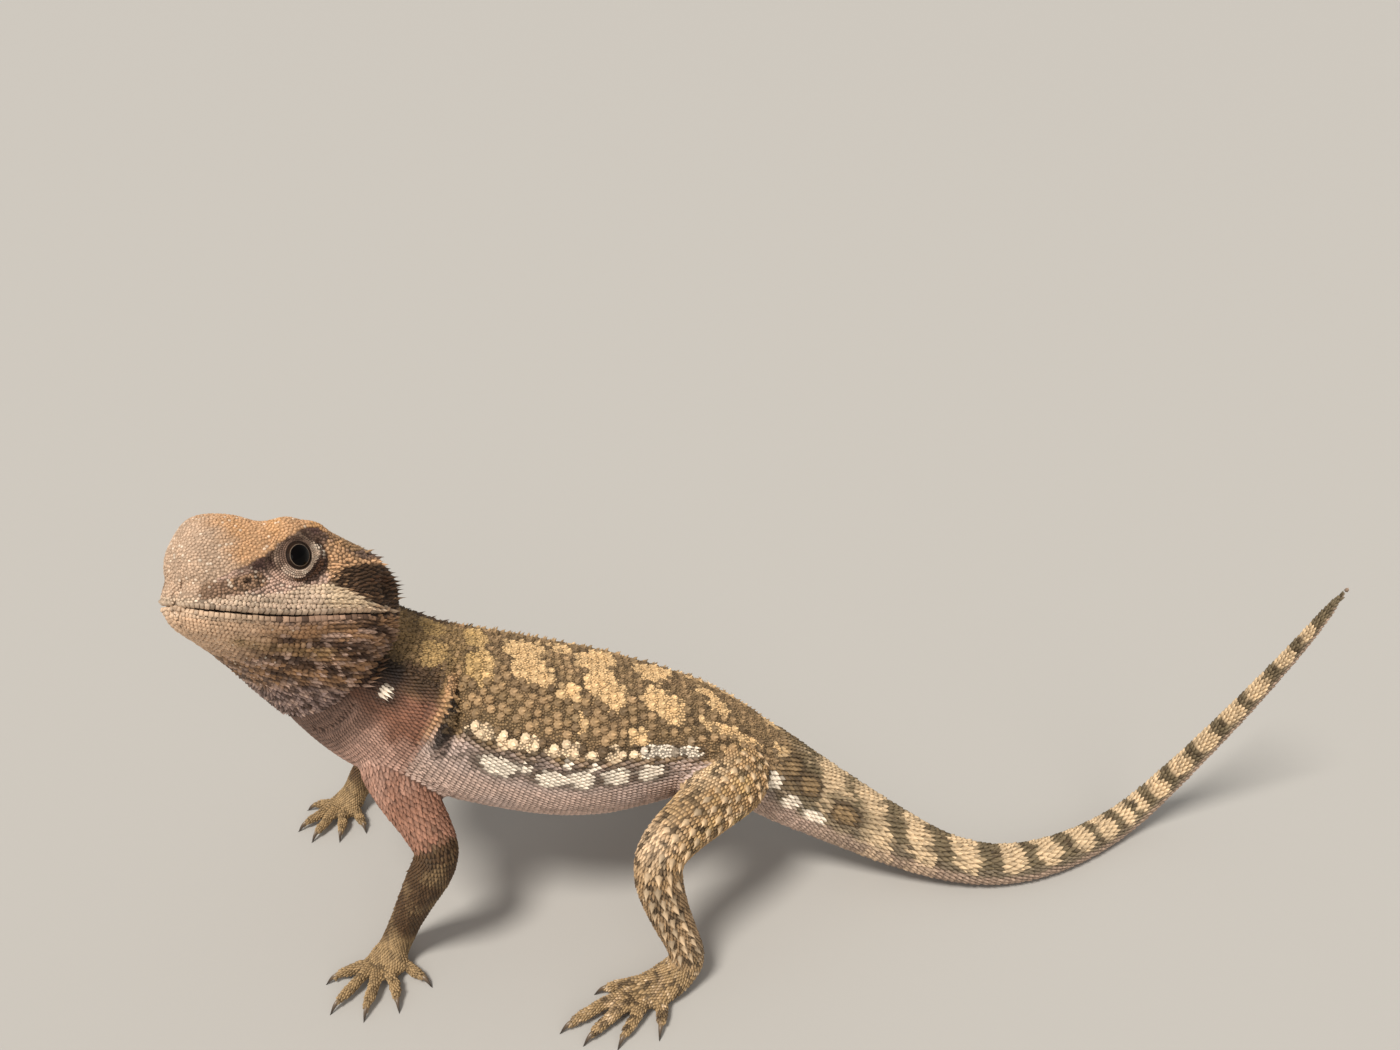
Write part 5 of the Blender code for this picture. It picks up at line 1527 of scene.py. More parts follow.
    def _tail(self, tone: Tone, at: Rows, side: Rows, fine: Rows, grain: Rows) -> None:
        """Colour the bands of the tail, which slant back as they go down.

        Args:
            tone: The colours so far.
            at: Places along the spine, in rings.
            side: Degrees from the top.
            fine: Fine noise.
            grain: Finer noise.
        """
        p = self.paint
        base = step_up(at + 0.2 * fine, 11.0, 12.2)
        tone.lay(p.tail_dark, base * 0.9)
        tone.lay(p.dark, base * 0.75 * step_up(grain + 0.5 * fine, 0.1, 0.9))
        near = step_up(at, 15.8, 14.6)
        slanted = at - 0.28 * np.clip((side - 24.0) / 60.0, -0.4, 1.2)
        for band in TAIL_BANDS:
            ring = np.abs(slanted - band) / 0.25 + 0.40 * fine + 0.34 * grain
            spot = np.hypot((at - 0.08 - band) / (0.22 if band < 18.5 else 0.19), (side - 34.0) / 54.0)
            away = near * ring + (1.0 - near) * (spot + 0.12 * fine + 0.10 * grain)
            strength = base * (0.92 - 0.5 * near * step_up(grain, 0.2, 0.9))
            strength = strength * (1.0 - 0.8 * step_up(side, 26, 44) * step_up(at, 13.9, 13.3))
            tone.lay(p.tail_cream, strength * step_up(away, 1.12, 0.84))
        base_cream = 0.7 * bell(at - 12.7, 1.1) * step_up(fine + grain, 0.0, 0.8)
        tone.lay(p.tail_cream, base_cream * step_up(side, 84, 70))
        for place, angle in ((11.72, 36.0), (12.25, 47.0), (13.10, 63.0)):
            away = np.hypot((at - place) / 0.28, (side - angle) / 17.0) + 0.15 * fine
            tone.lay(p.olive, 0.9 * step_up(away, 1.1, 0.8))
            tone.lay(p.dark, 0.85 * bell(away - 0.95, 0.25))
        deep, white = self._blotched(at, side, FLANK_BLOTCHES[-3:], 0.2 * fine)
        tone.lay(p.white, step_up(np.minimum(deep, white), 1.15, 0.85))
        under = base * step_up(side + 5 * fine, 88, 102)
        tone.lay(p.belly, under * step_up(at, 14.5, 12.0) * 0.8)
        tone.lay(p.tail_under, under * step_up(at, 12.5, 15.0) * 0.75)
        tone.lay(p.tail_dark, 0.9 * bell(at - 24.5, 0.25))

    def limb(self, name: str, points: Rows, at: Rows, angle: Rows) -> Rows:
        """Colour places on a limb or its digits.

        Args:
            name: The name of the limb.
            points: Places in millimetres.
            at: Places along the limb in rings, and past its end on the digits.
            angle: Angles from the top to the left, in radians.

        Returns:
            One colour a row.
        """
        p = self.paint
        fine = soft_noise(points, 2.0, 13)
        broad = soft_noise(points, 5.0, 14)
        grain = soft_noise(points, 0.9, 15)
        if name.startswith("arm"):
            tone = Tone(p.arm, len(points))
            tone.lay(p.shoulder_pale, step_up(at + 0.3 * fine, 2.6, 1.4) * 0.6)
            tone.lay(p.shoulder, step_up(broad, 0.0, 0.7) * step_up(at, 4.2, 3.4) * 0.5)
            lower = step_up(at + 0.12 * fine, 3.5, 3.8)
            tone.lay(p.forearm, lower)
            tone.lay(p.hand, step_up(at + 0.4 * broad, 6.6, 8.4) * 0.9)
            tone.lay(p.hand, 0.4 * lower * step_up(broad + 0.5 * grain, 0.0, 0.8))
            tone.lay(p.dark, 0.5 * step_up(fine + grain, 0.35, 1.0) * step_up(at, 2.4, 3.6))
            return tone.rgb
        tone = Tone(p.thigh, len(points))
        tone.lay(p.thigh_yellow, step_up(broad + 0.5 * fine, 0.05, 0.8) * step_up(at, 4.0, 2.6) * 0.8)
        tone.lay(p.cream, bell(at - 2.0, 0.7) * step_up(np.cos(angle) + 0.3 * fine, 0.5, 1.0) * 0.6)
        tone.lay(p.knee, bell(at - 3.95, 0.55) * step_up(np.cos(angle) + 0.3 * fine, 0.0, 0.6))
        lower = step_up(at + 0.3 * fine, 4.2, 5.0)
        tone.lay(p.shin, lower)
        tone.lay(p.hand, step_up(at + 0.4 * broad, 6.8, 8.6) * 0.9)
        tone.lay(p.knee, 0.5 * lower * step_up(broad + grain, 0.2, 1.0))
        tone.lay(p.cream, 0.6 * step_up(grain - 0.5 * fine, 0.45, 1.1))
        tone.lay(p.dark, 0.55 * step_up(broad + 0.6 * fine, 0.35, 0.9) * step_up(at, 1.6, 2.6))
        tone.lay(p.dark, 0.85 * step_up(fine * 0.9 + grain * 0.8, 0.15, 0.7))
        return tone.rgb

    def skull(self, points: Rows, eyes: list[Eye], bare: bool = False) -> Rows:
        """Colour places on the head, its lids and its beard.

        Args:
            points: Places in millimetres in the model's frame.
            eyes: The two eyes.
            bare: Whether this is the skin between the scales, paler on the crown and with painted shade
                between the lip plates and along the mouth.

        Returns:
            One colour a row.
        """
        p = self.paint
        local = self.head.into(points)
        x, y, z = local[:, 0], np.abs(local[:, 1]), local[:, 2]
        mirrored = np.stack([x, y, z], -1)
        fine = soft_noise(local, 1.9, 21)
        grain = soft_noise(local, 0.8, 22)
        broad = soft_noise(local, 5.0, 23)
        streaky = soft_noise(local * np.array([0.22, 1.0, 1.0]), 1.5, 24)
        rise = z - self.head.mouth_level(x)
        tone = Tone(p.crown, len(points))
        tone.lay(p.crown_gold, step_up(broad, -0.1, 0.8) * step_up(x, 26.5, 22.0))
        tone.lay(p.snout, step_up(x + 0.8 * fine - 0.25 * z, 22.5, 26.5))
        tone.lay(p.brown, 0.7 * step_up(x + 1.5 * fine, 11.0, 6.0))
        tone.lay(p.dark, 0.55 * step_up(x, 12.0, 7.0) * step_up(fine + grain, 0.1, 0.9))
        ridge = np.interp(x, *BROW_LINE)
        side = step_up(ridge - z + 0.12 * grain, -0.05, 0.35) * step_up(y, 2.5, 4.2)
        tone.lay(p.loreal, side)
        # Brown below the brow before the eye, partly painted shade under the brow, and a band of painted
        # shadow under the ridge of the snout.
        tone.lay(p.lid_brown, side * step_up(x, 23.6, 21.4) * step_up(z, 0.6, 1.5))
        tone.lay(p.lid_brown, 0.7 * side * bell(ridge - z - 0.4, 0.5) * step_up(x, 26.0, 23.5))
        patch, _ = distance_to_path(mirrored, NOSTRIL_PATH)
        inside = step_up(patch + 0.2 * fine, 1.55, 0.9)
        tone.lay(p.nostril_patch, 0.80 * inside)
        away = (mirrored - np.array(self.head.nostril)) / np.array([1.35, 1.5, 1.0])
        around = np.linalg.norm(away, axis=-1)
        tone.lay(p.temple_tan, 0.22 * bell(around - 0.85, 0.20) * inside)
        tone.lay(p.temple, 0.60 * bell(around - 1.25, 0.14) * inside)
        tone.lay(p.temple_tan, 0.30 * bell(around - 1.6, 0.14) * inside)
        # Painted shade in the nostril opening.
        tone.lay(p.streak_and_shade, 0.75 * step_up(around, 0.50, 0.20))
        top = np.interp(x, *LIP_LINE)
        wedge = bell(x - 20.9, 1.0) * bell(z - 2.6, 1.5) * step_up(y, 5.0, 6.5)
        tone.lay(p.temple, 0.85 * wedge * side)
        self._temple(tone, mirrored, rise - top, fine, grain, streaky)
        lips = step_up(rise - top + 0.15 * fine, 0.25, -0.15) * step_up(rise, -0.2, 0.0)
        tone.lay(p.lip, lips * (0.85 + 0.2 * grain))
        tone.lay(p.cream, lips * 0.8 * step_up(x + fine, 15.5, 11.5) * step_up(rise, 0.6, 1.4))
        tone.lay(p.streak_and_shade, lips * 0.35 * step_up(grain + 0.3 * fine, 0.35, 1.0) * step_up(x, 2.0, 6.0))
        self._lids(tone, mirrored, ridge, fine, grain)
        for eye in eyes:
            tilt, _, reach = eye.angles(points)
            rim = step_up(reach * np.sin(tilt), 2.12, 1.96) * (tilt < 1.2) * (reach < 6.0)
            tone.lay(p.lid_dark, 0.95 * rim)
        jaw = step_up(rise, 0.05, -0.10)
        tone.lay(self._beard(mirrored, rise, fine, grain, streaky), jaw)
        # Painted shade along the line of the mouth, broader on the bare skin.
        mouth = bell(rise, 0.42 if bare else 0.24) * step_up(x, -1.0, 2.0)
        tone.lay(p.streak_and_shade, 0.95 * mouth * step_up(x, 30.0, 27.0))
        # On the bare skin: painted shade above and below the mouth between the lip plates, and a paler crown.
        if bare:
            dark = np.where(rise < 0.0, bell(rise + 0.55, 0.6), bell(rise - 0.6, 0.6))
            tone.lay(p.streak_and_shade, dark * step_up(x, 29.5, 26.0))
            tone.rgb *= (1.0 + 1.1 * step_up(x, 11.5, 13.5) * step_up(z - ridge, -3.0, 0.5))[:, None]
        return tone.rgb

    def _temple(
        self, tone: Tone, mirrored: Rows, over: Rows, fine: Rows, grain: Rows,
        streaky: Rows,
    ) -> None:
        """Colour the dark patch behind the eye and the tan cobbles over it.

        Args:
            tone: The colours so far.
            mirrored: Places in the head's frame, all on its left.
            over: How far they lie above the pale lips.
            fine: Fine noise.
            grain: Finer noise.
            streaky: Noise drawn out along the head.
        """
        p = self.paint
        x, y, z = mirrored.T
        inside = step_up(x + 0.4 * fine, 12.8, 11.8) * step_up(y, 6.5, 8.5)
        crest = np.interp(x, *TEMPLE_CREST)
        tan = inside * step_up(crest - z + 0.3 * fine, -0.3, 0.2)
        tone.lay(p.temple_tan, tan)
        tone.lay(p.dark, 0.6 * tan * step_up(grain - 0.4 * fine, 0.35, 0.9))
        upper = np.interp(x, *TEMPLE_TOP)
        patch = inside * step_up(upper - z + 0.35 * streaky, -0.1, 0.3)
        patch = patch * step_up(over + 0.1 * grain, -0.1, 0.15)
        tone.lay(p.temple, patch * 0.96)
        heart = bell(np.hypot((x - 4.6) / 4.0, (z - 0.2) / 1.7), 1.0)
        tone.lay(p.chestnut, patch * heart * step_up(streaky + 0.5 * grain, -0.2, 0.6))
        front = patch * step_up(x, 7.0, 11.0) * step_up(grain + 0.4 * streaky, 0.1, 0.6)
        tone.lay(p.temple_tan, 0.7 * front)
        tone.lay(p.temple_tan, patch * 0.5 * step_up(streaky + 0.5 * grain, 0.75, 1.2))

    def _lids(self, tone: Tone, mirrored: Rows, ridge: Rows, fine: Rows, grain: Rows) -> None:
        """Colour the lids: brown above, partly painted shade under the brow, a cream crescent below and
        behind, and a dark one round that.

        Args:
            tone: The colours so far.
            mirrored: Places in the head's frame, all on its left.
            ridge: The height of the brow at each place.
            fine: Fine noise.
            grain: Finer noise.
        """
        p = self.paint
        x, y, z = mirrored.T
        front, up = x - Eye.pupil[0], z - Eye.pupil[2]
        away = np.hypot(front, up)
        turn = np.degrees(np.arctan2(-up, front)) % 360.0
        inner, cream_edge, dark_edge = (np.interp(turn, *edge) for edge in LID_EDGES)
        near = step_up(away, 6.4, 5.4) * step_up(y, 5.0, 6.5) * step_up(ridge - z, -0.05, 0.3)
        over = near * np.maximum(step_up(turn, 205, 232), step_up(turn, 40, 18))
        # The upper lid in brown, partly painted shade under the brow.
        tone.lay(p.lid_brown, over)
        tone.lay(p.lid_plum, over * 0.8 * step_up(fine + 0.5 * grain, -0.1, 0.6) * step_up(away, 2.9, 3.4))
        tone.lay(p.lid_grey, over * 0.8 * bell(away - 2.9, 0.28))
        tone.lay(p.lid_grey, over * 0.5 * bell(away - 3.9, 0.22) * step_up(fine, -0.2, 0.5))
        tone.lay(p.lid_dark, over * 0.7 * bell(away - 3.4, 0.18))
        below = step_up(y, 5.0, 6.5) * step_up(turn, 60, 95) * step_up(turn, 222, 200)
        shade = step_up(away - cream_edge, -0.06, 0.12) * step_up(dark_edge - away + 0.1 * fine, -0.1, 0.15)
        tone.lay(p.lid_dark, 0.93 * below * shade)
        tone.lay(p.chestnut, 0.8 * below * bell(away - (cream_edge + dark_edge) / 2.0, 0.2))
        pale = step_up(y, 5.0, 6.5) * step_up(turn, 30, 48) * step_up(turn, 226, 205)
        pale = pale * step_up(cream_edge - away + 0.08 * grain, -0.06, 0.1) * step_up(away - inner, -0.3, 0.0)
        tone.lay(p.lid_cream, pale)
        tone.lay(p.white, 0.6 * pale * step_up(grain, 0.0, 0.8) * step_up(away - inner, 0.2, 0.6))
        tone.lay(p.jaw_pink, 0.45 * pale * bell(turn - 62.0, 22.0))
        tone.lay(p.white, 0.9 * step_up(y, 5.0, 6.5) * bell(away - 4.5, 0.16) * bell(turn - 188.0, 9.0))

    def _beard(self, mirrored: Rows, rise: Rows, fine: Rows, grain: Rows, streaky: Rows) -> Rows:
        """Colour the lower jaw: pale chin, dark streaks between olive and pink, and a lilac throat.

        Args:
            mirrored: Places in the head's frame, all on its left.
            rise: How far they lie above the line of the mouth.
            fine: Fine noise.
            grain: Finer noise.
            streaky: Noise drawn out along the head.

        Returns:
            One colour a row.
        """
        p = self.paint
        x, z = mirrored[:, 0], mirrored[:, 2]
        back = step_up(x + 1.2 * fine, 23.5, 16.0)
        tone = Tone(p.chin, len(mirrored))
        tone.lay(p.jaw, back * 0.95)
        tone.lay(p.jaw_pink, back * step_up(streaky + 0.4 * grain, 0.1, 0.8) * 0.8)
        band = bell(distance_to_path(mirrored, JAW_BAND)[0], 1.1)
        tone.lay(p.jaw_olive, band * (0.7 + 0.3 * grain))
        tone.lay(p.streak_and_shade, back * 0.5 * step_up(-streaky + 0.6 * grain, 0.45, 1.1))
        for reach, *path in JAW_STREAKS:
            away, share = distance_to_path(mirrored, path)
            away = away + 0.3 * fine + 0.25 * grain
            tone.lay(p.streak_and_shade, 0.95 * step_up(away, reach * 1.5, reach * 0.5) * step_up(share, 0.0, 0.25))
        throat = step_up(z + 0.8 * fine, -14.5, -17.5) * step_up(x, 21.0, 16.0)
        tone.lay(p.throat, throat * 0.85)
        slant = np.array([[1.0, 0.0, -0.6], [0.0, 0.35, 0.0], [0.6, 0.0, 1.0]])
        slanted = soft_noise(mirrored @ slant, 0.9, 26)
        tone.lay(p.streak_and_shade, 0.7 * throat * step_up(slanted, 0.1, 0.8))
        fine_rows = soft_noise(mirrored * np.array([0.35, 1.0, 1.0]), 0.85, 27)
        lower = back * step_up(rise, -3.2, -5.0)
        tone.lay(p.streak_and_shade, 0.8 * lower * step_up(fine_rows + 0.3 * grain, 0.0, 0.5) * (1.0 - 0.7 * band))
        tone.lay(p.jaw_pink, 0.85 * lower * step_up(-fine_rows + 0.6 * grain, 0.35, 0.9) * (1.0 - 0.8 * band))
        row = step_up(rise, -1.4, -1.1)
        tone.lay(p.lip, 0.7 * row * (0.75 + 0.25 * grain) * step_up(x, 17.0, 24.0))
        tone.lay(p.jaw_pink, 0.45 * row * step_up(x, 24.0, 17.0) * step_up(x, 2.0, 9.0))
        tone.lay(p.streak_and_shade, 0.85 * row * step_up(grain + 0.4 * fine, -0.1, 0.4) * step_up(x, 25.0, 19.0))
        rear = step_up(x + 0.8 * fine, 4.0, 0.0) * step_up(z, -6.0, -9.0)
        tone.lay(p.streak_and_shade, 0.6 * rear)
        return tone.rgb


class Shape(Enum):
    """The forms of a scale."""

    KEEL = "keel"
    BEAD = "bead"
    THORN = "thorn"
    PLATE = "plate"
    CONE = "cone"
    GRAIN = "grain"


ROSETTE_SIDES = 16


def cone_ring(size: float, notch: float, lean: float, height: float, dip: float) -> tuple:
    """Make one ring of a rosette, whose odd corners are notched and dipped between its petals.

    Args:
        size: How far its even corners stand out.
        notch: How much less its odd ones do.
        lean: How far the ring is moved towards the tip.
        height: The height of its even corners.
        dip: How much lower the odd ones lie.

    Returns:
        Its corners.
    """
    made = []
    for k, angle in enumerate(turns(ROSETTE_SIDES)):
        out = size - notch * (k % 2)
        made.append((out * math.cos(angle) + lean, out * math.sin(angle), height - dip * (k % 2)))
    return tuple(made)


def whole_ring(*half: Triple) -> tuple:
    """Return the corners of the left half of a ring and of its mirror image."""
    return half + tuple((x, -y, z) for x, y, z in reversed(half) if y)


@dataclass(frozen=True)
class ScaleForm:
    """The rings of one scale from its root up, and its tip.

    The shade is painted shade and light: how light it is at its root, and how much lighter upwards and
    towards its tip.
    """

    rings: tuple
    tip: Triple | None = None
    shade: Triple = (0.16, 0.42, 0.42)


SCALE_FORMS = {
    Shape.CONE: ScaleForm((
        cone_ring(0.50, 0.07, 0.0, -0.6, 0.0), cone_ring(0.48, 0.07, 0.0, 0.30, 0.10),
        cone_ring(0.36, 0.02, 0.0, 0.50, 0.16), cone_ring(0.23, 0.0, 0.0, 0.30, 0.0),
        cone_ring(0.16, 0.0, 0.03, 0.44, 0.0), cone_ring(0.07, 0.0, 0.14, 0.90, 0.0),
    ), (0.26, 0.0, 1.12), (-0.15, 1.5, 0.0)),
    Shape.GRAIN: ScaleForm((
        whole_ring((-0.52, 0.0, -0.5), (-0.16, 0.46, -0.5), (0.42, 0.28, -0.5)),
        whole_ring((-0.44, 0.0, 0.40), (-0.12, 0.40, 0.42), (0.40, 0.26, 0.60)),
    ), (0.24, 0.0, 1.05), (0.38, 0.26, 0.26)),
    Shape.KEEL: ScaleForm((
        whole_ring((-0.56, 0.0, -0.55), (-0.30, 0.44, -0.55), (0.35, 0.36, -0.55), (0.62, 0.0, -0.30)),
        whole_ring((-0.46, 0.0, 0.08), (-0.24, 0.41, 0.10), (0.34, 0.29, 0.50), (0.80, 0.0, 0.94)),
        whole_ring((-0.22, 0.0, 0.42), (0.0, 0.08, 0.64), (0.35, 0.06, 0.96), (0.72, 0.0, 1.10)),
    )),
    Shape.BEAD: ScaleForm((
        whole_ring((-0.50, 0.0, -0.6), (-0.25, 0.43, -0.6), (0.25, 0.43, -0.6), (0.50, 0.0, -0.6)),
        whole_ring((-0.50, 0.0, 0.35), (-0.25, 0.43, 0.35), (0.25, 0.43, 0.40), (0.50, 0.0, 0.45)),
        whole_ring((-0.24, 0.0, 0.86), (-0.10, 0.20, 0.90), (0.18, 0.20, 0.98), (0.30, 0.0, 1.0)),
    )),
    Shape.THORN: ScaleForm((
        whole_ring((-0.50, 0.0, -0.5), (-0.15, 0.48, -0.5), (0.40, 0.30, -0.5)),
        whole_ring((-0.34, 0.0, 0.45), (-0.05, 0.36, 0.45), (0.36, 0.24, 0.45)),
        whole_ring((0.40, 0.0, 1.25), (0.46, 0.10, 1.20), (0.60, 0.07, 1.18)),
    ), (0.95, 0.0, 1.75)),
    Shape.PLATE: ScaleForm((
        whole_ring((-0.50, 0.50, -0.6), (0.50, 0.50, -0.6)),
        whole_ring((-0.50, 0.50, 0.45), (0.50, 0.50, 0.50)),
        whole_ring((-0.36, 0.36, 0.92), (0.36, 0.36, 1.0)),
    )),
}


def scale_template(shape: Shape) -> Object:
    """Make one scale of unit size, its root at the origin, its tip along +X and its top along +Z.

    Args:
        shape: Which form.

    Returns:
        An object that isn't linked to the scene, with "flat" and "tip" attributes on its points.
    """
    form = SCALE_FORMS[shape]
    points = [point for ring in form.rings for point in ring]
    sides = len(form.rings[0])
    top = range(len(points) - sides, len(points))
    faces = side_faces(len(form.rings), sides) + [tuple(range(sides))]
    if form.tip:
        points.append(form.tip)
        faces += [(top[j], top[(j + 1) % sides], len(points) - 1) for j in range(sides)]
    else:
        faces.append(tuple(reversed(top)))
    mesh = outward_mesh(shape.value, points, faces)
    places = np.array(points)
    flat = mesh.attributes.new("flat", "FLOAT_VECTOR", "POINT")
    flat.data.foreach_set("vector", (places * np.array([1.0, 1.0, 0.0])).ravel())
    # The tip attribute holds the painted shade low on the scale and the painted light upwards and at its tip.
    low, up, back = form.shade
    ramp = low + up * places[:, 2] + back * places[:, 0]
    mesh.attributes.new("tip", "FLOAT", "POINT").data.foreach_set("value", np.clip(ramp, 0.0, 1.0))
    return bpy.data.objects.new(shape.value, mesh)


def add_node(tree: NodeTree, kind: str, inputs: dict, **settings: object) -> Node:
    """Add a node to a tree.

    Args:
        tree: The tree.
        kind: The node's type.
        inputs: What goes into its inputs, by their names or numbers: other nodes' outputs or plain values.
        settings: The node's own settings.

    Returns:
        The node.
    """
    node = tree.nodes.new(kind)
    for key, value in settings.items():
        setattr(node, key, value)
    for key, value in inputs.items():
        if isinstance(value, NodeSocket):
            tree.links.new(value, node.inputs[key])
        else:
            node.inputs[key].default_value = value
    return node


class CoatTree:
    """The geometry tree that sets a scale on each root point of a coat piece."""

    INPUTS = (
        ("Geometry", "NodeSocketGeometry"), ("Scale Shape", "NodeSocketObject"),
        ("Finish", "NodeSocketMaterial"), ("Size", "NodeSocketFloat"), ("Unevenness", "NodeSocketFloat"),
        ("Patch", "NodeSocketFloat"), ("Seed", "NodeSocketInt"),
    )

    def __init__(self) -> None:
        """Build the tree once."""
        self.tree = bpy.data.node_groups.new("scale_coat", "GeometryNodeTree")
        face = self.tree.interface
        for name, kind in self.INPUTS:
            face.new_socket(name, in_out="INPUT", socket_type=kind)
        face.new_socket("Geometry", in_out="OUTPUT", socket_type="NodeSocketGeometry")
        self.ids = {item.name: item.identifier for item in face.items_tree if item.in_out == "INPUT"}
        self._wire()

    def _wire(self) -> None:
        """Wire points to instances, realize them and store the bake map."""
        start = self._node("NodeGroupInput", {}).outputs
        points = self._node("GeometryNodeMeshToPoints", {"Mesh": start["Geometry"]})
        shape = self._node("GeometryNodeObjectInfo", {"Object": start["Scale Shape"]})
        low, high = (
            self._node("ShaderNodeMath", {0: 1.0, 1: start["Unevenness"]}, operation=way).outputs["Value"]
            for way in ("SUBTRACT", "ADD")
        )
        draw = {"Min": low, "Max": high, "Seed": start["Seed"]}
        uneven = self._node("FunctionNodeRandomValue", draw, data_type="FLOAT_VECTOR")
        grown = self._vector("MULTIPLY", {0: self._named("size"), 1: uneven.outputs["Value"]})
        whole = self._vector("SCALE", {0: grown, "Scale": start["Size"]})
        place = self._node("GeometryNodeInstanceOnPoints", {
            "Points": points.outputs["Points"], "Instance": shape.outputs["Geometry"],
            "Rotation": self._named("turn", "QUATERNION"), "Scale": whole,
        })
        solid = self._node("GeometryNodeRealizeInstances", {"Geometry": place.outputs["Instances"]})
        half = self._node("ShaderNodeMath", {0: start["Patch"], 1: 0.5}, operation="MULTIPLY")
        patch = self._vector("SCALE", {0: self._named("flat"), "Scale": half.outputs["Value"]})
        bake = self._vector("ADD", {0: self._named("root_map"), 1: patch})
        store = self._node("GeometryNodeStoreNamedAttribute", {
            "Geometry": solid.outputs["Geometry"], "Name": BAKE_MAP, "Value": bake,
        }, data_type="FLOAT2", domain="CORNER")
        finish = self._node(
            "GeometryNodeSetMaterial", {"Geometry": store.outputs["Geometry"], "Material": start["Finish"]}
        )
        self._node("NodeGroupOutput", {"Geometry": finish.outputs["Geometry"]})

    def _node(self, kind: str, inputs: dict, **settings: object) -> Node:
        """Add a node to this tree."""
        return add_node(self.tree, kind, inputs, **settings)

    def _vector(self, operation: str, inputs: dict) -> NodeSocket:
        """Return the result of a sum with vectors."""
        return self._node("ShaderNodeVectorMath", inputs, operation=operation).outputs["Vector"]

    def _named(self, name: str, kind: str = "FLOAT_VECTOR") -> NodeSocket:
        """Return the value of an attribute."""
        node = self._node("GeometryNodeInputNamedAttribute", {"Name": name}, data_type=kind)
        return next(socket for socket in node.outputs if socket.enabled and socket.name == "Attribute")

    def grow(self, points: Object, shape: Object, finish: Material, seed: int) -> None:
        """Turn a mesh of root points into solid scales.

        Args:
            points: The object whose vertices are the roots.
            shape: The scale's form.
            finish: The scales' material.
            seed: Which draw of sizes.
        """
        step = points.modifiers.new("coat", "NODES")
        step.node_group = self.tree
        for name, value in (
            ("Scale Shape", shape), ("Finish", finish), ("Size", 1.0), ("Unevenness", UNEVENNESS),
            ("Patch", BAKE_PATCH), ("Seed", seed),
        ):
            step[self.ids[name]] = value
        settle(points)


class HideDetail:
    """A shader group for what scales and skin share: painted shade low down and painted light on the tips,
    uneven scales and fine grain.
    """

    INPUTS = (
        ("Tone", "NodeSocketColor", (0.5, 0.5, 0.5, 1.0)), ("Tip", "NodeSocketFloat", 0.5),
        ("Mood", "NodeSocketFloat", 0.5), ("Low Shade", "NodeSocketFloat", 0.6),
        ("Tip Light", "NodeSocketFloat", 0.6), ("Variation", "NodeSocketFloat", 0.25),
        ("Grain Size", "NodeSocketFloat", 2600.0), ("Roughness", "NodeSocketFloat", 0.6),
    )
    OUTPUTS = (("Color", "NodeSocketColor"), ("Roughness", "NodeSocketFloat"), ("Height", "NodeSocketFloat"))
    CLOUD_SIZE = 420.0
    SPECK_STRENGTH = 0.55
    CLOUD_STRENGTH = 0.35
    SPECK_ROUGHNESS = 0.5

    def __init__(self) -> None:
        """Build the group once."""
        self.tree = bpy.data.node_groups.new("hide_detail", "ShaderNodeTree")
        face = self.tree.interface
        for name, kind, value in self.INPUTS:
            face.new_socket(name, in_out="INPUT", socket_type=kind).default_value = value
        for name, kind in self.OUTPUTS:
            face.new_socket(name, in_out="OUTPUT", socket_type=kind)
        self._wire()

    def _math(self, operation: str, first: NodeSocket | float, second: NodeSocket | float) -> NodeSocket:
        """Combine two values, each a socket or a number."""
        node = add_node(self.tree, "ShaderNodeMath", {0: first, 1: second}, operation=operation)
        return node.outputs["Value"]

    def _noise(self, inputs: dict) -> NodeSocket:
        """Return noise on the object's own places."""
        place = add_node(self.tree, "ShaderNodeTexCoord", {}).outputs["Object"]
        return add_node(self.tree, "ShaderNodeTexNoise", {"Vector": place, **inputs}).outputs["Fac"]

    def _around(self, value: NodeSocket, strength: NodeSocket | float) -> NodeSocket:
        """Return how far a value lies from a half, by a strength."""
        return self._math("MULTIPLY", self._math("SUBTRACT", value, 0.5), strength)

    def _wire(self) -> None:
        """Wire the colour, the roughness and the height of the grain."""
        start = self.tree.nodes.new("NodeGroupInput").outputs
        grain = self._noise({"Scale": start["Grain Size"], "Detail": 3.0})
        cloud = self._noise({"Scale": self.CLOUD_SIZE, "Detail": 2.0})
        light = self._math("MULTIPLY", start["Tip"], start["Tip Light"])
        light = self._math("ADD", light, start["Low Shade"])
        mood = self._around(start["Mood"], start["Variation"])
        speck = self._around(grain, self.SPECK_STRENGTH)
        drift = self._around(cloud, self.CLOUD_STRENGTH)
        vary = self._math("ADD", self._math("ADD", self._math("ADD", mood, speck), drift), 1.0)
        colour = add_node(self.tree, "ShaderNodeVectorMath", {
            0: start["Tone"], "Scale": self._math("MULTIPLY", light, vary),
        }, operation="SCALE")
        rough = self._math("ADD", self._math("MULTIPLY", speck, self.SPECK_ROUGHNESS), start["Roughness"])
        add_node(self.tree, "NodeGroupOutput", {
            "Color": colour.outputs["Vector"], "Roughness": rough, "Height": grain,
        })


def plain_material(name: str, values: dict) -> Material:
    """Make a material whose shader has set values, by the names of its inputs.

    Args:
        name: The material's name.
        values: The values.

    Returns:
        The material.
    """
    material = bpy.data.materials.new(name)
    material.use_nodes = True
    for key, value in values.items():
        material.node_tree.nodes["Principled BSDF"].inputs[key].default_value = value
    return material


def feed_shader(material: Material, sockets: dict) -> None:
    """Link sockets into a material's shader, by the names of its inputs."""
    for key, socket in sockets.items():
        material.node_tree.links.new(socket, material.node_tree.nodes["Principled BSDF"].inputs[key])


def attribute_of(tree: NodeTree, key: str) -> Node:
    """Add a node that reads an attribute."""
    return add_node(tree, "ShaderNodeAttribute", {}, attribute_name=key)


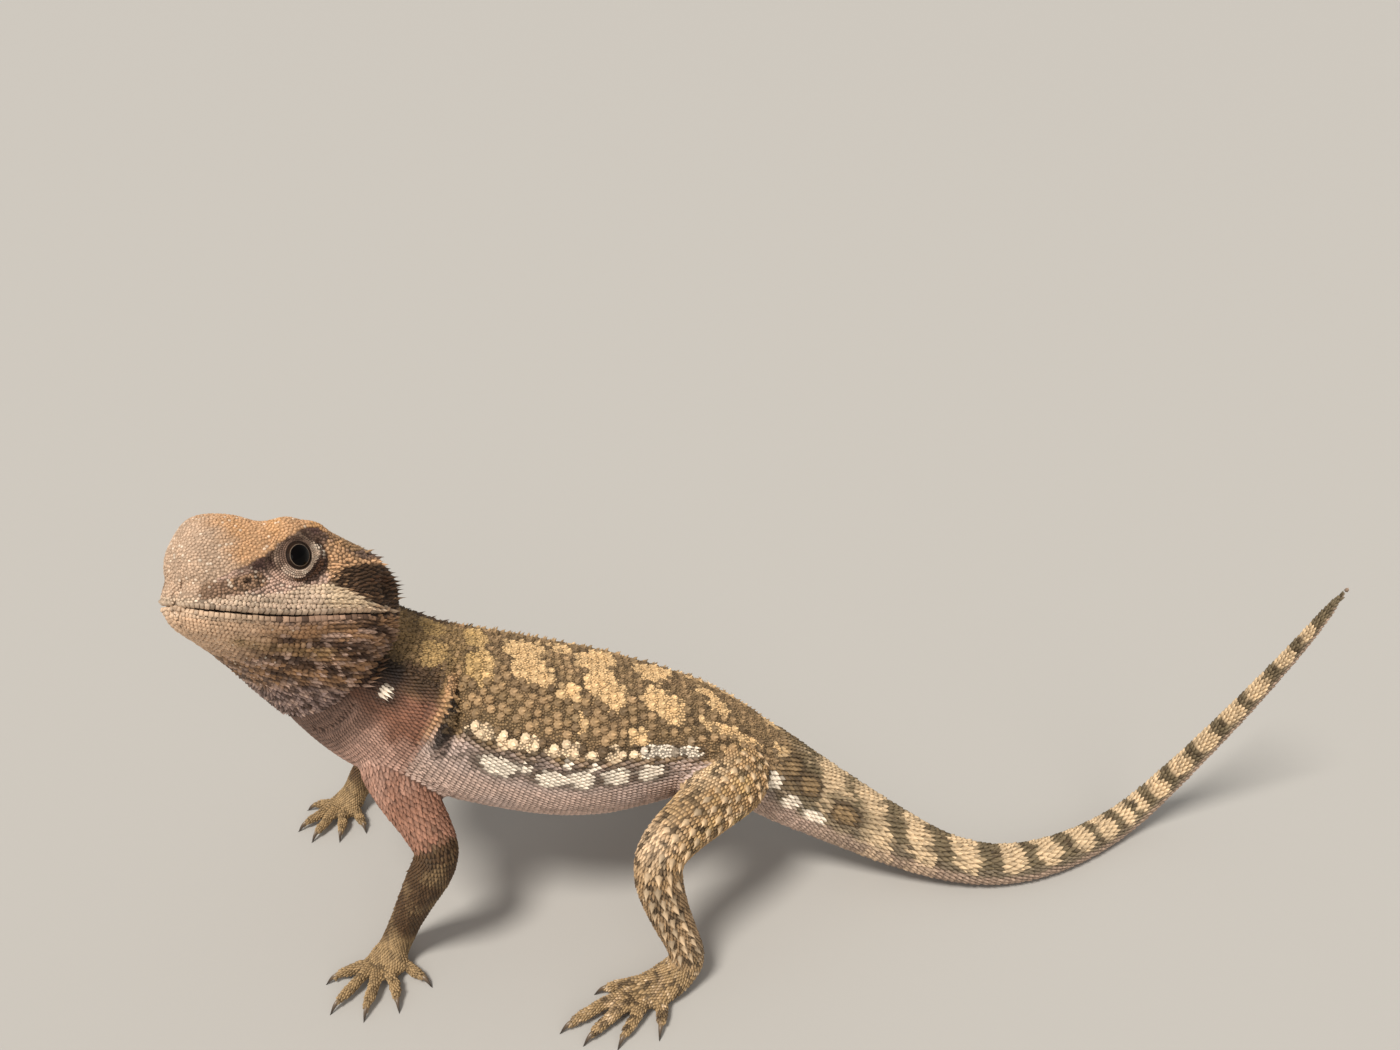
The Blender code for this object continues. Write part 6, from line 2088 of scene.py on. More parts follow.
@dataclass(frozen=True)
class HideFinish:
    """The finish of scales or skin: the painted shade low down and the painted light on its tips."""

    name: str
    low_shade: float
    tip_light: float
    variation: float
    grain: float
    roughness: float
    bump: float
    bump_depth: float = 0.0001
    specular: float = 0.35

    def build(self, detail: HideDetail) -> Material:
        """Make the material from the shared group.

        Args:
            detail: The shared shader group.

        Returns:
            The material.
        """
        material = plain_material(self.name, {"Specular IOR Level": self.specular})
        tree = material.node_tree
        group = add_node(tree, "ShaderNodeGroup", {
            "Tone": attribute_of(tree, "tone").outputs["Color"],
            "Tip": attribute_of(tree, "tip").outputs["Fac"],
            "Mood": attribute_of(tree, "mood").outputs["Fac"],
            "Low Shade": self.low_shade, "Tip Light": self.tip_light, "Variation": self.variation,
            "Grain Size": self.grain, "Roughness": self.roughness,
        }, node_tree=detail.tree)
        bump = add_node(tree, "ShaderNodeBump", {
            "Strength": self.bump, "Distance": self.bump_depth, "Height": group.outputs["Height"],
        })
        feed_shader(material, {
            "Base Color": group.outputs["Color"], "Roughness": group.outputs["Roughness"],
            "Normal": bump.outputs["Normal"],
        })
        return material


@dataclass(frozen=True)
class RampFinish:
    """A finish whose colour follows the "ring" attribute, as on the iris and along a claw."""

    name: str
    stops: tuple
    roughness: float
    coat: float
    coat_roughness: float = 0.03
    specular: float = 0.5
    coat_index: float = 1.5
    grain: float = 3000.0
    blur: float = 0.02

    def build(self) -> Material:
        """Make the material.

        Returns:
            The material.
        """
        material = plain_material(self.name, {
            "Roughness": self.roughness, "Coat Weight": self.coat, "Coat Roughness": self.coat_roughness,
            "Coat IOR": self.coat_index, "Specular IOR Level": self.specular,
        })
        tree = material.node_tree
        place = add_node(tree, "ShaderNodeTexCoord", {}).outputs["Object"]
        noise = add_node(tree, "ShaderNodeTexNoise", {"Vector": place, "Scale": self.grain})
        blurred = add_node(tree, "ShaderNodeMath", {
            0: noise.outputs["Fac"], 1: self.blur, 2: attribute_of(tree, "ring").outputs["Fac"],
        }, operation="MULTIPLY_ADD")
        ramp = add_node(tree, "ShaderNodeValToRGB", {"Fac": blurred.outputs["Value"]})
        elements = ramp.color_ramp.elements
        while len(elements) < len(self.stops):
            elements.new(0.5)
        for element, (at, colour) in zip(elements, self.stops):
            element.position = at
            element.color = (*colour, 1.0)
        feed_shader(material, {"Base Color": ramp.outputs["Color"]})
        return material


IRIS_SPAN = 4.0
EYE_FINISH = RampFinish("eye_wet", (
    (0.0, (0.001, 0.001, 0.001)), (0.376, (0.002, 0.001, 0.001)), (0.386, (0.06, 0.045, 0.035)),
    (0.394, (0.30, 0.23, 0.17)), (0.402, (0.06, 0.035, 0.022)), (0.43, (0.022, 0.012, 0.008)),
    (0.60, (0.05, 0.03, 0.02)), (1.0, (0.02, 0.012, 0.008)),
), 0.25, 0.7, 0.05, 0.02, 1.2)
CLAW_FINISH = RampFinish("claw_horn", (
    (0.0, (0.26, 0.18, 0.10)), (0.35, (0.13, 0.085, 0.05)), (0.75, (0.045, 0.03, 0.02)),
    (1.0, (0.02, 0.015, 0.012)),
), 0.38, 0.3, 0.2)
# Each finish paints shade low down and light at the tips; the bare skin is painted at about a third of its
# tone, painted shade between the scales.
SCALE_FINISH = HideFinish("scaly_hide", 0.55, 0.66, 0.42, 2600.0, 0.62, 0.35)
FACE_FINISH = HideFinish("fine_hide", 0.80, 0.30, 0.36, 2800.0, 0.55, 0.25)
SKIN_FINISH = HideFinish("bare_hide", 0.34, 0.0, 0.0, 2200.0, 0.78, 0.6)


@dataclass
class Roots:
    """Where scales grow: places, lies, sizes and colours, one a row, in one coat region."""

    region: str
    shape: Shape
    place: Rows
    lie: Rows
    size: Rows
    map: Rows
    tone: Rows
    normal: Rows | None = None

    ROWS: ClassVar[tuple] = ("place", "lie", "size", "map", "tone", "normal")

    def only(self, keep: Rows) -> "Roots":
        """Return the roots that a mask or a list of numbers keeps."""
        return Roots(self.region, self.shape, *(getattr(self, key)[keep] for key in self.ROWS))


class Surface:
    """The finished skin as a surface to set things on."""

    def __init__(self, skin: Object) -> None:
        """Read the skin's triangles and make its tree.

        Args:
            skin: The finished skin, in millimetres.
        """
        mesh = skin.data
        mesh.calc_loop_triangles()
        corners = np.zeros(len(mesh.loop_triangles) * 3, np.int32)
        mesh.loop_triangles.foreach_get("vertices", corners)
        self.triangles = corners.reshape(-1, 3)
        self.points = read_points(mesh)
        self.normals = read_normals(mesh)
        self.tree = BVHTree.FromPolygons(self.points.tolist(), self.triangles.tolist())

    def land(self, roots: Roots, limit: float) -> Roots:
        """Set roots on the skin and drop those that lie too far from it or on the floor.

        Args:
            roots: The roots, without their outward directions.
            limit: How far from the skin they may lie.

        Returns:
            The roots on the skin, with its directions.
        """
        place, normal = np.zeros_like(roots.place), np.zeros_like(roots.place)
        keep = np.zeros(len(place), bool)
        for i, point in enumerate(roots.place.tolist()):
            near, _, index, away = self.tree.find_nearest(point, limit)
            if near is not None:
                keep[i] = True
                place[i] = near
                normal[i] = self.normals[self.triangles[index]].mean(axis=0)
        roots.place, roots.normal = place, unit(normal)
        return roots.only(keep & (place[:, 2] > FLOOR_CLEARANCE * 1.5))

    def scatter(self, room: float, chance: np.random.Generator) -> tuple[Rows, Rows]:
        """Return random places on the skin in random order, and its directions there.

        Args:
            room: The side of the square that each place has on average.
            chance: The source of chance.

        Returns:
            Places and outward directions.
        """
        corners = self.points[self.triangles]
        legs = corners[:, 1:] - corners[:, :1]
        area = np.linalg.norm(np.cross(legs[:, 0], legs[:, 1]), axis=1) / 2
        index = chance.permutation(np.repeat(np.arange(len(area)), chance.poisson(area / room ** 2)))
        first, second = chance.uniform(size=(2, len(index)))
        over = first + second > 1.0
        first, second = np.where(over, 1.0 - first, first), np.where(over, 1.0 - second, second)
        weight = np.stack([1.0 - first - second, first, second], -1)[..., None]
        places = (corners[index] * weight).sum(axis=1)
        return places, unit((self.normals[self.triangles[index]] * weight).sum(axis=1))


class Guide:
    """Finds which track or the head a point of the skin belongs to, and where on it."""

    def __init__(self, head: Head, spine: Track, limbs: list[Limb]) -> None:
        """Lay a coarse net over every track and the head.

        Args:
            head: The head.
            spine: The track of the neck, trunk and tail.
            limbs: The limbs with their digits.
        """
        points, faces, self.owner, self.at, self.angle = [], [], [], [], []
        tracks = [(spine, 64, 0.9)]
        for limb in limbs:
            tracks.append((limb.track, 40, 0.7))
            tracks += [(toe, 12, 0.5) for toe in limb.toes]
        self.tracks = [track for track, _, _ in tracks]
        for number, (track, sides, gap) in enumerate(tracks):
            rows = int(track.lengths[-1] / gap)
            at, angle = track.places(np.linspace(0.0, track.lengths[-1], rows)), turns(sides)
            grid = track.surface(at, angle[None, :].repeat(rows, 0))
            self._add(points, faces, grid, number, at, angle)
        grid = head.out(head.shaped(head.grid()[::3, ::3]))
        self._add(points, faces, grid, -1, np.zeros(len(grid)), np.zeros(grid.shape[1]))
        self.owner, self.at, self.angle = np.array(self.owner), np.array(self.at), np.array(self.angle)
        self.tree = BVHTree.FromPolygons(points, faces)

    def _add(self, points: list, faces: list[tuple], grid: Rows, number: int, at: Rows, angle: Rows) -> None:
        """Add the net of one grid, with its owner and place for each face.

        Args:
            points: Every net's points so far.
            faces: Every net's faces so far.
            grid: The rings of the new net.
            number: Whose it is.
            at: The place of each ring.
            angle: The angle of each column.
        """
        faces += side_faces(grid.shape[0], grid.shape[1], len(points))
        points += grid.reshape(-1, 3).tolist()
        middle, column = net((at[:-1] + at[1:]) / 2, angle)
        self.owner += [number] * middle.size
        self.at += middle.ravel().tolist()
        self.angle += column.ravel().tolist()

    def find(self, points: Rows) -> tuple[Rows, Rows, Rows]:
        """Return the owner, place and angle (from -pi to pi) of each point.

        Args:
            points: Points of the skin.

        Returns:
            The number of the track (-1 for the head), the place along it and the angle round it.
        """
        index = np.array([self.tree.find_nearest(p)[2] for p in points.tolist()])
        angle = (self.angle[index] + math.pi) % FULL_TURN - math.pi
        return self.owner[index], self.at[index], angle


def with_alpha(tone: Rows) -> Rows:
    """Return colours with a fourth value of one."""
    return np.concatenate([tone, np.ones((len(tone), 1))], 1).astype(np.float32)


def kept(choice: Rows, *rows: Rows) -> list[Rows]:
    """Return what a mask or a list of numbers keeps of several arrays."""
    return [values[choice] for values in rows]


def tree_of(places: Rows) -> KDTree:
    """Return a tree of places.

    Args:
        places: The places.

    Returns:
        The tree, to find the nearest place with.
    """
    tree = KDTree(len(places))
    for i, place in enumerate(places.tolist()):
        tree.insert(place, i)
    tree.balance()
    return tree


def on_map(share: Rows, around: Rows, along: tuple = (0.03, 0.94), wide: tuple = (0.03, 0.94)) -> Rows:
    """Return places on the bake map.

    Args:
        share: How far along their part the roots stand, from 0 to 1.
        around: How far round it, from 0 to 1.
        along: Where the part starts on the map, and how long it is there.
        wide: Where it starts the other way, and how wide it is.

    Returns:
        One place on the map for each root.
    """
    return np.stack([along[0] + along[1] * share, wide[0] + wide[1] * around, np.zeros_like(share)], -1)


@dataclass(frozen=True)
class Gap:
    """A gap between scales that changes from key to key: places along a track, or degrees from its top."""

    keys: tuple
    sizes: tuple
    by_side: bool = False

    def at(self, place: Rows, side: Rows | float = 0.0) -> Rows:
        """Return the gap at places and degrees from the top."""
        return np.interp(side if self.by_side else place, self.keys, self.sizes)


@dataclass(frozen=True)
class SpineGap:
    """The gap round the rings of the spine, finer at the belly and on the neck."""

    top: Gap = Gap((2.0, 4.0, 9.0, 11.0, 14.0, 19.0, 25.0), (0.72, 0.96, 0.96, 0.92, 0.95, 0.82, 0.5))
    belly: Gap = Gap((2.0, 4.0, 10.0, 14.0, 25.0), (0.55, 0.60, 0.62, 0.8, 0.5))
    neck: Gap = Gap((3.4, 4.0), (0.66, 1.0))

    def at(self, place: Rows, side: Rows) -> Rows:
        """Return the gap at places and degrees from the top.

        Args:
            place: Places along the spine.
            side: Degrees from its top.

        Returns:
            The gap at each place.
        """
        top = self.top.at(place)
        top = np.where(side > 45, top * self.neck.at(place), top)
        return top + (self.belly.at(place) - top) * step_up(side, 62, 82)


@dataclass(frozen=True)
class RowGap:
    """The gap along a row of the head: a size by the place, times a factor by how low the row lies."""

    places: tuple
    sizes: tuple
    depths: tuple = (0.0,)
    factors: tuple = (1.0,)

    def at(self, offset: Rows | float, x: Rows) -> Rows:
        """Return the gap in rows at offsets from the mouth, at places along the head."""
        return np.interp(x, self.places, self.sizes) * np.interp(-offset, self.depths, self.factors)


@dataclass(frozen=True)
class LimbCoat:
    """The scales of a limb: their gaps, height against width, and how big and pale its spikes are."""

    row: Gap
    across: Gap
    height: float
    upper_height: float
    spike: float
    spike_cream: float = 0.0


# The coats of the arms and legs, their gaps given at places along the limb from the shoulder or hip.
LIMB_KEYS = (0.0, 2.0, 3.4, 4.2, 8.0, 10.0)
ARM_COAT = LimbCoat(
    Gap(LIMB_KEYS, (0.66, 1.06, 1.00, 0.58, 0.54, 0.50)),
    Gap(LIMB_KEYS, (0.62, 0.96, 0.92, 0.56, 0.54, 0.50)),
    0.34, 0.75, 1.3,
)
LEG_COAT = LimbCoat(
    Gap(LIMB_KEYS, (0.70, 0.76, 0.74, 0.72, 0.58, 0.52)),
    Gap(LIMB_KEYS, (0.58, 0.62, 0.62, 0.62, 0.54, 0.52)),
    0.46, 0.85, 2.2, 0.4,
)


# Where the spine is covered, the gap between its rings, and the regions along it.
SPINE_COVER = (1.6, 24.85)
SPINE_ROWS = Gap((2.0, 4.0, 9.0, 11.0, 14.0, 19.0, 25.0), (0.66, 0.84, 0.84, 0.90, 1.15, 1.05, 0.7))
SPINE_REGIONS = (("neck", 0.0, 3.7), ("trunk", 3.7, 11.0), ("tail", 11.0, 25.0))

# Where rosettes grow: from where to where, and down to how many degrees from the top at which places.
BACK = (2.0, 11.3)
BACK_EDGE = ((2.2, 3.6, 3.8, 3.96, 9.6, 11.3), (40.0, 44.0, 40.0, 66.0, 66.0, 50.0))

# The rosettes of the nape and of the back: start, end, gap between rings, least and most gap in a ring,
# and between which degrees from the top the gap in a ring grows.
ROSETTES = ((2.1, 3.75, 1.10, 0.95, 1.05), (3.95, 11.3, 1.78, 1.30, 1.84))
ROSETTE_WIDENING = (6.0, 22.0)

# The rows of plates on the lips: how far each lies from the mouth, and how tall its plates are.
LIP_ROWS = ((0.76, 0.98), (-0.88, 0.80))
LIP_GAP = RowGap((0.0, 12.0, 20.0, 29.0), (0.92, 1.0, 0.88, 0.58))

# The rows over the lips: how far from the mouth, how wide their scales, and from where to where.
CHEEK_ROWS = (
    (1.56, 0.80, 0.6, 27.6), (2.28, 0.76, 1.6, 26.4), (2.96, 0.70, 3.6, 21.0),
    (3.58, 0.64, 5.6, 18.4), (4.16, 0.58, 8.0, 17.0),
)
CHEEK_GAP = RowGap((0.0, 8.0, 14.0, 20.0, 29.0), (1.0, 0.95, 0.80, 0.66, 0.48))

# The rows of the lower jaw and throat: the first two, the last, and the spacing by how low they lie.
BEARD_FIRST = (-1.56, -2.20)
BEARD_LAST = -34.0
BEARD_SPACING = ((1.5, 4.0, 8.0, 13.0, 18.0, 26.0), (0.64, 0.80, 0.90, 0.82, 0.62, 0.54))
BEARD_GAP = RowGap(
    (-2.0, 6.0, 18.0, 29.0), (1.10, 1.02, 0.80, 0.48), (1.0, 4.0, 10.0, 22.0), (0.92, 1.0, 0.94, 0.72)
)

# The rings of beads on the lids: the first gap, how much each next one grows, the widest, and the last tilt.
LID_GAPS = (0.24, 0.035, 0.40)
LID_LAST_TILT = 1.42


@dataclass
class Coat:
    """The coat of scales: where each grows, how it lies and how big it is."""

    # How finely half a ring is measured, and the round opening over an eye that stays free.
    ARC_STEPS = 181
    OVER_EYE = 1.96

    # How close roots may stand, as a share of a scale's smaller side, and behind where the head is keeled.
    CLOSEST = 0.58
    KEELED_BEHIND = 13.0

    # The spacing of the darts, the room each needs, the gaps between small scales on the limbs and on the
    # back, and the share of the snout's beads that are painted nearly white as painted glints.
    DART_GAP = 0.16
    DART_ROOM = 0.29
    JOIN_GAP = 0.60
    GRAIN_GAP = 0.36
    PAINTED_GLINTS = 0.06

    head: Head
    eyes: list[Eye]
    spine: Track
    limbs: list[Limb]
    surface: Surface
    hide: Hide
    regions: list[Roots] = field(default_factory=list)

    def rings(
        self, track: Track, start: float, end: float, row: Gap, across: Gap | SpineGap
    ) -> tuple[Rows, Rows, Rows, Rows]:
        """Lay rings of roots round a track, each filled from the top both ways.

        Args:
            track: The track to cover.
            start: Where to begin, in rings.
            end: Where to stop, in rings.
            row: The gap between rings in millimetres.
            across: The gap round a ring.

        Returns:
            Places, angles, and the numbers of ring and of root in its ring.
        """
        length, last = track.along(np.array([start, end])).tolist()
        lengths = []
        while length < last:
            lengths.append(length)
            length += float(row.at(track.places(length)))
        at = track.places(np.array(lengths))
        half = np.linspace(0.0, math.pi, self.ARC_STEPS)
        made = []
        for sign in (1.0, -1.0):
            grid = track.surface(at, (half * sign)[None, :].repeat(len(at), 0))
            legs = np.linalg.norm(np.diff(grid, axis=1), axis=2)
            gap = across.at(at[:, None], np.degrees(half[1:])[None, :])
            count = np.concatenate([np.zeros((len(at), 1)), np.cumsum(legs / gap, axis=1)], axis=1)
            for i in range(len(at)):
                first = 0.5 if i % 2 else (0.0 if sign > 0 else 1.0)
                wanted = np.arange(first, count[i, -1] - 0.3, 1.0)
                angle = np.interp(wanted, count[i], half) * sign
                made.append(np.stack([np.full(len(angle), at[i]), angle, np.full(len(angle), i), wanted], -1))
        made = np.concatenate(made)
        return made[:, 0], made[:, 1], made[:, 2].astype(int), made[:, 3]

    def on_track(self, track: Track, at: Rows, angle: Rows) -> tuple[Rows, Rows]:
        """Return places on a track's surface and the directions along it to its end."""
        return track.surface(at, angle[:, None])[:, 0], track.frame(at)[1]

    def add(self, roots: Roots, limit: float = 0.8) -> None:
        """Set roots on the skin and keep them, apart from those in an eye or too close to earlier ones.

        Args:
            roots: The roots.
            limit: How far from the skin a root may be.
        """
        roots = self.surface.land(roots, limit)
        for eye in self.eyes:
            roots = roots.only(~eye.opening(roots.place, self.OVER_EYE))
        if self.regions:
            tree = self.taken()
            gap = np.minimum(roots.size[:, 0], roots.size[:, 1]) * self.CLOSEST
            free = np.array([tree.find(p)[2] > g for p, g in zip(roots.place.tolist(), gap)], bool)
            roots = roots.only(free)
        if len(roots.place):
            self.regions.append(roots)

    def taken(self) -> KDTree:
        """Return a tree of every root so far."""
        return tree_of(np.concatenate([r.place for r in self.regions]))

    def cover_spine(self) -> None:
        """Cover the neck, trunk and tail."""
        self._rosettes()
        across = SpineGap()
        at, angle, _, _ = self.rings(self.spine, *SPINE_COVER, SPINE_ROWS, across)
        side = np.degrees(np.abs(angle))
        at, angle, side = kept(~self.on_back(at, side), at, angle, side)
        place, lie = self.on_track(self.spine, at, angle)
        gap, step = across.at(at, side), SPINE_ROWS.at(at)
        low = step_up(side, 68, 84) * step_up(at, 11.5, 10.5)
        tail = step_up(at, 10.8, 13.0)
        noise = 1.0 + 0.10 * soft_noise(place, 1.6, 41)
        rosy = step_up(at, 3.75, 3.55) * step_up(side, 44, 58)
        high = gap * (0.46 - 0.22 * low + 0.04 * tail) * noise * (1.0 - 0.45 * rosy)
        size = np.stack([step * (1.02 + 0.06 * tail), gap * 1.15 * noise, high], -1)
        tone = self.hide.trunk(place, at, angle)
        for region, start, end in SPINE_REGIONS:
            here = (at >= start) & (at < end)
            lay = on_map((at - start) / (end - start), angle / FULL_TURN + 0.5)
            self.add(Roots(region, Shape.KEEL, *kept(here, place, lie, size, lay, tone)), 0.9)

    def on_back(self, at: Rows, side: Rows) -> Rows:
        """Tell the places of the back and flanks, where cones stand among small scales."""
        return (at > BACK[0]) & (at < BACK[1]) & (side < np.interp(at, *BACK_EDGE))

    def _rosettes(self) -> None:
        """Set the rosettes of the nape, back and flanks, each a little out of line."""
        chance = np.random.default_rng(SEED)
        for start, end, along, least, most in ROSETTES:
            gap = Gap(ROSETTE_WIDENING, (least, most), True)
            at, angle, _, _ = self.rings(self.spine, start, end, Gap((0.0,), (along,)), gap)
            at = at + chance.uniform(-0.05, 0.05, len(at))
            angle = angle + chance.uniform(-0.022, 0.022, len(at))
            side = np.degrees(np.abs(angle))
            at, angle, side = kept(self.on_back(at, side), at, angle, side)
            place, lie = self.on_track(self.spine, at, angle)
            wide = gap.at(at, side) * chance.uniform(0.80, 0.98, len(at))
            wide = wide * np.interp(at, (8.5, 11.3), (1.0, 0.8))
            tall = np.interp(side, (10.0, 26.0), (0.40, 0.48)) - 0.14 * self.hide.paleness(place, at, angle)
            tall = tall * chance.uniform(0.8, 1.2, len(at))
            size = np.stack([wide, wide, wide * tall], -1)
            lay = on_map((at - 2.0) / 9.4, angle / FULL_TURN + 0.5)
            tone = self.hide.trunk(place, at, angle, 1.0) * chance.uniform(0.90, 1.10, (len(at), 1))
            self.add(Roots("trunk", Shape.CONE, place, lie, size, lay, tone))

    def cover_limbs(self) -> None:
        """Cover the limbs and their digits."""
        even = Gap((0.0,), (0.50,))
        for limb in self.limbs:
            self._cover_limb(limb, ARM_COAT if limb.name.startswith("arm") else LEG_COAT)
            for i, toe in enumerate(limb.toes):
                at, angle, _, _ = self.rings(toe, 0.6, toe.last - 0.35, even, even)
                place, lie = self.on_track(toe, at, angle)
                size = np.tile(np.array([0.54, 0.58, 0.22]), (len(at), 1))
                lay = on_map(at / toe.last, angle / FULL_TURN + 0.5, (0.66, 0.3), (0.03 + 0.19 * i, 0.17))
                tone = self.tone_on(toe, place, at, angle)
                self.add(Roots(limb.name, Shape.KEEL, place, lie, size, lay, tone), 0.5)

    def _cover_limb(self, limb: Limb, coat: LimbCoat) -> None:
        """Cover a limb down to its palm, with spikes along a part of it.

        Args:
            limb: The limb.
            coat: The sizes of its scales.
        """
        track = limb.track
        at, angle, ring, number = self.rings(track, 0.8, track.last - 0.05, coat.row, coat.across)
        place, lie = self.on_track(track, at, angle)
        noise = 1.0 + 0.10 * soft_noise(place, 1.3, 43)
        if limb.name.startswith("arm"):
            there = (at > 4.0) & (at < 7.0) & (np.abs(angle) < 1.6)
        else:
            behind = -angle if limb.name.endswith("left") else angle
            there = (at < 7.4) & (behind > 0.5) & (behind < 2.0)
        spiky = (ring % 3 == 0) & (np.floor(number) % 3 == 0) & there
        high = coat.height * np.where(at < 4.0, coat.upper_height, 1.0)
        big = np.where(spiky, coat.spike, 1.0)
        width = coat.across.at(at)
        tall = width * high * noise * big
        size = np.stack([coat.row.at(at) * 1.06 * big, width * 1.14 * noise * big, tall], -1)
        lay = on_map(at / track.last, angle / FULL_TURN + 0.5, (0.03, 0.6))
        tone = self.tone_on(track, place, at, angle)
        pale = coat.spike_cream
        tone[spiky] = tone[spiky] * (1.0 - pale) + np.array(self.hide.paint.cream) * pale
        for shape, part in ((Shape.THORN, spiky), (Shape.KEEL, ~spiky)):
            self.add(Roots(limb.name, shape, *kept(part, place, lie, size, lay, tone)), 0.7)

    def head_rows(
        self, offsets: tuple, gap: RowGap, start: float = -2.6, end: float = 29.4
    ) -> tuple[Rows, Rows, Rows]:
        """Lay rows of roots on both sides of the head at arc lengths above (or below) the mouth.

        Args:
            offsets: How far each row lies from the line of the mouth, below it where negative.
            gap: The gap between its roots.
            start: The rearmost place, along the head.
            end: The foremost place.

        Returns:
            Places and backward directions in the head's frame, and the offsets.
        """
        grid = self.head.shaped(self.head.grid())
        grid = grid[:, : self.head.sides_over + self.head.sides_under]
        mouth = self.head.sides_over - 1
        legs = np.linalg.norm(np.diff(grid, axis=1), axis=2)
        length = np.concatenate([np.zeros((len(grid), 1)), np.cumsum(legs, axis=1)], axis=1)
        made = []
        for number, offset in enumerate(offsets):
            drawn_in = np.interp(grid[:, mouth, 0], (-1.0, 12.0), (0.60, 1.0)) if offset > 1.0 else 1.0
            wanted = length[:, mouth] - offset * drawn_in
            there = (wanted > 0.25) & (wanted < length[:, -1] - 0.25)
            there &= (grid[:, mouth, 0] > start) & (grid[:, mouth, 0] < end)
            if there.sum() < 4:
                continue
            row = np.stack([
                [np.interp(w, length[i], grid[i, :, k]) for i, w in zip(np.nonzero(there)[0], wanted[there])]
                for k in range(3)
            ], -1)
            pace = np.concatenate([[0.0], np.cumsum(np.linalg.norm(np.diff(row, axis=0), axis=1))])
            fine = np.linspace(0, pace[-1], 400)
            here = np.interp(fine, pace, row[:, 0])
            count = np.concatenate([[0.0], np.cumsum(np.diff(fine) / gap.at(offset, here[1:]))])
            at = np.interp(np.arange(0.5 * (number % 2) + 0.2, count[-1], 1.0), count, fine)
            points, ahead, behind = (
                np.stack([np.interp(at + shift, pace, row[:, k]) for k in range(3)], -1)
                for shift in (0.0, 0.2, -0.2)
            )
            made.append(np.concatenate([points, unit(behind - ahead), np.full((len(at), 1), offset)], 1))
        made = np.concatenate(made)
        made = np.concatenate([made, made * np.array([1.0, -1.0, 1.0, 1.0, -1.0, 1.0, 1.0])])
        return made[:, :3], made[:, 3:6], made[:, 6]

    def head_map(self, local: Rows) -> Rows:
        """Unwrap places of the head by how far forward they lie and their angle round it."""
        around = np.arctan2(local[:, 1], local[:, 2] + 5.0) / FULL_TURN + 0.5
        return on_map((local[:, 0] + 16.0) / 47.0, around)

    def add_head(
        self, region: str, shape: Shape, local: Rows, back: Rows, size: Rows, limit: float = 0.9
    ) -> None:
        """Add roots given in the head's frame.

        Args:
            region: The region of the coat.
            shape: The scales' form.
            local: Their places.
            back: The way that their tips point.
            size: Their lengths, widths and heights.
            limit: How far from the skin they may be given.
        """
        place = self.head.out(local)
        tone = self.hide.skull(place, self.eyes)
        self.add(Roots(region, shape, place, self.head.turned(back), size, self.head_map(local), tone), limit)

    def cover_head(self) -> None:
        """Cover the lips, the spiky fringes, the lids and the beard; the rest is filled later."""
        for offset, tall in LIP_ROWS:
            local, back, _ = self.head_rows((offset,), LIP_GAP, 1.0)
            x = local[:, 0]
            tall_here = tall * np.interp(x, (0, 6, 14, 29), (0.6, 0.85, 1.0, 0.85))
            size = np.stack([LIP_GAP.at(0.0, x) * 0.92, tall_here, np.full(len(x), 0.26)], -1)
            self.add_head("lips", Shape.PLATE, local, back, size)
        self._fringes()
        self._lid_rows()
        self._cheek_rows()
        self._beard_rows()

    def _cheek_rows(self) -> None:
        """Set the rows over the lips, keeled behind the eye and beaded before it."""
        for offset, wide, start, end in CHEEK_ROWS:
            local, back, _ = self.head_rows((offset,), CHEEK_GAP, start, end)
            x = local[:, 0]
            long = CHEEK_GAP.at(0.0, x)
            wide_here = wide * np.interp(x, (-1.0, 12.0, 20.0, 28.0), (0.72, 1.05, 0.95, 0.85))
            size = np.stack([long * 1.02, wide_here, 0.24 * long ** 0.5], -1)
            rear = x < self.KEELED_BEHIND
            for region, shape, part in (("lips", Shape.KEEL, rear), ("crown", Shape.BEAD, ~rear)):
                self.add_head(region, shape, *kept(part, local, back, size))

    def _beard_rows(self) -> None:
        """Set the rows of the lower jaw and throat, keeled at the rear and beaded at the chin."""
        rows = list(BEARD_FIRST)
        while rows[-1] > BEARD_LAST:
            rows.append(rows[-1] - float(np.interp(-rows[-1], *BEARD_SPACING)))
        local, back, offset = self.head_rows(tuple(rows), BEARD_GAP)
        wide = np.interp(-offset, *BEARD_SPACING)
        taller = np.interp(local[:, 0], (-3.0, 4.0, 12.0, 22.0), (1.7, 1.25, 1.0, 0.75))
        noise = 1.0 + 0.20 * soft_noise(local, 1.4, 45)
        long = BEARD_GAP.at(offset, local[:, 0])
        size = np.stack([long, wide * 1.10 * noise, wide * 0.40 * taller * noise], -1)
        rear = local[:, 0] < self.KEELED_BEHIND + 2.0 * soft_noise(local, 2.0, 46)
        size[~rear] *= np.array([1.06, 1.0, 0.9])
        for shape, part in ((Shape.KEEL, rear), (Shape.BEAD, ~rear)):
            self.add_head("beard", shape, *kept(part, local, back, size))

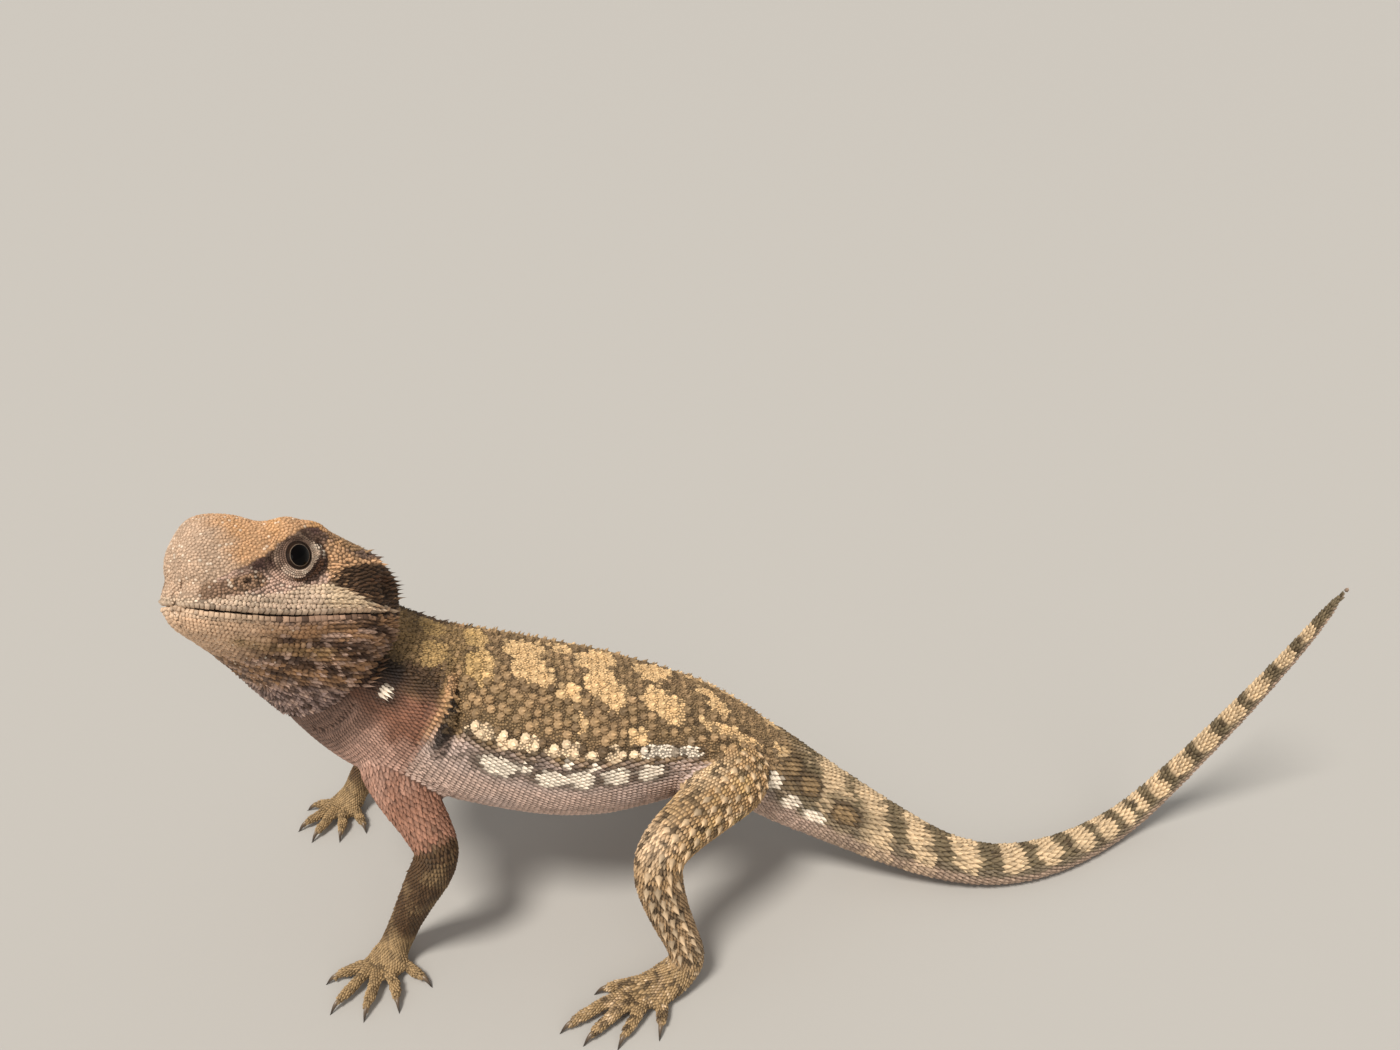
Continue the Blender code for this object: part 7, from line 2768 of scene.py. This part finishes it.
    def _fringes(self) -> None:
        """Set the spiky scales: temple, cheek, mouth corner, beard edge, neck and flanks."""
        for region, guide, count, length, width in FRINGES:
            share = np.linspace(0.0, 1.0, count)
            guided = path_curve(guide, np.linspace(0.0, len(guide) - 1.0, count))
            long = length * (0.72 + 0.28 * share) * (1.0 + 0.16 * np.sin(share * 41.0))
            size = np.stack([long * 0.78, np.full(count, width), long * 0.40], -1)
            for sign in (1.0, -1.0):
                if region in ("neck", "trunk"):
                    at, turn = guided[:, 0], np.radians(guided[:, 1]) * sign
                    place, lie = self.on_track(self.spine, at, turn)
                    lay = on_map(at / 25.0, turn / FULL_TURN + 0.5)
                    tone = self.hide.trunk(place, at, turn)
                    self.add(Roots(region, Shape.THORN, place, lie, size, lay, tone))
                else:
                    mirror = np.array([1.0, sign, 1.0])
                    back = np.tile(unit(np.array([-1.0, 0.25, 0.12])) * mirror, (count, 1))
                    self.add_head(region, Shape.THORN, guided * mirror, back, size, 1.5)

    def _lid_rows(self) -> None:
        """Set rings of beads on the lids, finest at the rim."""
        for eye in self.eyes:
            rim = math.asin(eye.lid_rim / eye.radius)
            tilt, number = rim + 0.055, 0
            gap, wider, widest = LID_GAPS
            while tilt < LID_LAST_TILT:
                reach = eye.radius + eye.lid_thickness + eye.lid_dome * float(step_up(tilt, rim, rim + 0.75))
                count = int(FULL_TURN * reach * math.sin(tilt) / gap)
                turn = (np.arange(count) + 0.5 * (number % 2)) * FULL_TURN / count
                place = eye.polar(np.full(count, tilt), turn, np.full(count, reach))
                lie = unit(place - eye.centre - eye.axis * ((place - eye.centre) @ eye.axis)[:, None])
                size = np.tile(np.array([gap * 1.02, gap * 1.08, 0.40 * gap]), (count, 1))
                tone = self.hide.skull(place, self.eyes)
                lay = self.head_map(self.head.into(place))
                self.add(Roots("lids", Shape.BEAD, place, lie, size, lay, tone), 1.3)
                number += 1
                gap = min(gap + wider, widest)
                tilt += gap * 0.94 / reach

    def fill(self, guide: Guide) -> None:
        """Fill every place that has no scale yet with small scales, by seeded dart throwing.

        Args:
            guide: Tells which part a place belongs to.
        """
        chance = np.random.default_rng(SEED)
        places, normals = self.surface.scatter(self.DART_GAP, chance)
        tree = self.taken()
        near = np.array([tree.find(p)[2] for p in places.tolist()])
        keep = (near > self.DART_ROOM) & (places[:, 2] > FLOOR_CLEARANCE * 1.5)
        for eye in self.eyes:
            keep &= ~eye.opening(places, 2.0)
        places, normals, near = kept(keep, places, normals, near)
        owner, at, angle = guide.find(places)
        local = self.head.into(places)
        head = owner < 0
        rise = local[:, 2] - self.head.mouth_level(local[:, 0])
        back = (owner == 0) & self.on_back(at, np.degrees(np.abs(angle)))
        crown = np.interp(local[:, 0], (-2.0, 6.0, 12.0, 20.0, 30.0), (0.66, 0.56, 0.42, 0.36, 0.34))
        gap = np.where(head, crown, np.where(back, self.GRAIN_GAP, self.JOIN_GAP))
        free = near > np.where(back, self._room_on_back(places), gap * 0.88)
        free &= ~(head & (np.abs(rise) < 0.42) & (local[:, 0] > 0.5))
        index = np.nonzero(free)[0]
        index = index[self._darts(places[index], gap[index])]
        rows = (places, normals, gap, local, head, owner, at, angle, back)
        places, normals, gap, local, head, owner, at, angle, back = kept(index, *rows)
        lie = np.tile(self.head.turned((-1.0, 0.0, 0.0)), (len(places), 1))
        tone = self.hide.skull(places, self.eyes)
        for number, track in enumerate(guide.tracks):
            here = owner == number
            if here.any():
                lie[here] = track.frame(at[here])[1]
                tone[here] = self.tone_on(track, *kept(here, places, at, angle))
        tone[back] = self.hide.trunk(*kept(back, places, at, angle), -1.0)
        lay = self.head_map(local)
        lay[~head] = on_map((places[~head, 0] + 110.0) / 220.0, angle[~head] / FULL_TURN + 0.5)
        rear = head & (local[:, 0] < 12.0)
        cobbled = rear & (local[:, 0] > 2.5) & (local[:, 2] > 2.4)
        rear &= ~cobbled
        fine = head & ~rear & ~cobbled
        # A few beads of the snout are painted nearly white as painted glints.
        painted_glint = fine & (chance.uniform(size=len(fine)) < self.PAINTED_GLINTS) & (local[:, 0] > 16.0)
        tone[painted_glint] = tone[painted_glint] * 0.55 + np.array(self.hide.paint.white) * 0.45
        size = np.stack([gap * 1.40, gap * 1.24, gap * np.where(back, 0.44, 0.36)], -1)
        size[rear] = gap[rear, None] * np.array([1.35, 1.20, 0.50])
        for region, shape, mask in (
            ("crown", Shape.BEAD, fine), ("temples", Shape.KEEL, rear), ("temples", Shape.BEAD, cobbled),
            ("joins", Shape.KEEL, ~head & ~back), ("trunk", Shape.GRAIN, back),
        ):
            self.regions.append(Roots(region, shape, places, lie, size, lay, tone, normals).only(mask))

    def _room_on_back(self, places: Rows) -> Rows:
        """Return how far places of the back must lie from the nearest root to be free of its scale.

        Args:
            places: The places.

        Returns:
            One distance for each place.
        """
        roots = [r for r in self.regions if r.region == "trunk"]
        tree = tree_of(np.concatenate([r.place for r in roots]))
        reach = np.concatenate([
            np.maximum(r.size[:, 0], r.size[:, 1]) * (0.44 if r.shape is Shape.CONE else 0.5) for r in roots
        ])
        return np.array([reach[tree.find(p)[1]] for p in places.tolist()])

    def tone_on(self, track: Track, places: Rows, at: Rows, angle: Rows) -> Rows:
        """Return the colour of places on a track.

        Args:
            track: The track.
            places: Places in millimetres.
            at: The same along the track, in rings.
            angle: Their angles from its top to the left.

        Returns:
            One colour a row.
        """
        if track is self.spine:
            return self.hide.trunk(places, at, angle)
        past = at + (DIGITS_START if "digit" in track.name else 0.0)
        return self.hide.limb(track.name.split("_digit")[0], places, past, angle)

    def _darts(self, places: Rows, gap: Rows) -> Rows:
        """Pick places in turn that keep their gap from the picked ones.

        Args:
            places: The places, in the order of the throws.
            gap: The gap that each has to keep.

        Returns:
            The numbers of the picked places.
        """
        picked, grid = [], {}
        cells = np.floor(places / float(gap.max())).astype(int).tolist()
        around = [(x, y, z) for x in (-1, 0, 1) for y in (-1, 0, 1) for z in (-1, 0, 1)]
        for i, ((x, y, z), (a, b, c), room) in enumerate(zip(places.tolist(), cells, (gap * gap).tolist())):
            if all(
                (x - u) ** 2 + (y - v) ** 2 + (z - w) ** 2 >= room
                for dx, dy, dz in around for u, v, w in grid.get((a + dx, b + dy, c + dz), ())
            ):
                picked.append(i)
                grid.setdefault((a, b, c), []).append((x, y, z))
        return np.array(picked, int)

    def pieces(self, shift: Rows, finish: Material, finer: dict[str, Material]) -> list[tuple]:
        """Grow every region's scales as solid pieces.

        Args:
            shift: What carries the model's frame to the row's, in millimetres.
            finish: The scales' material.
            finer: The material of each region that has its own.

        Returns:
            The pieces with the name of the region of each.
        """
        tree = CoatTree()
        shapes = {shape: scale_template(shape) for shape in Shape}
        groups = {}
        for roots in self.regions:
            groups.setdefault((roots.region, roots.shape), []).append(roots)
        made = []
        for (region, shape), parts in groups.items():
            shapes[shape].data.calc_loop_triangles()
            most = MOST_TRIANGLES // len(shapes[shape].data.loop_triangles)
            rows = (np.concatenate([getattr(r, key) for r in parts]) for key in Roots.ROWS)
            whole = Roots(region, shape, *rows)
            order = np.argsort(whole.map[:, 0], kind="stable")
            count = -(-len(order) // most)
            for part in range(count):
                pick = order[part * len(order) // count: (part + 1) * len(order) // count]
                name = "%s_%s" % (region, shape.value) + ("_%d" % (part + 1) if count > 1 else "")
                thing = self._points(name, whole.only(pick), shift)
                tree.grow(thing, shapes[shape], finer.get(region, finish), SEED + len(made))
                points = read_points(thing.data)
                points[:, 2] = np.maximum(points[:, 2], FLOOR_CLEARANCE * MM)
                write_points(thing.data, points)
                made.append((thing, region))
        for shape in shapes.values():
            discard(shape)
        return made

    def _points(self, name: str, roots: Roots, shift: Rows) -> Object:
        """Make a mesh of root points that carry their turn, size, map and colour.

        Args:
            name: The piece's name.
            roots: The roots.
            shift: What carries the model's frame to the row's, in millimetres.

        Returns:
            The object, linked to the scene.
        """
        mesh = bpy.data.meshes.new(name)
        mesh.from_pydata(((roots.place + shift) * MM).tolist(), [], [])
        up = unit(roots.normal)
        ahead = unit(roots.lie - up * np.sum(roots.lie * up, axis=1, keepdims=True))
        across = np.cross(up, ahead)
        turned = [Matrix(np.stack(axes, -1).tolist()).to_quaternion() for axes in zip(ahead, across, up)]
        chance = np.random.default_rng(len(up))
        for key, kind, slot, values in (
            ("turn", "QUATERNION", "value", np.array([tuple(turn) for turn in turned])),
            ("size", "FLOAT_VECTOR", "vector", roots.size * MM),
            ("root_map", "FLOAT_VECTOR", "vector", roots.map),
            ("tone", "FLOAT_COLOR", "color", with_alpha(roots.tone)),
            ("mood", "FLOAT", "value", chance.uniform(0.0, 1.0, len(up))),
        ):
            keep_on_points(mesh, key, kind, slot, values)
        return linked(name, mesh)


@dataclass(frozen=True)
class SoftLight:
    """One far light: where it stands, its power, its softness in degrees and its colour."""

    name: str
    place: Triple
    power: float
    softness: float
    colour: Triple


@dataclass
class Studio:
    """The camera at the photograph's place, a plain pale floor and soft lights."""

    place: Triple = (-5.0, -155.0, 150.0)
    tilt: float = 63.0
    lens: float = 28.2857
    sensor: float = 36.0
    floor_size: float = 40.0
    floor_colour: tuple[float, float, float, float] = (0.47, 0.455, 0.43, 1.0)
    floor_roughness: float = 0.9
    world_colour: tuple[float, float, float, float] = (0.95, 0.93, 0.90, 1.0)
    world_strength: float = 0.42
    lights: tuple = (
        SoftLight("key", (-0.40, -0.55, 1.15), 3.1, 16.0, (1.0, 0.95, 0.88)),
        SoftLight("fill", (0.3, -0.9, 0.45), 0.5, 40.0, (1.0, 0.96, 0.9)),
    )

    def build(self, shift: Rows) -> None:
        """Make the camera, the lights and the floor.

        Args:
            shift: What carries the model's frame to the row's, in millimetres.
        """
        scene = bpy.context.scene
        scene.view_settings.view_transform = "Standard"
        camera = linked("camera", bpy.data.cameras.new("camera"))
        camera.data.sensor_width = self.sensor
        camera.data.lens = self.lens
        camera.data.clip_start = 0.005
        camera.location = Vector((np.array(self.place) + shift) * MM)
        camera.rotation_euler = (math.radians(self.tilt), 0.0, 0.0)
        scene.camera = camera
        for light in self.lights:
            self._light(light)
        world = bpy.data.worlds.new("studio")
        world.use_nodes = True
        world.node_tree.nodes["Background"].inputs["Color"].default_value = self.world_colour
        world.node_tree.nodes["Background"].inputs["Strength"].default_value = self.world_strength
        scene.world = world
        self._floor()

    def _light(self, light: SoftLight) -> None:
        """Hang one soft far light that faces the animal.

        Args:
            light: The light.
        """
        lamp = bpy.data.lights.new(light.name, "SUN")
        lamp.energy = light.power
        lamp.angle = math.radians(light.softness)
        lamp.color = light.colour
        thing = linked(light.name, lamp)
        thing.rotation_euler = (-Vector(light.place)).to_track_quat("-Z", "Y").to_euler()

    def _floor(self) -> None:
        """Lay the pale floor."""
        half = self.floor_size / 2
        corners = [(-half, -half, 0.0), (half, -half, 0.0), (half, half, 0.0), (-half, half, 0.0)]
        mesh = bpy.data.meshes.new("floor")
        mesh.from_pydata(corners, [], [(0, 1, 2, 3)])
        finish = {"Base Color": self.floor_colour, "Roughness": self.floor_roughness}
        mesh.materials.append(plain_material("pale_floor", finish))
        linked("floor", mesh)


@dataclass
class Lizard:
    """The whole animal, built in order: skin, coat, eyes and claws."""

    head: Head = field(default_factory=Head)
    flesh_slot: str = "trunk_skin"

    def __post_init__(self) -> None:
        """Lay the tracks and find the row's frame from the left eye."""
        self.eyes = [Eye(self.head, 1.0), Eye(self.head, -1.0)]
        self.spine = Track("spine", SPINE, up_at=7.0)
        self.limbs = [
            Limb("arm_left", *FORELIMB_LEFT), Limb("arm_right", *FORELIMB_RIGHT),
            Limb("leg_left", *HINDLIMB_LEFT), Limb("leg_right", *HINDLIMB_RIGHT),
        ]
        self.guide = Guide(self.head, self.spine, self.limbs)
        self.hide = Hide(self.head)
        low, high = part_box("eye_left")
        self.shift = (np.array(low) + np.array(high)) / 2 / MM - self.eyes[0].centre
        self.detail = HideDetail()

    def build_skin(self) -> Object:
        """Make and colour the skin, and make the coat whose roots grow on it later.

        Returns:
            The skin.
        """
        skin = Skin(self.head, self.eyes, self.spine, self.limbs).build()
        self.coat = Coat(self.head, self.eyes, self.spine, self.limbs, Surface(skin), self.hide)
        points = read_points(skin.data)
        owner, at, angle = self.guide.find(points)
        tone = self.hide.skull(points, self.eyes, True)
        for number, track in enumerate(self.guide.tracks):
            here = owner == number
            if here.any():
                tone[here] = self.coat.tone_on(track, *kept(here, points, at, angle))
        keep_on_points(skin.data, "tone", "FLOAT_COLOR", "color", with_alpha(tone))
        write_points(skin.data, (points + self.shift) * MM)
        skin.data.materials.clear()
        skin.data.polygons.foreach_set("material_index", np.zeros(len(skin.data.polygons), np.int32))
        skin.data.materials.append(SKIN_FINISH.build(self.detail))
        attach(skin, "root")
        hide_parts(*[name for name in frame["nodes"] if not name.startswith("eye")])
        return skin

    def build_coat(self) -> list[Object]:
        """Cover the skin with scales and make them solid.

        Returns:
            The coat's pieces.
        """
        self.coat.cover_head()
        self.coat.cover_spine()
        self.coat.cover_limbs()
        self.coat.fill(self.guide)
        rough, fine = SCALE_FINISH.build(self.detail), FACE_FINISH.build(self.detail)
        made = self.coat.pieces(self.shift, rough, {"crown": fine})
        for thing, region in made:
            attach(thing, "root")
        return [thing for thing, _ in made]

    def build_eyes(self) -> list[Object]:
        """Make the eyes.

        Returns:
            One ball for each eye.
        """
        made = []
        finish = EYE_FINISH.build()
        for eye, name in zip(self.eyes, ("eye_left", "eye_right")):
            cells = eye.ball()
            ball = mesh_from(name + "_fine", cells, MM, self.shift)
            tilt, _, reach = eye.angles(cells.points)
            ring = np.where(tilt < math.pi / 2, reach * np.sin(tilt), IRIS_SPAN) / IRIS_SPAN
            self._ringed(ball, ring)
            ball.data.materials.append(finish)
            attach(ball, "root")
            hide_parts(name)
            made.append(ball)
        return made

    def build_claws(self) -> list[Object]:
        """Make the claws of each foot.

        Returns:
            One object for each foot.
        """
        made = []
        finish = CLAW_FINISH.build()
        for limb in self.limbs:
            cells, share = limb.claws()
            claws = mesh_from(limb.name + "_claws", cells, MM, self.shift)
            self._ringed(claws, share)
            claws.data.materials.append(finish)
            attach(claws, "root")
            made.append(claws)
        return made

    def _ringed(self, thing: Object, ring: Rows) -> None:
        """Keep a value from 0 to 1 on each point for a ramp."""
        keep_on_points(thing.data, "ring", "FLOAT", "value", np.clip(ring, 0.0, 1.0))


def main() -> None:
    """Build the studio and the animal."""
    lizard = Lizard()
    Studio().build(lizard.shift)
    LOG.info("frame shift in mm: %s", np.round(lizard.shift, 4))
    for build in (lizard.build_skin, lizard.build_coat, lizard.build_eyes, lizard.build_claws):
        made = build()
        for thing in made if isinstance(made, list) else [made]:
            thing.data.calc_loop_triangles()
            LOG.info("%s: %d triangles", thing.name, len(thing.data.loop_triangles))


if __name__ == "__main__":
    logging.basicConfig(level=logging.INFO)
    main()
